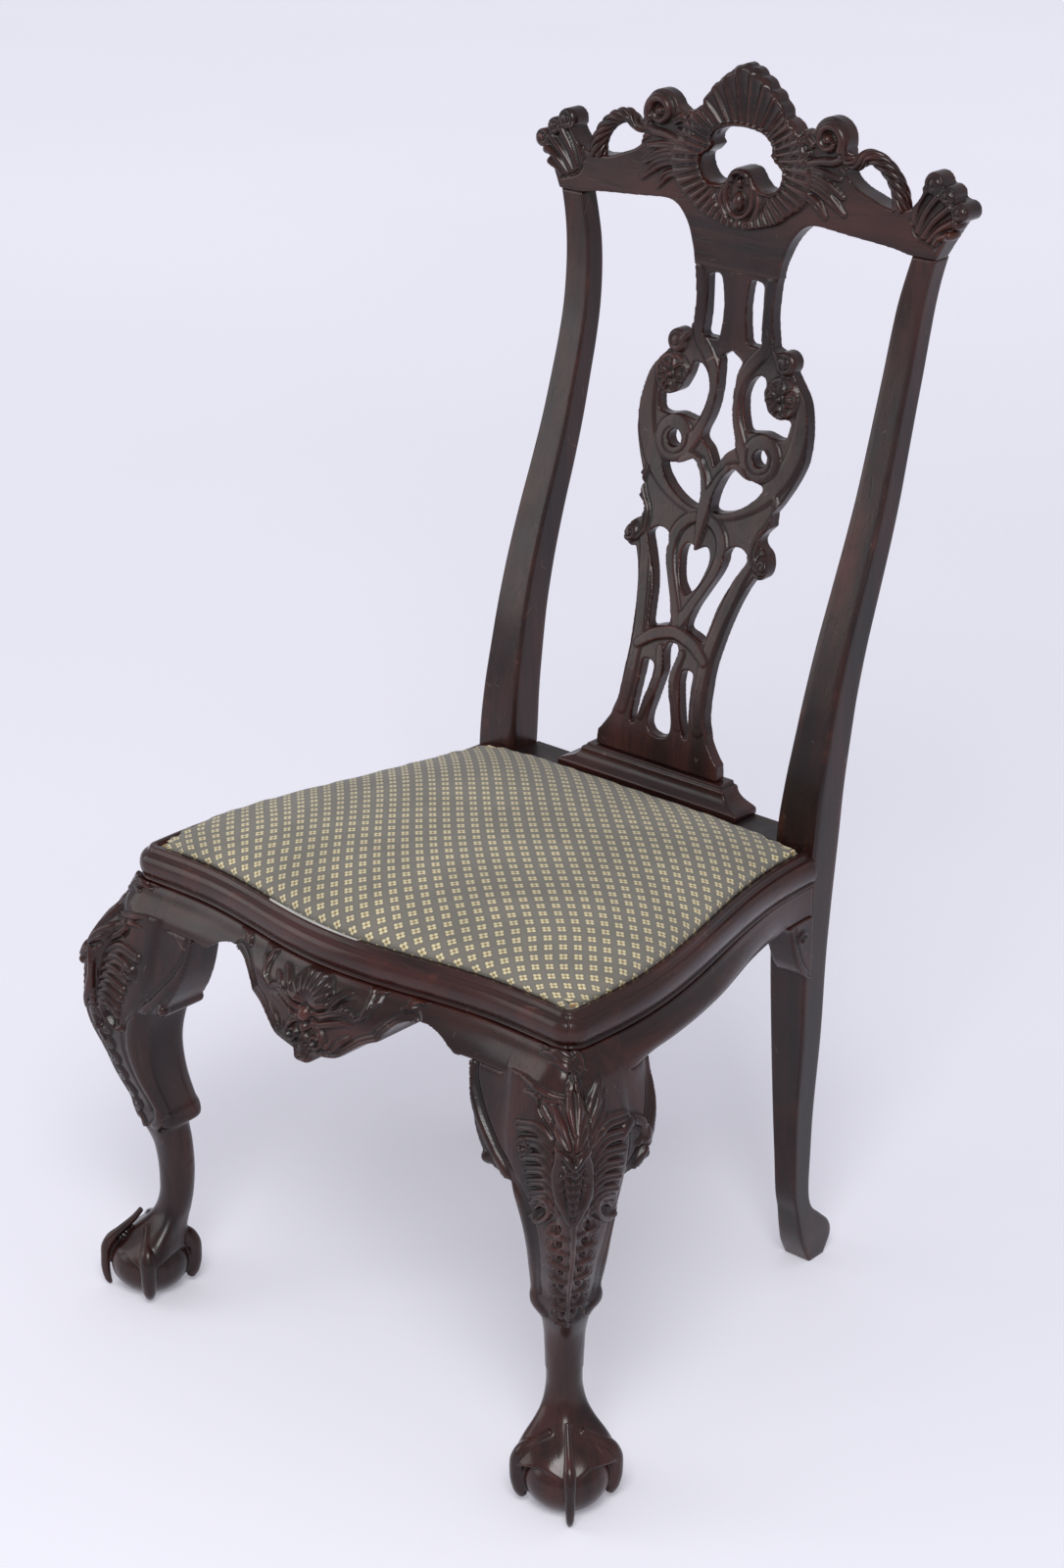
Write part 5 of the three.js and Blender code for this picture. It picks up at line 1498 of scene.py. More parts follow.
@dataclass
class Splat:
    """The pierced and carved splat."""

    half: float = 100.0
    thick: float = 12.0
    set_back: float = 21.0
    lean: float = 106.0
    joint: float = 893.5
    foot: float = 458.6
    grain: float = 0.95
    knob: Pair = (0.6, 0.758)
    eye: Pair = (0.48, 0.59)
    eye_radius: float = 7.8

    def at(self, shares: Rows) -> np.ndarray:
        """Shares as points."""
        return sized(shares, self.half, BACK_RISE, PLAN.seat_top)

    def outline(self) -> np.ndarray:
        """The closed outline of the splat."""
        x, z = self.at([self.knob])[0]
        runs = [
            [(0, self.joint), (46, self.joint)], spline(self.at(SPLAT_NECK), 4),
            arc(x, z, 11, 130, -40),
            spline(self.at(SCROLL_EDGE), 4), spline(self.at(LEAF_EDGE), 5),
            spline(self.at(STRAP_EDGE), 4),
            [(70, self.foot), (0, self.foot)],
        ]
        return clean_loop(mirrored_loop(np.vstack(runs)))

    def holes(self) -> list[np.ndarray]:
        """Every piercing."""
        found = [clean_loop(mirrored_loop(spline(self.at(half), 5))) for half in SPLAT_HALF_HOLES]
        for side in (1, -1):
            for shares in SPLAT_SIDE_HOLES:
                found.append(rounded(self.at(shares), 4.5) * [side, 1])
            x, z = self.at([self.eye])[0]
            found.append(arc(x, z, self.eye_radius, 0, 345, 26) * [side, 1])
        return found

    def front(self, x: np.ndarray, z: np.ndarray) -> np.ndarray:
        """Front face's y."""
        up = (z - PLAN.seat_top) / BACK_RISE
        return BACK_FRONT + self.set_back + self.lean * table(SPLAT_LEAN, up)

    def carve(self, relief: Relief) -> None:
        """All the carving of the splat."""
        for loop in [self.outline(), *self.holes()]:
            if loop[:, 0].max() > 0:
                relief.edge(loop, ((0, -0.9), (0.7, -0.25), (1.6, 0)))
        self.carve_straps(relief)
        self.carve_scrolls(relief)

    def carve_straps(self, relief: Relief) -> None:
        """Flat bands that pass over and under each other."""
        band = relief.stroke
        band(
            [
                (40, 886), (38, 862), (37.5, 845), (35, 828), (24, 814), (15, 800), (11.5, 782),
                (14, 764), (22, 748), (34, 728)
            ],
            (6.5, 6.5, 6.8, 7, 7, 6.6, 6.4, 6.4, 6.4, 6.4),
            (1.0, 1.0, 1.4, 2, 2.2, 2.2, 2.2, 2.2, 2.2, 2.2), Cut.FLAT
        )
        relief.dome((49, 736), (21, 21), 2.4, 0.14)
        relief.spiral((49.5, 736), (16.5, 9.6), (-200, 60), (0.9, 0.7), (-1.5, -1.3), Cut.SOFT)
        band(
            [
                (78, 803), (84.5, 790), (86, 772), (84.5, 752), (79, 733), (68, 715), (52, 700),
                (30, 688), (8, 682)
            ],
            (6, 8.5, 9.5, 9.8, 9.6, 9.4, 9, 8.6, 8), (1.2, 1.2, 1.2, 1.2, 1.2, 1.2, 1.2, 1, 0.8),
            Cut.FLAT
        )
        band(
            [(44, 700), (34, 716), (24, 722), (10, 712), (3, 700)], (3, 6, 6.4, 6, 5),
            (2.2, 2.4, 2.6, 2.8, 3), Cut.FLAT
        )
        band(
            [(16, 722), (8, 706), (2, 690), (0, 668), (0, 645)], (4, 6, 7.2, 5.2, 1.2),
            (2.8, 3.8, 4.6, 4.4, 2.8), Cut.FLAT
        )
        band(
            [(4, 676), (16, 671), (25, 661), (28, 646), (24, 628), (15, 610), (6, 594), (0, 582)],
            (5, 6, 6.5, 6.6, 6.6, 6.4, 6, 5), (1.8, 2, 2, 2, 1.8, 1.6, 1.4, 1), Cut.FLAT
        )
        band(
            [
                (60, 650), (54, 634), (50, 618), (46, 602), (43, 588), (40, 570), (39, 548),
                (40, 522), (44, 500)
            ],
            (6, 6.6, 6.6, 6.4, 6.2, 6.2, 6.2, 6.2, 6.2),
            (1.2, 1.4, 1.4, 1.4, 1.2, 1.1, 1.1, 1.1, 0.8), Cut.FLAT
        )
        band(
            [(38, 560), (24, 570), (10, 575), (0, 577)], (5, 6, 6, 6), (2, 2.2, 2.2, 2.2), Cut.FLAT
        )
        band(
            [(12, 560), (8, 542), (10, 528), (17, 512), (22, 498)], (4.4, 5, 5, 5, 4.4),
            (1.2, 1.4, 1.4, 1.2, 0.6), Cut.FLAT
        )

    def carve_scrolls(self, relief: Relief) -> None:
        """Rosettes, rolls and the leaf scrolls."""
        relief.dome((61, 791), (18.5, 18.5), 4.4, 0.1)
        relief.dome((61, 791), (15.5, 15.5), -1.2, 0.3)
        for petal in range(7):
            turn = math.radians(90 + petal * 360 / 7)
            start = (61 + 4 * math.cos(turn), 791 + 4 * math.sin(turn))
            tip = (61 + 13.5 * math.cos(turn), 791 + 13.5 * math.sin(turn))
            relief.stroke([start, tip], (2.5, 5.6, 4), (5.4, 7.6, 6), Cut.LEAF)
        relief.dome((61, 791), (4.6, 4.6), 8.6)
        relief.dome((60, 820), (11, 11), 5.0)
        relief.spiral((60, 820), (7.6, 3), (150, -200), (1.2, 1), (-1.8, -1.6), Cut.SOFT)
        relief.stroke([(46, 836), (50, 828), (54, 822)], (3, 5, 5), (2.4, 4, 4.4))
        relief.dome((75.5, 649), (9.6, 9.6), 5.4)
        relief.spiral((75.5, 649), (7, 2.6), (90, -250), (1.1, 0.9), (-2, -1.8), Cut.SOFT)
        relief.stroke(
            [(72, 706), (76, 694), (72, 682), (64, 670), (62, 656), (68, 645)],
            (2.6, 4.6, 5, 4.6, 4, 3), (2.6, 4.6, 5, 4.6, 4, 3), Cut.LEAF
        )
        relief.stroke(
            [(80, 690), (79, 680), (74, 668), (78, 658)], (2, 3.4, 3.6, 2.6), (2.4, 3.8, 4, 3),
            Cut.LEAF
        )

    def build(self) -> None:
        """Builds, carves and places the splat."""
        blank = remeshed(board([self.outline(), *self.holes()], 0, self.thick), self.grain)
        even_depth = lambda x, z: np.full_like(x, self.thick)
        shape = faced(blank, self.thick, self.front, even_depth, both_halves(self.carve))
        Piece("splat_carved", shape, SPLAT_WOOD, ("splat",), carved=True).place()


SHOE_ROWS = (
    (0, 0), (0, 0.2), (0.03, 0.24), (0.12, 0.29), (0.34, 0.36), (0.56, 0.45), (0.72, 0.57),
    (0.8, 0.7), (0.82, 0.82), (0.86, 0.85), (0.97, 0.86), (1, 0.9), (1, 1),
)


@dataclass
class Shoe:
    """The moulded shoe that the splat stands in."""

    height: float = 24.7
    half_foot: float = 104.0
    flare: float = 26.0
    depth: float = 32.0
    step: float = 11.0
    ease: float = 1.2

    def build(self) -> None:
        """Lofts stepped rings and places the shoe."""
        foot = PLAN.seat_top - PLAN.seat_fall + PLAN.clearance
        ease, least = self.ease, 0.3
        rings = []
        for inward, up in SHOE_ROWS:
            half = self.half_foot - inward * self.flare
            front, back = SHOE_FRONT + inward * self.step, SHOE_FRONT + self.depth
            run = np.linspace(-half + ease, half - ease, 40)
            back_run = np.linspace(half - ease, -half + ease, 40)
            corner = [half - least, half, half, half - ease]
            other = [-half, -half, -half, -half + least]
            across = np.concatenate([run, corner, back_run, other])
            right = [front + least, front + ease, back - ease, back]
            left = [back - ease, front + ease, front + ease, front + least]
            deep = np.concatenate([np.full(40, front), right, np.full(40, back), left])
            z = foot + up * self.height
            rings.append(np.stack([across, deep, np.full_like(across, z)], axis=1))
        shape = outward(lofted(np.array(rings)))
        shape = remeshed(shape, 1.1, 1)
        Piece("splat_shoe_moulded", shape, CROSSWISE, ("splat_shoe",), carved=True).place()


POST_ROWS = (
    (0, 0, 1, 0.98, 0.765), (0.09, 0.05, 0.97, 0.978, 0.775), (0.18, 0.13, 0.92, 0.975, 0.787),
    (0.25, 0.2, 0.88, 0.973, 0.795), (0.334, 0.304, 0.84, 0.972, 0.802),
    (0.42, 0.432, 0.8, 0.971, 0.808), (0.506, 0.568, 0.76, 0.967, 0.811),
    (0.58, 0.677, 0.71, 0.963, 0.813), (0.656, 0.77, 0.67, 0.959, 0.815),
    (0.724, 0.848, 0.64, 0.957, 0.817), (0.784, 0.908, 0.61, 0.96, 0.822),
    (0.846, 0.95, 0.59, 0.968, 0.833), (0.9, 0.975, 0.58, 0.98, 0.85),
    (0.945, 0.99, 0.57, 0.998, 0.875), (0.985, 1, 0.57, 1.022, 0.903),
)
REAR_LEG_ROWS = (
    (0, 1, 1.62, 0.91, 0.765), (0.04, 0.73, 1.86, 0.915, 0.77), (0.075, 0.54, 1.73, 0.92, 0.785),
    (0.11, 0.41, 1.3, 0.923, 0.795), (0.143, 0.3, 0.9, 0.926, 0.805),
    (0.19, 0.135, 0.73, 0.93, 0.812),
    (0.28, 0.03, 0.69, 0.937, 0.812), (0.39, -0.054, 0.68, 0.945, 0.805),
    (0.56, -0.054, 0.75, 0.96, 0.78), (0.73, -0.12, 0.76, 0.97, 0.77),
    (0.855, -0.1, 0.85, 0.975, 0.766),
)


@dataclass
class Posts:
    """The rear posts, each from the floor to the crest rail."""

    depth: float = 37.0
    spread: float = 200.0
    top: float = 934.1
    arris: float = 2.6
    square: float = 30.0

    def rows(self) -> np.ndarray:
        """Rows of z, front, back, outer and inner."""
        found = []
        for rise, front, back, outer, inner in REAR_LEG_ROWS:
            deep = BACK_FRONT + front * self.depth, BACK_FRONT + back * self.depth
            found.append((rise * PLAN.seat_top, *deep, outer * self.spread, inner * self.spread))
        for rise, lean, depth, outer, inner in POST_ROWS:
            front = BACK_FRONT + lean * BACK_LEAN
            deep = front, front + depth * self.depth
            found.append(
                (PLAN.seat_top + rise * BACK_RISE, *deep, outer * self.spread, inner * self.spread)
            )
        found[-1] = (self.top, *found[-1][1:])
        return spline(found, 7)

    def ring(self, front: float, back: float, outer: float, inner: float, z: float) -> np.ndarray:
        """One rounded rectangle."""
        spots = []
        r = self.arris
        right, left, far, near = outer - r, inner + r, back - r, front + r
        for x, y, start in (
            (right, far, 0), (left, far, 90), (left, near, 180), (right, near, 270)
        ):
            turn = np.radians(np.linspace(start, start + 90, 6))
            spots.append(
                np.stack([x + r * np.cos(turn), y + r * np.sin(turn), np.full(6, z)], axis=1)
            )
        loop = np.vstack(spots)
        fine = []
        for start, end in zip(loop, np.roll(loop, -1, axis=0)):
            steps = max(int(np.linalg.norm(end - start) / 3.5), 1)
            fine.append(start + (end - start) * np.linspace(0, 1, steps, endpoint=False)[:, None])
        return np.vstack(fine)

    def build(self) -> None:
        """Lofts and places both posts."""
        rows = self.rows()
        rings = []
        for z, front, back, outer, inner in rows:
            ring = self.ring(0, self.square, self.square, 0, z)
            share_x, share_y = ring[:, 0] / self.square, ring[:, 1] / self.square
            x, y = inner + share_x * (outer - inner), front + share_y * (back - front)
            rings.append(np.stack([x, y, ring[:, 2]], axis=1))
        shape = outward(lofted(np.array(rings)))
        place_pair("rear_post", "shaped", shape, UPRIGHT)


# --------------------------------------------------------------------------- seat rails


def swept_front(section: np.ndarray, half: float) -> np.ndarray:
    """Rings of a section run across the front, with rounded corners at the mitres.

    Args:
        section: rows of distance in from the nose line, and height.
        half: half of the chair's width at the nose line.
    Returns:
        Rings of points, from the left mitre to the right one.
    """
    radius = PLAN.corner_round
    right = []
    for inset, z in section:
        r = max(radius - inset, 0.4)
        centre = np.array([half - inset - r, inset + r])
        x = np.linspace(0, centre[0], 170)
        y = PLAN.front_nose(x) + inset
        step = at_one(PLAN.front_nose, centre[0])
        turn = np.radians(np.linspace(0, 45, 8))[1:]
        arc_x = centre[0] + r * np.sin(turn)
        arc_y = centre[1] - r * np.cos(turn) + step * (1 - turn / turn[-1])
        across, deep = np.concatenate([x, arc_x]), np.concatenate([y, arc_y])
        right.append(np.stack([across, deep, z - PLAN.fall(deep)], axis=1))
    rings = np.swapaxes(np.array(right), 0, 1)
    left = rings[::-1][:-1] * [-1, 1, 1]
    return np.vstack([left, rings])


def swept_side(section: np.ndarray, half: float, stop: float) -> np.ndarray:
    """Rings of a section run along the right side, from the mitre to the rear post."""
    radius = PLAN.corner_round
    lines = []
    for inset, z in section:
        r = max(radius - inset, 0.4)
        centre = np.array([half - inset - r, inset + r])
        turn = np.radians(np.linspace(45, 0, 8))[:-1]
        y = np.linspace(centre[1], stop, 260)
        x = PLAN.side_nose(y) - inset
        step = at_one(PLAN.side_nose, centre[1]) - half
        arc_x = centre[0] + r * np.cos(turn) + step * (1 - turn / turn[0])
        arc_y = centre[1] - r * np.sin(turn)
        across, deep = np.concatenate([arc_x, x]), np.concatenate([arc_y, y])
        lines.append(np.stack([across, deep, z - PLAN.fall(deep)], axis=1))
    return np.swapaxes(np.array(lines), 0, 1)


def bezier(points: Rows, steps: int = 9) -> np.ndarray:
    """Points of a quadratic or cubic curve."""
    spots = [np.asarray(point, float) for point in points]
    share = np.linspace(0, 1, steps + 1)[:, None]
    while len(spots) > 1:
        spots = [(1 - share) * start + share * end for start, end in zip(spots[:-1], spots[1:])]
    return spots[0]


@dataclass
class Moulding:
    """The moulding round the seat's front and sides."""

    lip: float = 12.0
    rest: float = 424.3

    def section(self) -> np.ndarray:
        """Closed section as (inset, height)."""
        runs = [
            [(1, 0), (0.66, 0), (0.6, 0.02), (0.58, 0.07)],
            bezier([(0.58, 0.07), (0.5, 0.15), (0.38, 0.17)]),
            bezier([(0.38, 0.17), (0.02, 0.2), (-0.12, 0.62), (0.14, 0.82)], 14),
            [(0.16, 0.85), (0.22, 0.86), (0.2, 0.885)],
            bezier([(0.2, 0.885), (0.03, 0.94), (0.2, 1)]),
        ]
        shares = np.vstack([np.asarray(run, float) for run in runs])
        outer = np.stack(
            [shares[:, 0] * PLAN.mould_width, PLAN.seat_top - shares[:, 1] * PLAN.mould_height],
            axis=1
        )
        inner = np.array(
            [[self.lip, PLAN.face_top], [self.lip, self.rest], [PLAN.mould_width, self.rest]]
        )
        return clean_loop(np.vstack([outer, inner]), 0.05)

    def build(self) -> None:
        """Sweeps and places the three strips."""
        section = self.section()
        front = outward(lofted(swept_front(section, PLAN.nose_half)))
        Piece(
            "seat_moulding_front_run", front, CROSSWISE, ("seat_moulding_front",), carved=True
        ).place()
        side = outward(lofted(swept_side(section, PLAN.nose_half, BACK_FRONT - PLAN.clearance)))
        place_pair("seat_moulding_side", "run", side, LENGTHWISE)


def ledge_loop(start: float, end: float) -> np.ndarray:
    """Section of the ledge that carries the loose seat, from one end to the other."""
    low, high = PLAN.ledge_foot, PLAN.ledge_top
    return np.array([[start, low], [end, low], [end, high], [start, high]])


def settled(x: np.ndarray, y: np.ndarray, z: np.ndarray, faces: np.ndarray) -> Shape:
    """A closed shape lowered by the seat's fall."""
    return outward(Shape(np.stack([x, y, z - PLAN.fall(y)], axis=1), faces))


PENDANT = (
    (0, 1), (0.02, 1), (0.034, 0.985), (0.042, 0.92), (0.08, 0.905), (0.139, 0.876), (0.183, 0.8),
    (0.23, 0.714), (0.286, 0.65),
)
ARCH = (
    (0.3, 0.59), (0.33, 0.51), (0.366, 0.45), (0.433, 0.414), (0.497, 0.448), (0.549, 0.524),
    (0.57, 0.556)
)
DOUBLE_BEAD = (
    (0, -1.4), (0.8, 0.3), (2, 1.5), (3.2, 0.5), (3.9, -0.5), (5.2, 0.7), (6.4, -0.2), (7.4, -1.0),
    (9.5, 0)
)


@dataclass
class FrontRail:
    """The carved front rail with its arches and pendant."""

    reach: float = 197.6
    drop: float = 105.0
    cusp: float = 57.0
    thick: float = 34.0
    grain: float = 1.0
    gain: float = 1.3

    def front(self, x: np.ndarray, z: np.ndarray) -> np.ndarray:
        """Front face's y."""
        return PLAN.front_nose(x) - face_out(z)

    def deep(self, x: np.ndarray, z: np.ndarray) -> np.ndarray:
        """Thickness."""
        return self.thick + face_out(z)

    def lower(self) -> np.ndarray:
        """Right half of the lower edge."""
        scale = np.array([PLAN.nose_half, -self.drop])
        base = np.array([0, PLAN.seat_top])
        pendant = np.asarray(PENDANT) * scale + base
        arch = np.asarray(ARCH) * scale + base
        cusp = np.array(
            [
                [0.65 * PLAN.nose_half, PLAN.seat_top - self.cusp],
                [self.reach, PLAN.seat_top - self.cusp]
            ]
        )
        return np.vstack([pendant[:3], spline(pendant[3:], 4), spline(arch, 5), cusp])

    def carve(self, relief: Relief) -> None:
        """Fan, scrolls and leaves of the apron."""
        relief.edge(
            np.vstack([self.lower()[::-1], self.lower() * [-1, 1]])[20:-20], DOUBLE_BEAD,
            closed=False
        )
        for ray in range(9):
            turn = math.radians(90 + (ray - 4) * 19)
            start = (3 * math.cos(turn), 386 + 3 * math.sin(turn))
            tip = (21 * math.cos(turn), 386 + 24 * math.sin(turn))
            relief.stroke([start, tip], (1.6, 4.6, 4.0), (3, 6, 5.4))
        relief.stroke([(22, 392), (16, 404), (8, 411), (0, 414)], (1.6, 2, 2, 2), (2.5, 3, 3, 3))
        relief.dome((0, 379), (7, 8), 7.5)
        relief.dome((0, 367), (4.5, 5), 5)
        relief.stroke(
            [(7, 380), (16, 381), (27, 386), (40, 389), (49, 385)], (2, 3.4, 3.6, 3, 1.4),
            (3, 4.4, 4, 3.2, 1.4), Cut.LEAF
        )
        relief.stroke(
            [(6, 374), (14, 372), (26, 376), (38, 380), (46, 380)], (2, 3, 3, 2.4, 1),
            (2.4, 3.6, 3.2, 2.4, 1), Cut.LEAF
        )
        relief.stroke(
            [(22, 388), (27, 396), (33, 402), (38, 404)], (2.4, 4, 3.6, 1.4), (3, 4.6, 4, 1.6),
            Cut.LEAF
        )
        relief.stroke([(30, 387), (37, 394), (44, 398)], (2, 3.2, 1.4), (2.4, 3.6, 1.4), Cut.LEAF)
        relief.stroke(
            [(50, 386), (57, 392), (58, 402), (55, 412), (50, 418)], (2, 3.4, 3.6, 3, 1.4),
            (2.6, 4.2, 4, 3, 1.4)
        )
        relief.stroke([(58, 396), (64, 404), (62, 412)], (1.6, 2.6, 1.4), (1.8, 3, 1.4), Cut.LEAF)
        relief.leaf([(60, 408), (68, 415), (78, 418), (88, 416)], 3, 8, 2.4, 2.8)
        relief.leaf([(88, 404), (97, 410), (106, 416), (114, 418)], 3, 8, 2.4, 2.8)
        relief.spiral((13, 358), (7.5, 2.6), (60, -320), (2.4, 1.6), (3.2, 3.4))
        relief.stroke(
            [(3, 366), (8, 371), (17, 366), (23, 356), (28, 362)], (2, 2.8, 2.8, 2.4, 1.2),
            (2.6, 3.4, 3.2, 2.6, 1.2), Cut.LEAF
        )
        relief.stroke([(32, 356), (38, 364), (46, 370)], (2.2, 2.8, 1.4), (2.6, 3, 1.4), Cut.LEAF)
        relief.leaf([(0, 362), (1, 352), (1, 342)], 3, 9, 2.6, 3.4)

    def build(self) -> None:
        """Builds, carves and places the front rail."""
        top = PLAN.face_top - PLAN.clearance
        half = np.vstack([self.lower(), [[self.reach, top], [0, top]]])
        face = board([clean_loop(mirrored_loop(half))], 0, self.thick)
        ledge = board([ledge_loop(-self.reach, self.reach)], PLAN.ledge_set, self.thick)
        blank = remeshed(face.joined(ledge), self.grain)
        shape = faced(blank, self.thick, self.front, self.deep, both_halves(self.carve, self.gain))
        shape.points[:, 2] -= PLAN.fall(shape.points[:, 1])
        Piece("front_rail_carved", shape, CROSSWISE, ("front_rail",), carved=True).place()


def side_face(y: np.ndarray, z: np.ndarray) -> np.ndarray:
    """How far the side's face stands out from the side's nose line."""
    faded = eased(PLAN.fade_start, PLAN.depth, y)
    return side_out(y, z) * (1 - faded) - PLAN.rear_draw * faded


@dataclass
class SideRail:
    """A side rail, swelling under the moulding."""

    start: float = 52.8
    stop: float = 390.7
    front_drop: float = 57.0
    rear_drop: float = 58.0
    thick: float = 34.0
    grain: float = 1.3

    def build(self) -> None:
        """Builds and places both side rails."""
        top = PLAN.face_top - PLAN.clearance
        front, rear = PLAN.seat_top - self.front_drop, PLAN.seat_top - self.rear_drop
        pulls = ((self.start + 112, front - 0.5), (self.start + 224, rear))
        under = bezier([(self.start, front), *pulls, (self.stop, rear)], 20)
        face = board(
            [np.vstack([under, [[self.stop, top], [self.start, top]]])], 0, self.thick, Bent.ALONG
        )
        ledge = board([ledge_loop(self.start, self.stop)], PLAN.ledge_set, self.thick, Bent.ALONG)
        blank = remeshed(face.joined(ledge), self.grain)
        depth, y, z = blank.points.T
        out = side_face(y, z)
        share = np.clip(1 - depth / self.thick, 0, 1)
        shape = settled(PLAN.side_nose(y) + out * share - depth, y, z, blank.faces)
        place_pair("side_rail", "shaped", shape, LENGTHWISE)


REAR_BRACKET = ((1, 0), (0.87, 0.1), (0.77, 0.34), (0.64, 0.55), (0.49, 0.74), (0.28, 0.9), (0, 1))


@dataclass
class RearBracket:
    """The small bracket between a side rail and a rear leg."""

    reach: float = 39.0
    drop: float = 62.0
    below: float = 58.3
    thick: float = 30.0

    def build(self) -> None:
        """Builds and places both brackets."""
        top = PLAN.seat_top - self.below
        rows = [
            (BACK_FRONT - share * self.reach, top - fall * self.drop)
            for share, fall in REAR_BRACKET
        ]
        edge, back = spline(rows, 5), BACK_FRONT - PLAN.clearance
        loop = clean_loop(np.vstack([edge, [[back, edge[-1, 1]], [back, top]]]))
        blank = remeshed(board([loop], 0, self.thick, Bent.ALONG), 1.0)
        depth, y, z = blank.points.T
        relief = Relief(np.stack([y, z], axis=1))
        relief.edge(edge, DOUBLE_BEAD, closed=False)
        relief.spiral((374, 366), (7, 3), (0, 320), (2, 1.4), (2.2, 2.4))
        share = np.clip(1 - depth / (0.5 * self.thick), 0, 1)
        out = side_face(y, np.full_like(z, PLAN.seat_top - SideRail.rear_drop)) * 0.5
        near = np.clip(1 - depth / self.thick, 0, 1)
        x = PLAN.side_nose(y) + out * near - depth + relief.height * share
        place_pair("rear_bracket", "shaped", settled(x, y, z, blank.faces), LENGTHWISE)


# --------------------------------------------------------------------------- front legs


LEG_ROWS = (
    (0.14, 0.45, 0.5, 2.2), (0.17, 0.42, 0.56, 2.2), (0.2, 0.24, 0.6, 2.2), (0.24, 0.08, 0.6, 2.3),
    (0.275, -0.015, 0.63, 2.3), (0.32, -0.075, 0.67, 2.3), (0.375, -0.09, 0.695, 2.3),
    (0.43, -0.076, 0.704, 2.3), (0.5, -0.03, 0.69, 2.4), (0.56, 0.08, 0.665, 2.6),
    (0.577, 0.1, 0.7, 3), (0.59, 0.13, 0.8, 4), (0.625, 0.17, 0.8, 4), (0.66, 0.2, 0.74, 4),
    (0.75, 0.38, 0.66, 4), (0.847, 0.53, 0.64, 4), (0.927, 0.6, 0.69, 4.5), (1, 0.632, 0.8, 5),
    (1.07, 0.6, 0.92, 7), (1.14, 0.52, 1, 9), (1.24, 0.38, 1.04, 10), (1.3, 0.29, 1.04, 12),
)
KNEE_LEAF = (
    (-0.26, 1.35), (-0.02, 1.27), (0.38, 1.208), (0.632, 1.163), (0.72, 1.117), (0.756, 1.007),
    (0.706, 0.933), (0.51, 0.849), (0.31, 0.769), (0.11, 0.689), (-0.08, 0.62),
)
FRONT_CLAW = (
    (6, 79, 2.6), (14, 69, 3.2), (26, 57.5, 4.2), (34.5, 49.5, 5.4), (39.5, 41, 5.2), (41, 31, 4.4),
    (41.4, 19, 4.2), (40, 8, 3.4), (37.5, 1.5, 2),
)
CLAW = (
    (12, 67, 3.2), (25, 58, 5), (34.5, 50.5, 7.4), (38.6, 42, 8), (39.6, 32, 7.4), (39.4, 23, 7),
    (38, 14, 6), (35.5, 7, 4),
)
FOOT_SKIN = (
    (130, -11.3, -44, 15.6, 1.0, -27.8), (112, -11.8, -43.5, 15.2, 1.0, -27.6),
    (96, -11, -42, 15.4, 0.97, -26.5),
    (82, -6.5, -39.5, 18.5, 0.92, -22.5), (72, 1, -37, 24, 0.87, -17),
    (62, 13, -35, 32.5, 0.86, -10),
    (54, 24, -35, 40, 0.87, -5), (49, 31, -35.5, 43.5, 0.87, -2), (46.6, 33, -36, 44, 0.87, 0),
)
BRACKET = ((1, 0), (0.97, 0.12), (0.9, 0.26), (0.76, 0.46), (0.55, 0.66), (0.35, 0.8))
DIAGONAL = np.array([HALF_ROOT, -HALF_ROOT, 0.0])
KNEE_FAN = ((41, 371), (39.5, 361), (38, 351), (36, 341), (34, 331), (32, 321), (30, 312))
KNEE_LEFT = (
    (-76.5, 412), (-77, 396), (-72.5, 377), (-66.5, 363), (-61, 352), (-55, 341), (-47.5, 325),
    (-41, 310), (-36, 290), (-32, 262), (-30, 235), (-28.5, 207), (-26, 196), (-22, 188),
    (-18, 180),
)
KNEE_RIGHT = (
    (64.5, 416), (65.5, 397), (65, 380), (61.5, 365), (57, 352), (49, 338), (41.5, 318),
    (34.5, 296), (29.5, 262), (26.5, 235), (25, 207), (22, 196), (17.5, 188), (14.5, 180),
)


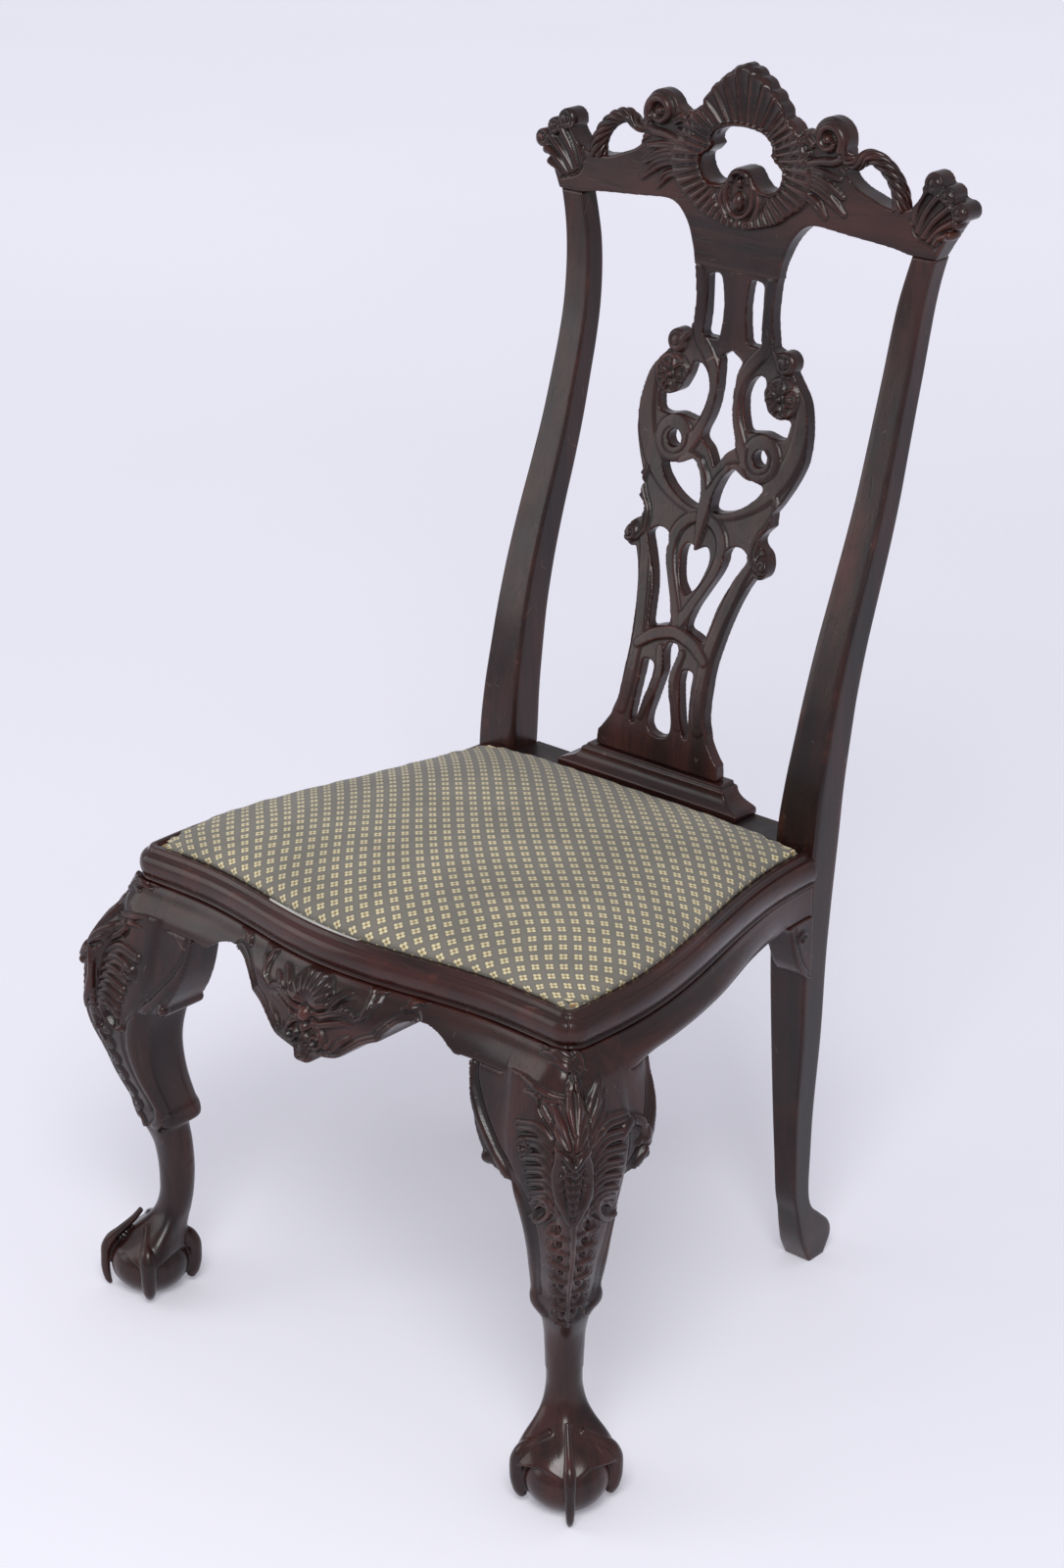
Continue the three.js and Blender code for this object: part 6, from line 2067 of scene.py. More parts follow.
@dataclass
class KneeCarving:
    """Acanthus carving of a knee, laid out as it is seen from the front along the diagonal."""

    eye: tuple[float, float, float] = (2157.7, -177.0, 1575.0)
    foot: float = 150.0
    front: Rows = (
        (150, -8), (165, -4), (184, 4), (204, 12), (228, 22), (252, 32), (278, 42), (292, 44.8),
        (312, 44.8), (336, 42), (352, 37), (366, 26), (384, 9), (400, 1), (440, -8),
    )

    def leaves(self, relief: Relief) -> None:
        """Leaves from the moulding down to the heart of the knee."""
        draw = relief.stroke
        draw(
            [(-21, 423), (-14, 421), (-6, 415), (2, 409), (9, 401)], (2.2, 3.6, 4.2, 4, 2),
            (2.6, 4.6, 5, 4.6, 2.4)
        )
        draw(
            [(-19, 416), (-12, 414), (-5, 409), (2, 404), (8, 399)], (2, 3.2, 3.6, 3.2, 1.6),
            (2.4, 4, 4.4, 4, 2)
        )
        draw([(-14, 408), (-8, 407), (-1, 402), (6, 397)], (1.8, 2.8, 3, 1.6), (2, 3.4, 3.6, 2))
        draw([(-6, 424), (1, 418), (7, 410), (10, 401)], (2, 3.2, 3.4, 2), (2.6, 4.4, 4.6, 2.4))
        draw(
            [(3, 401), (2.5, 388), (2.5, 376), (3, 360)], (1.6, 6, 6.6, 2.6), (2.2, 6.4, 6.6, 3.4),
            Cut.LEAF
        )
        draw(
            [(-3, 352), (-9, 364), (-17, 376), (-24, 384)], (3, 5.6, 6, 3), (3, 4.6, 4.6, 2.4),
            Cut.LEAF
        )
        draw(
            [(-5, 382), (-14, 384), (-24, 389), (-36, 398)], (1.4, 2.4, 2.6, 1), (2, 3.6, 3.6, 1.4)
        )
        draw(
            [(-8, 380), (-18, 381), (-27, 385), (-35, 388)], (1.4, 2.4, 2.4, 1), (2, 3.4, 3.2, 1.2)
        )
        draw([(-22, 372), (-24, 378), (-21, 383)], (1.8, 2.8, 1.8), (-2.2, -3, -2.2), Cut.SOFT)
        draw(
            [(4, 352), (10, 366), (17, 378), (24, 396)], (2.4, 4.4, 5, 1.8), (3, 5, 5, 1.8),
            Cut.LEAF
        )
        draw(
            [(6, 351), (14, 363), (21, 372), (27, 386)], (2, 3.6, 3.8, 1.6), (2.6, 4.2, 4.4, 1.6),
            Cut.LEAF
        )
        draw([(3, 350), (6, 364), (8, 376), (9, 388)], (2, 3, 3, 1.2), (2.4, 3.4, 3.4, 1.4))
        draw([(7, 349), (17, 357), (24, 364), (29, 372)], (2, 3, 3.2, 1.4), (2.4, 3.6, 3.8, 1.4))

    def fans(self, relief: Relief) -> None:
        """Lobes that fan to both sides of the heart, and the heart itself."""
        for order, (v, z) in enumerate(KNEE_FAN):
            root = z - 25 + 1.8 * order
            bend = (9.5 + 0.42 * (v - 9.5), root + 0.66 * (z - root) + 2.4)
            relief.stroke([(9.5, root), bend, (v, z)], (2.4, 4.2, 3.8), (3, 4.8, 3.6), Cut.LEAF)
            relief.stroke(
                [(-9.5, root), (-bend[0], bend[1] - 1), (1 - v, z - 3)], (2.4, 4.2, 3.8),
                (3, 4.6, 3.4), Cut.LEAF
            )
        relief.stroke(
            [(38, 358), (45, 368), (54, 367), (57, 359), (51, 354)], (2.6, 3.6, 3.8, 3.6, 2.4),
            (3, 5, 5.2, 4.8, 3)
        )
        relief.spiral((-38, 355), (5.6, 2.4), (-60, 280), (2.2, 1.6), (4, 4))
        for side in (1, -1):
            relief.dome((side * 25, 304), (6, 7.6), -4.2, 1.0)
            relief.stroke(
                [
                    (side * 32, 311), (side * 26, 315), (side * 19, 312), (side * 17, 304),
                    (side * 20, 297), (side * 27, 294), (side * 33, 299)
                ],
                (1.8, 2.4, 2.6, 2.6, 2.6, 2.4, 1.6), (3, 4.2, 4.6, 4.6, 4.4, 3.6, 2.4)
            )
            relief.stroke(
                [(side * 20, 306), (side * 25, 309), (side * 29, 305)], (1.4, 2, 1.2), (2, 3, 1.8)
            )
            relief.stroke(
                [
                    (side * 9, 347), (side * 11.6, 333), (side * 10, 317), (side * 6, 302),
                    (side * 1.5, 289)
                ],
                (2.2, 2.6, 2.6, 2.4, 1.8), (4.6, 6, 5.8, 4.6, 3)
            )
            for step in range(6):
                z = 297 + step * 6.6
                relief.stroke(
                    [
                        (side * 0.6, z), (side * (2.2 + 0.5 * step), z + 3.4),
                        (side * (3.6 + 0.75 * step), z + 8)
                    ],
                    (1.4, 2, 1.4), (1.8, 2.6, 1.8)
                )
        relief.stroke(
            [(-9, 349), (-4, 345), (1, 338), (6, 345), (11, 350)], (2.2, 2.6, 3, 2.6, 2.2),
            (4.4, 5.8, 6.6, 5.8, 4.4)
        )
        relief.dome((1, 333), (3.4, 5), 6.4)

    def chain(self, relief: Relief) -> None:
        """The stem and the chain of small leaves and hollows down the shin."""
        relief.stroke(
            [(1, 292), (1, 270), (1, 240), (0, 212), (0, 190), (0, 164)],
            (3.6, 3.6, 3.4, 3.2, 2.8, 1.2), (2.6, 3, 2.8, 2.6, 2.2, 1), Cut.SOFT
        )
        for step in range(7):
            z = 288 - step * 17.2
            v = 16.5 - step * 1.2
            size = 1 - 0.06 * step
            relief.dome((v - 5.2, z), (3.2 * size, 5.6 * size), -3.2, 1.0)
            relief.dome((5 - v, z - 4), (3 * size, 5 * size), -3, 1.0)
            relief.stroke(
                [(2.6, z - 13), (8, z - 9.5), (v + 1.5, z - 2), (v + 1, z + 5), (v - 3, z + 8)],
                (1.4, 2.3 * size, 2.7 * size, 2.3 * size, 1.2), (1.8, 3, 3.3, 2.8, 1.6), Cut.LEAF
            )
            relief.stroke(
                [
                    (-2.6, z - 17), (-8, z - 13.5), (-v - 1.5, z - 6), (-v - 1, z + 1),
                    (3 - v, z + 4)
                ],
                (1.4, 2.3 * size, 2.7 * size, 2.3 * size, 1.2), (1.8, 3, 3.3, 2.8, 1.6), Cut.LEAF
            )

    def edges(self, relief: Relief) -> None:
        """Beads down both edges of the knee."""
        for path in (KNEE_LEFT, KNEE_RIGHT):
            relief.stroke(path, (2.6, 2.6), (2.6, 2.4))
            inner = [(v - math.copysign(5.2, v), z) for v, z in path[:12]]
            relief.stroke(inner, (2.6, 2.2), (-1.3, -1.1), Cut.SOFT)

    def seen(self, points: np.ndarray) -> np.ndarray:
        """Where each place is seen against the leg's front line, as (across, up)."""
        out = ((points[:, 0] - PLAN.nose_half) - points[:, 1]) * HALF_ROOT
        across = ((points[:, 0] - PLAN.nose_half) + points[:, 1]) * HALF_ROOT
        line = np.asarray(self.front, float)
        up = points[:, 2].copy()
        share = np.ones(len(points))
        for _ in range(8):
            share = (self.eye[0] - np.interp(up, line[:, 0], line[:, 1])) / (self.eye[0] - out)
            up = 0.5 * up + 0.5 * (self.eye[2] + (points[:, 2] - self.eye[2]) * share)
        return np.stack([self.eye[1] + (across - self.eye[1]) * share, up], axis=1)

    def heights(self, points: np.ndarray, normals: np.ndarray) -> np.ndarray:
        """Carved height over a front leg and its brackets.

        Args:
            points: places on the surface of the right-hand leg.
            normals: directions of the surface there.
        Returns:
            Height at each place.
        """
        relief = Relief(self.seen(points))
        self.leaves(relief)
        self.fans(relief)
        self.chain(relief)
        self.edges(relief)
        facing = np.clip((normals @ DIAGONAL - 0.1) / 0.35, 0, 1)
        return relief.height * facing * (points[:, 2] > self.foot)


def cornered(loop: np.ndarray, amount: float) -> np.ndarray:
    """Rounds the front corner of a plan loop around the moulding's corner."""
    away = (loop - [PLAN.nose_half, 0]) * [1, -1] + PLAN.corner_round
    turned = (away > 0).all(axis=1)
    share = (away[turned].max(axis=1) / np.hypot(*away[turned].T)) ** amount
    result = loop.copy()
    drawn = away[turned] * share[:, None] - PLAN.corner_round
    result[turned] = drawn * [1, -1] + [PLAN.nose_half, 0]
    return result


WEIGHT_STEPS = 8


def softened(shape: Shape, weights: np.ndarray, rounds: int) -> Shape:
    """Smooths a form where it is weighted.

    Args:
        shape: the form.
        weights: share of the smoothing at each point.
        rounds: rounds of smoothing.
    Returns:
        The smoothed form.
    """

    def add(item: bpy.types.Object) -> None:
        """Adds the weights and the smoothing."""
        chosen = item.vertex_groups.new(name="soft")
        levels = np.round(weights * WEIGHT_STEPS).astype(int)
        for level in range(1, WEIGHT_STEPS + 1):
            chosen.add(np.flatnonzero(levels == level).tolist(), level / WEIGHT_STEPS, "REPLACE")
        soft = item.modifiers.new("soft", "SMOOTH")
        soft.factor = 0.5
        soft.iterations = rounds
        soft.vertex_group = "soft"

    return with_modifiers(shape, add)


def surface(shape: Shape) -> np.ndarray:
    """Directions of a shape's surface at its points."""
    mesh = mesh_of(shape, "surface")
    normals = read(mesh.vertex_normals, "vector", 3)
    bpy.data.meshes.remove(mesh)
    return normals


@dataclass
class FrontLeg:
    """A cabriole leg with its carved knee and its claw and ball foot, and its two brackets."""

    blank: float = 50.0
    knee: float = 300.0
    drop: float = 51.0
    top_share: float = 1.3
    leaf_radius: float = 7.0
    sides: int = 56
    grain: float = 1.0
    bracket_drop: float = 84.0
    bracket_back: float = 16.0
    roll: float = 6.5
    front_joint: float = 209.5
    side_joint: float = 41.0
    joint_foot: float = 290.0
    carving: KneeCarving = field(default_factory=KneeCarving)

    def height(self, rise: np.ndarray) -> np.ndarray:
        """Height of a row."""
        above = (PLAN.seat_top - self.drop - self.knee) / (self.top_share - 1)
        return np.minimum(rise, 1) * self.knee + np.maximum(rise - 1, 0) * above

    def shaft(self) -> Shape:
        """The cabriole shaft."""
        rows = spline(LEG_ROWS, 7)
        rows = rows[rows[:, 0] * self.knee > 112]
        turn = np.linspace(0, 2 * np.pi, self.sides, endpoint=False)
        rings = []
        for rise, out, inner, square in rows:
            reach_out, reach_in = self.blank * out, self.blank * inner
            half, middle = (reach_out + reach_in) / 2, (reach_out - reach_in) / 2
            cos, sin = np.cos(turn), np.sin(turn)
            corner = (cos > 0) & (sin < 0)
            power = 2 / np.where(corner, min(square, 5.0), max(square, 2.0))
            x = PLAN.nose_half + middle + half * np.sign(cos) * np.abs(cos) ** power
            y = -middle + half * np.sign(sin) * np.abs(sin) ** power
            z = float(self.height(np.array(rise)))
            loop = cornered(np.stack([x, y], axis=1), float(eased(352, 380, z)))
            rings.append(np.column_stack([loop, np.full_like(x, z)]))
        return outward(lofted(np.array(rings)))

    def block(self) -> Shape:
        """The square top that runs on from the rails."""
        foot = PLAN.seat_top - PLAN.block - 4
        rings = []
        levels = [(z, 0.0) for z in np.linspace(foot, PLAN.face_top - PLAN.clearance, 16)]
        levels += [(PLAN.face_top - 0.2, PLAN.ledge_set), (PLAN.ledge_top, PLAN.ledge_set)]
        for z, inset in levels:
            out = at_one(face_out, z) if inset == 0 else 0.0
            x = np.linspace(
                PLAN.block_inner - 2, PLAN.nose_half + out * PLAN.side_share - inset, 60
            )
            front = np.stack(
                [x, PLAN.front_nose(np.minimum(x, PLAN.nose_half)) - out + inset], axis=1
            )
            y = np.linspace(front[-1, 1], PLAN.block + 2, 60)[1:]
            side = np.stack(
                [PLAN.side_nose(np.maximum(y, 0)) + out * PLAN.side_share - inset, y], axis=1
            )
            back = np.array([[PLAN.block_inner - 2, PLAN.block + 2]])
            loop = cornered(np.vstack([front, side, back]), 1.0)
            rings.append(np.column_stack([loop, z - PLAN.fall(loop[:, 1])]))
        return outward(lofted(np.array(rings)))

    def placed(self, shape: Shape, turn: float) -> Shape:
        """Turns a form in the diagonal's plane to its quarter and stands it on the foot's place."""
        out, across, up = shape.points.T
        cos, sin = math.cos(turn), math.sin(turn)
        out, across = out * cos - across * sin, out * sin + across * cos
        x = PLAN.nose_half + (out + across) * HALF_ROOT
        y = (across - out) * HALF_ROOT
        return outward(Shape(np.stack([x, y, up], axis=1), shape.faces))

    def foot(self) -> list[Shape]:
        """Ball, claws and the webbed skin over them."""
        forms = [ball((PLAN.nose_half, 0, 27.5), (36, 36, 30), 56)]
        turn = np.linspace(0, 2 * np.pi, 72, endpoint=False)
        rings = []
        cos, sin, toes = np.cos(turn), np.sin(turn), np.abs(np.cos(2 * turn))
        for z, outer, inner, half, web, middle in spline(FOOT_SKIN, 6):
            ahead = np.where(cos > 0, outer - middle, middle - inner)
            reach = 1 / np.sqrt((cos / ahead) ** 2 + (sin / half) ** 2)
            reach = reach * (web + (1 - web) * toes**2.6)
            up = z - 7 * eased(62, 46.6, z) * toes**3
            rings.append(np.stack([middle + reach * cos, reach * sin, up], axis=1))
        forms.append(self.placed(lofted(np.array(rings)), 0))
        for quarter in range(4):
            rows = CLAW if quarter else FRONT_CLAW
            path = spline([(out, 0, z) for out, z, _ in rows], 8)
            girth = np.interp(
                np.linspace(0, 1, len(path)), np.linspace(0, 1, len(rows)), [row[2] for row in rows]
            )
            forms.append(self.placed(tube(path, girth, 18), quarter * math.pi / 2))
        return forms

    def leaf(self) -> Shape:
        """The full corner of the knee."""
        path = spline(
            [
                (out * self.blank - 6, 0, float(self.height(np.array(rise))))
                for out, rise in KNEE_LEAF
            ],
            6
        )
        radii = np.interp(
            np.linspace(0, 1, len(path)), (0, 0.15, 0.8, 1),
            (9, self.leaf_radius + 6, self.leaf_radius + 5, 8)
        )
        return self.placed(tube(path, radii, 18), 0)

    def bracket(self, beside: bool) -> Shape:
        """A knee bracket under the front rail or, turned over, under the side rail."""
        top = PLAN.bracket_top
        reach = 34.0 if beside else 36.0
        at = lambda row: (-row[0] * reach, top - row[1] * self.bracket_drop)
        edge = spline([at(row) for row in BRACKET], 5)
        root = at((-0.45, 0.98))
        end = arc(*at((0.15, 0.86)), self.roll, 150, 300)
        loop = clean_loop(np.vstack([[[27, top]], edge, end, [root], [[27, root[1]]]]))
        if not beside:
            blank = remeshed(board([loop + [PLAN.block_inner, 0]], 0, self.bracket_back), 1.0)
            x, depth, z = blank.points.T
            out = face_out(z)
            share = np.clip(1 - depth / self.bracket_back, 0, 1)
            return settled(x, PLAN.front_nose(x) - out * share + depth, z, blank.faces)
        flipped = loop * [-1, 1] + [PLAN.block, 0]
        blank = remeshed(board([flipped], 0, self.bracket_back, Bent.ALONG), 1.0)
        depth, y, z = blank.points.T
        lift = PLAN.side_share * face_out(np.full_like(z, top)) - side_out(y, np.full_like(z, top))
        out = face_out(z) * PLAN.side_share - lift * eased(top - 55, top, z)
        share = np.clip(1 - depth / self.bracket_back, 0, 1)
        return settled(PLAN.side_nose(y) + out * share - depth, y, z, blank.faces)

    def rolls(self) -> list[Shape]:
        """Small balls that end the brackets."""
        z = PLAN.bracket_top - 0.85 * self.bracket_drop
        ahead, beside = PLAN.block_inner - self.roll, PLAN.block + 6.0
        out = at_one(face_out, z)
        front = at_one(PLAN.front_nose, ahead) - out + 3
        side = at_one(PLAN.side_nose, beside) + out * PLAN.side_share - 3
        return [ball((ahead, front, z), (6.3, 7, 6.3)), ball((side, beside, z - 1), (7, 6.3, 6.3))]

    def finish(self, shape: Shape) -> Shape:
        """Smooths and carves a form of the leg."""
        facing = np.clip((surface(shape) @ DIAGONAL - 0.3) / 0.3, 0, 1)
        z = shape.points[:, 2]
        shape = softened(shape, facing * eased(215, 300, z) * (1 - eased(380, 397, z)), 90)
        normals = surface(shape)
        height = self.carving.heights(shape.points, normals)
        return Shape(shape.points + normals * height[:, None], shape.faces)

    def parted(self, shape: Shape) -> list[tuple[str, Shape]]:
        """Parts the carved skin into the leg and its two brackets along their joints."""
        faces = np.asarray(shape.faces)
        middle = shape.points[faces].mean(axis=1)
        ceiling = PLAN.seat_top - 57.6 - PLAN.fall(middle[:, 1])
        low = (middle[:, 2] < ceiling) & (middle[:, 2] > self.joint_foot)
        ahead = low & (middle[:, 0] < self.front_joint)
        beside = low & (middle[:, 1] > self.side_joint) & ~ahead
        found = []
        rest = ~(ahead | beside)
        for name, chosen in (
            ("knee_bracket_front", ahead), ("knee_bracket_side", beside), ("front_leg", rest)
        ):
            kept = faces[chosen]
            used, fresh = np.unique(kept, return_inverse=True)
            found.append((name, Shape(shape.points[used], fresh.reshape(kept.shape))))
        return found

    def build(self) -> None:
        """Builds, carves and places both legs and their brackets."""
        brackets = [self.bracket(False), self.bracket(True), *self.rolls()]
        whole = self.shaft().joined(self.block(), self.leaf(), *self.foot(), *brackets)
        whole = remeshed(whole, self.grain, 5)
        points = whole.points.copy()
        points[:, 2] = np.maximum(points[:, 2], 0)
        skin = self.finish(outward(Shape(points, whole.faces)))
        for node, shape in self.parted(skin):
            place_pair(node, "carved", shape, LEG)


# --------------------------------------------------------------------------- drop-in seat


EDGE_STRIP = ((21.0, 436.5), (17.6, 440.0), (14.4, 441.8), (11.2, 441.7))


@dataclass
class Seat:
    """The loose seat: frame, webbing, hessian, stuffing and cover."""

    inset: float = 17.3
    rear_gap: float = 1.5
    crown: float = 38.5
    skirt: float = 12.0
    shoulder: float = 0.48
    foot: float = 424.9
    bulge: float = 6.0
    cells: int = 150
    strip_run: Pair = (-118.0, 62.0)
    strip_seat: Pair = (17.6, 437.5)
    strip_count: int = 91

    def plan(self, u: np.ndarray, v: np.ndarray, inset: float) -> tuple[np.ndarray, np.ndarray]:
        """Place in plan of shares across (-1 to 1) and back (0 to 1)."""
        rear = PLAN.depth - self.rear_gap - (inset - self.inset)
        rough = inset + v * (rear - inset)
        x = u * (PLAN.side_nose(rough) - inset)
        front = PLAN.front_nose(x) + inset
        return x, front + v * (rear - front)

    def crowned(self, u: np.ndarray, v: np.ndarray, crown: float) -> np.ndarray:
        """Height of the cushion over its edge."""
        w = 2 * v - 1
        edge = np.clip((1 - u**4) * (1 - w**4), 0, 1)
        return crown * edge**self.shoulder * (0.74 + 0.26 * (1 - u**2) * (1 - w**2))

    def puckers(self, u: np.ndarray, v: np.ndarray) -> np.ndarray:
        """Gathers of the cloth near the cushion's edges."""
        w = 2 * v - 1
        from_edge = 1 - np.maximum(np.abs(u), np.abs(w))
        band = np.exp(-((from_edge - 0.04) / 0.04) ** 2)
        along = np.where(np.abs(u) > np.abs(w), w * 9.5, u * 9.0)
        corner = np.abs(u * w) ** 3
        slow = np.sin(along * 3.1 + 0.8 * np.sin(along * 1.7))
        return band * (slow * 0.45 + np.sin(along * 7.3 + 1.1) * corner * 1.5)

    def sheet(
        self, inset: float, crown: float, lift: float, skirt: float, closed: bool
    ) -> tuple[Shape, np.ndarray]:
        """A crowned surface over the seat.

        Args:
            inset: distance in from the nose line.
            crown: height of the crown.
            lift: height of its edge over the rebate.
            skirt: depth of the turned-down edge.
            closed: whether it is closed underneath.
        Returns:
            The shape and the cloth's own coordinates in millimetres.
        """
        count = self.cells
        share = np.linspace(-1, 1, count + 1)
        share = np.sign(share) * (1 - (1 - np.abs(share)) ** 1.25)
        u, w = np.meshgrid(share, share, indexing="xy")
        v = (w + 1) / 2
        x, y = self.plan(u, v, inset)
        rise = self.crowned(u, v, crown) + self.puckers(u, v)
        swell = self.bulge * np.sin(np.pi * np.clip((rise - 3) / 22, 0, 1)) ** 0.8
        pull = 1 - 0.35 * np.cos(np.pi * np.abs(u * (2 * v - 1)))
        side = eased(0.8, 1.0, np.abs(u)) * np.sign(u)
        ahead = eased(0.62, 1.0, 1 - v) - 0.35 * eased(0.9, 1.0, v)
        x = x + swell * side * pull
        y = y - swell * ahead * pull
        z = lift + rise - PLAN.fall(y)
        top = np.stack([x, y, z], axis=2)
        step_x = np.linalg.norm(np.diff(top, axis=1), axis=2)
        step_y = np.linalg.norm(np.diff(top, axis=0), axis=2)
        along = np.concatenate([np.zeros((count + 1, 1)), np.cumsum(step_x, axis=1)], axis=1)
        along -= along[:, count // 2 : count // 2 + 1]
        back = np.concatenate([np.zeros((1, count + 1)), np.cumsum(step_y, axis=0)], axis=0)
        back = np.broadcast_to(back[:, count // 2 : count // 2 + 1], back.shape)
        points = top.reshape(-1, 3)
        cloth = np.stack([along.ravel(), back.ravel()], axis=1)
        grid = np.arange((count + 1) ** 2).reshape(count + 1, count + 1)
        faces = quads_of(grid)
        rim = np.concatenate([grid[0, :-1], grid[:-1, -1], grid[-1, :0:-1], grid[:0:-1, 0]])
        quads = [tuple(face) for face in faces]
        levels = [rim]
        all_points, all_cloth = [points], [cloth]
        start = len(points)
        for level in range(1, 5):
            lower = points[rim].copy()
            drop = skirt * level / 4
            lower[:, 2] -= drop
            outwards = cloth[rim] - cloth.mean(axis=0)
            outwards /= np.linalg.norm(outwards, axis=1)[:, None]
            all_points.append(lower)
            all_cloth.append(cloth[rim] + outwards * drop)
            levels.append(start + np.arange(len(rim)))
            start += len(rim)
        for high, low in zip(levels[:-1], levels[1:]):
            after_high, after_low = np.roll(high, -1), np.roll(low, -1)
            quads.extend(zip(high, low, after_low, after_high))
        if closed:
            quads.append(tuple(levels[-1][::-1]))
        faces = [tuple(int(i) for i in quad) for quad in quads]
        return Shape(np.vstack(all_points), faces), np.vstack(all_cloth)

    def cover(self) -> bpy.types.Object:
        """The seat's cloth."""
        shape, cloth = self.sheet(self.inset, self.crown, self.foot + self.skirt, self.skirt, False)
        item = Piece("seat_cover_cloth", shape, SEAT_CLOTH, ("seat_cover",), SEAT_BODY).place()
        layer = item.data.uv_layers.new(name="cloth")
        corners = np.empty(len(item.data.loops), int)
        item.data.loops.foreach_get("vertex_index", corners)
        layer.data.foreach_set("uv", (cloth[corners] * MM).ravel())
        width, length = np.ptp(cloth, axis=0) * MM
        return item

    def edging(self) -> bpy.types.Object:
        """The strip of lining that shows between cushion and moulding at the front."""
        count = self.strip_count
        x = np.linspace(*self.strip_run, count)
        ease = np.sin(np.pi * np.linspace(0, 1, count)) ** 0.35
        near, foot = self.strip_seat
        rows = []
        for inset, z in EDGE_STRIP:
            y = PLAN.front_nose(x) + near + (inset - near) * ease
            rows.append(np.stack([x, y, foot + (z - foot) * ease - PLAN.fall(y)], axis=1))
        grid = np.arange(len(rows) * count).reshape(len(rows), count)
        quads = quads_of(grid)
        item = Piece(
            "seat_edge_lining",
            Shape(np.vstack(rows), [tuple(int(i) for i in quad) for quad in quads]), EDGING,
            ("seat_cover",), SEAT_BODY
        ).place()
        return item

    def pad(self) -> bpy.types.Object:
        """The stuffing under the cover."""
        shape, _ = self.sheet(
            self.inset + 2.2, self.crown - 2.6, self.foot + self.skirt - 0.8, 8.0, True
        )
        item = Piece("seat_pad_stuffing", shape, WADDING, ("seat_pad",), SEAT_BODY).place()
        return item


@dataclass(frozen=True)
class Strap:
    """A flat strap or cloth under the stuffing, in the place of a thin solid."""

    node: str
    finish: Finish
    whole: bool = False
    cell: float = 6.0
    least_inset: float = 18.5

    def place(self) -> bpy.types.Object:
        """Lays the upper face of the thin solid anew as fine cloth."""
        low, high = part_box(self.node)
        low, high = np.array(low) / MM - [0, SHIFT, 0], np.array(high) / MM - [0, SHIFT, 0]
        counts = [max(int((high[axis] - low[axis]) / self.cell), 6) for axis in (0, 1)]
        u, v = np.meshgrid(
            np.linspace(-1, 1, counts[0] + 1), np.linspace(0, 1, counts[1] + 1), indexing="xy"
        )
        y = low[1] + v * (high[1] - low[1])
        middle = (low[2] + high[2]) / 2
        if self.whole:
            inset = max(at_one(PLAN.side_nose, low[1] + 60) - high[0], self.least_inset)
            x = u * np.minimum(PLAN.side_nose(y) - inset, high[0])
            y = np.maximum(y, PLAN.front_nose(x) + inset)
        else:
            x = (low[0] + high[0]) / 2 + u * (high[0] - low[0]) / 2
        z = middle + PLAN.fall((low[1] + high[1]) / 2) - PLAN.fall(y)
        points = np.stack([x.ravel(), y.ravel(), z.ravel()], axis=1)
        grid = np.arange(x.size).reshape(x.shape)
        faces = quads_of(grid)
        name = f"{self.node}_cloth" if self.whole else f"{self.node}_strap"
        item = Piece(name, Shape(points, faces), self.finish, (self.node,), SEAT_BODY).place()
        return item


# --------------------------------------------------------------------------- room and camera


LAMPS = (("key", (1.6, -2.0, 3.0), 1.5, 73), ("fill", (-2.8, -2.4, 1.7), 2.2, 26))


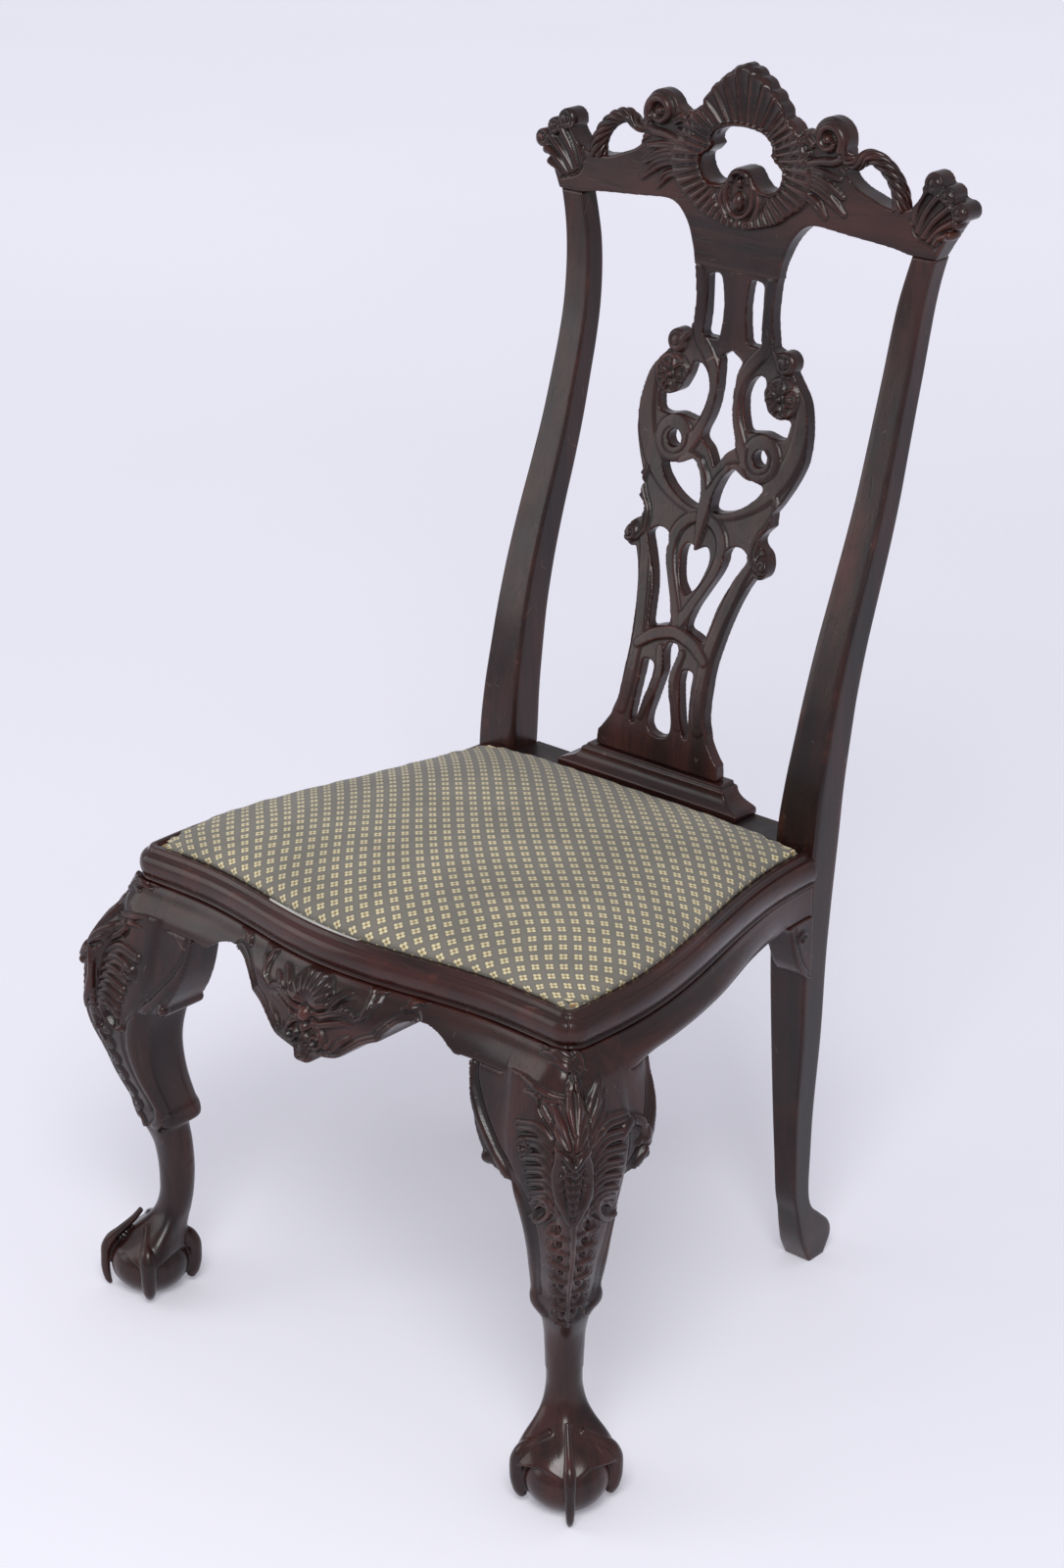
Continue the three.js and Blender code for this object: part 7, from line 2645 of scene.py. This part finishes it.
@dataclass
class Room:
    """Floor, light and camera."""

    eye: tuple[float, float, float] = (1.651, -1.89943, 1.575)
    yaw: float = -0.717
    pitch: float = -0.407
    roll: float = 0.002
    lens: float = 72.75
    floor_half: float = 16.0
    away: tuple[float, float, float] = (-0.657, 0.754, 0.0)

    def camera(self) -> None:
        """Places the camera where the photograph was taken from."""
        yaw, pitch, roll = self.yaw, self.pitch, self.roll
        ahead = Vector(
            (math.cos(pitch) * math.sin(yaw), math.cos(pitch) * math.cos(yaw), math.sin(pitch))
        )
        level = Vector((math.cos(yaw), -math.sin(yaw), 0))
        above = level.cross(ahead)
        right = level * math.cos(roll) + above * math.sin(roll)
        up = above * math.cos(roll) - level * math.sin(roll)
        data = bpy.data.cameras.new("photograph")
        data.lens = self.lens
        data.sensor_width = 36
        data.clip_end = 80
        item = linked("photograph", data)
        turn = Matrix((right, up, -ahead)).transposed().to_4x4()
        item.matrix_world = Matrix.Translation(Vector(self.eye)) @ turn
        bpy.context.scene.camera = item

    def floor(self) -> None:
        """A pale floor that fades into the background."""
        mesh = bpy.data.meshes.new("floor")
        half = self.floor_half
        corners = [(-half, -half, 0), (half, -half, 0), (half, half, 0), (-half, half, 0)]
        mesh.from_pydata(corners, [], [(0, 1, 2, 3)])
        item = linked("floor", mesh)
        made = bpy.data.materials.new("pale floor")
        made.use_nodes = True
        desk = Desk(made.node_tree)
        shader = made.node_tree.nodes["Principled BSDF"]
        where = desk.place()
        cloud = desk.ramp(desk.noise(where, 0.7, 2.0), 0.3, 0.7)
        colour = desk.mix(cloud, linear(224, 224, 232), linear(228, 228, 235))
        desk.fill(shader, Base_Color=colour, Roughness=0.9, Specular_IOR_Level=0.1)
        away = desk.vector("DOT_PRODUCT", where, self.away).outputs["Value"]
        ray = desk.node("ShaderNodeLightPath").outputs
        shown = desk.maths("ADD", ray["Is Camera Ray"], ray["Is Glossy Ray"], clamp=True)
        lift = desk.maths("MULTIPLY", desk.ramp(away, -0.8, 5.0, 0.36, 0.86), shown)
        glow = desk.mix(lift, (0.0, 0.0, 0.0, 1.0), linear(178, 176, 184))
        desk.fill(shader, Emission_Color=glow, Emission_Strength=1.0)
        mesh.materials.append(made)

    def lamp(self, name: str, place: Vector, size: float, power: float, aim: Vector) -> None:
        """Adds a soft square lamp."""
        data = bpy.data.lights.new(name, "AREA")
        data.size = size
        data.energy = power
        item = linked(name, data)
        item.location = place
        item.rotation_euler = (aim - place).to_track_quat("-Z", "Y").to_euler()

    def light(self) -> None:
        """Soft studio light from the front, right and above."""
        world = bpy.data.worlds.new("room")
        world.use_nodes = True
        back = world.node_tree.nodes["Background"]
        back.inputs["Color"].default_value = linear(237, 237, 246)
        desk = Desk(world.node_tree)
        ray = desk.node("ShaderNodeLightPath")
        seen = desk.maths("MULTIPLY", ray.outputs["Is Camera Ray"], 0.37)
        desk.feed(back.inputs["Strength"], desk.maths("ADD", seen, 0.6))
        bpy.context.scene.world = world
        middle = Vector((0, 0, 0.5))
        for name, place, size, power in LAMPS:
            self.lamp(name, Vector(place), size, power, middle)

    def build(self) -> None:
        """Builds the room."""
        self.camera()
        self.floor()
        self.light()
        bpy.context.scene.view_settings.view_transform = "Standard"


@dataclass(frozen=True)
class Kept:
    """A solid that stays, with eased edges and a finish."""

    node: str
    finish: Finish
    ease: float = 0.8

    def dress(self) -> None:
        """Eases the solid's edges and gives it its finish."""
        item = bpy.data.objects[self.node]
        bevel = item.modifiers.new("eased edges", "BEVEL")
        bevel.width = self.ease * MM
        bevel.segments = 2
        bevel.angle_limit = math.radians(35)
        item.data.materials.clear()
        item.data.materials.append(self.finish.material())
        log.info("%s kept", self.node)


def main() -> None:
    """Builds the room and every sub-assembly in order."""
    logging.basicConfig(level=logging.INFO, format="%(message)s")
    Room().build()
    for part in (
        Crest(), Splat(), Shoe(), Posts(), Moulding(), FrontRail(), SideRail(), RearBracket(),
        FrontLeg()
    ):
        part.build()
    seat = Seat()
    seat.pad()
    seat.cover()
    seat.edging()
    for way in (
        "long_left", "long_middle", "long_right", "cross_front", "cross_middle", "cross_rear"
    ):
        Strap(f"webbing_{way}", STRAP).place()
    Strap("hessian", SACKING, True).place()
    Strap("dust_cover", LINING, True).place()
    kept = [Kept("rear_rail", CROSSWISE)]
    for place in ("front", "rear"):
        kept.append(Kept(f"seat_frame_{place}", BEECH_ACROSS))
    for name, _ in SIDES:
        kept.append(Kept(f"seat_frame_side_{name}", BEECH_ALONG))
        kept.append(Kept(f"corner_block_front_{name}", BEECH_ACROSS))
        kept.append(Kept(f"corner_block_rear_{name}", BEECH_ACROSS))
        kept.append(Kept(f"block_screw_{name}", STEEL, 0.2))
    for item in kept:
        item.dress()


if __name__ == "__main__":
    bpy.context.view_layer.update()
    main()
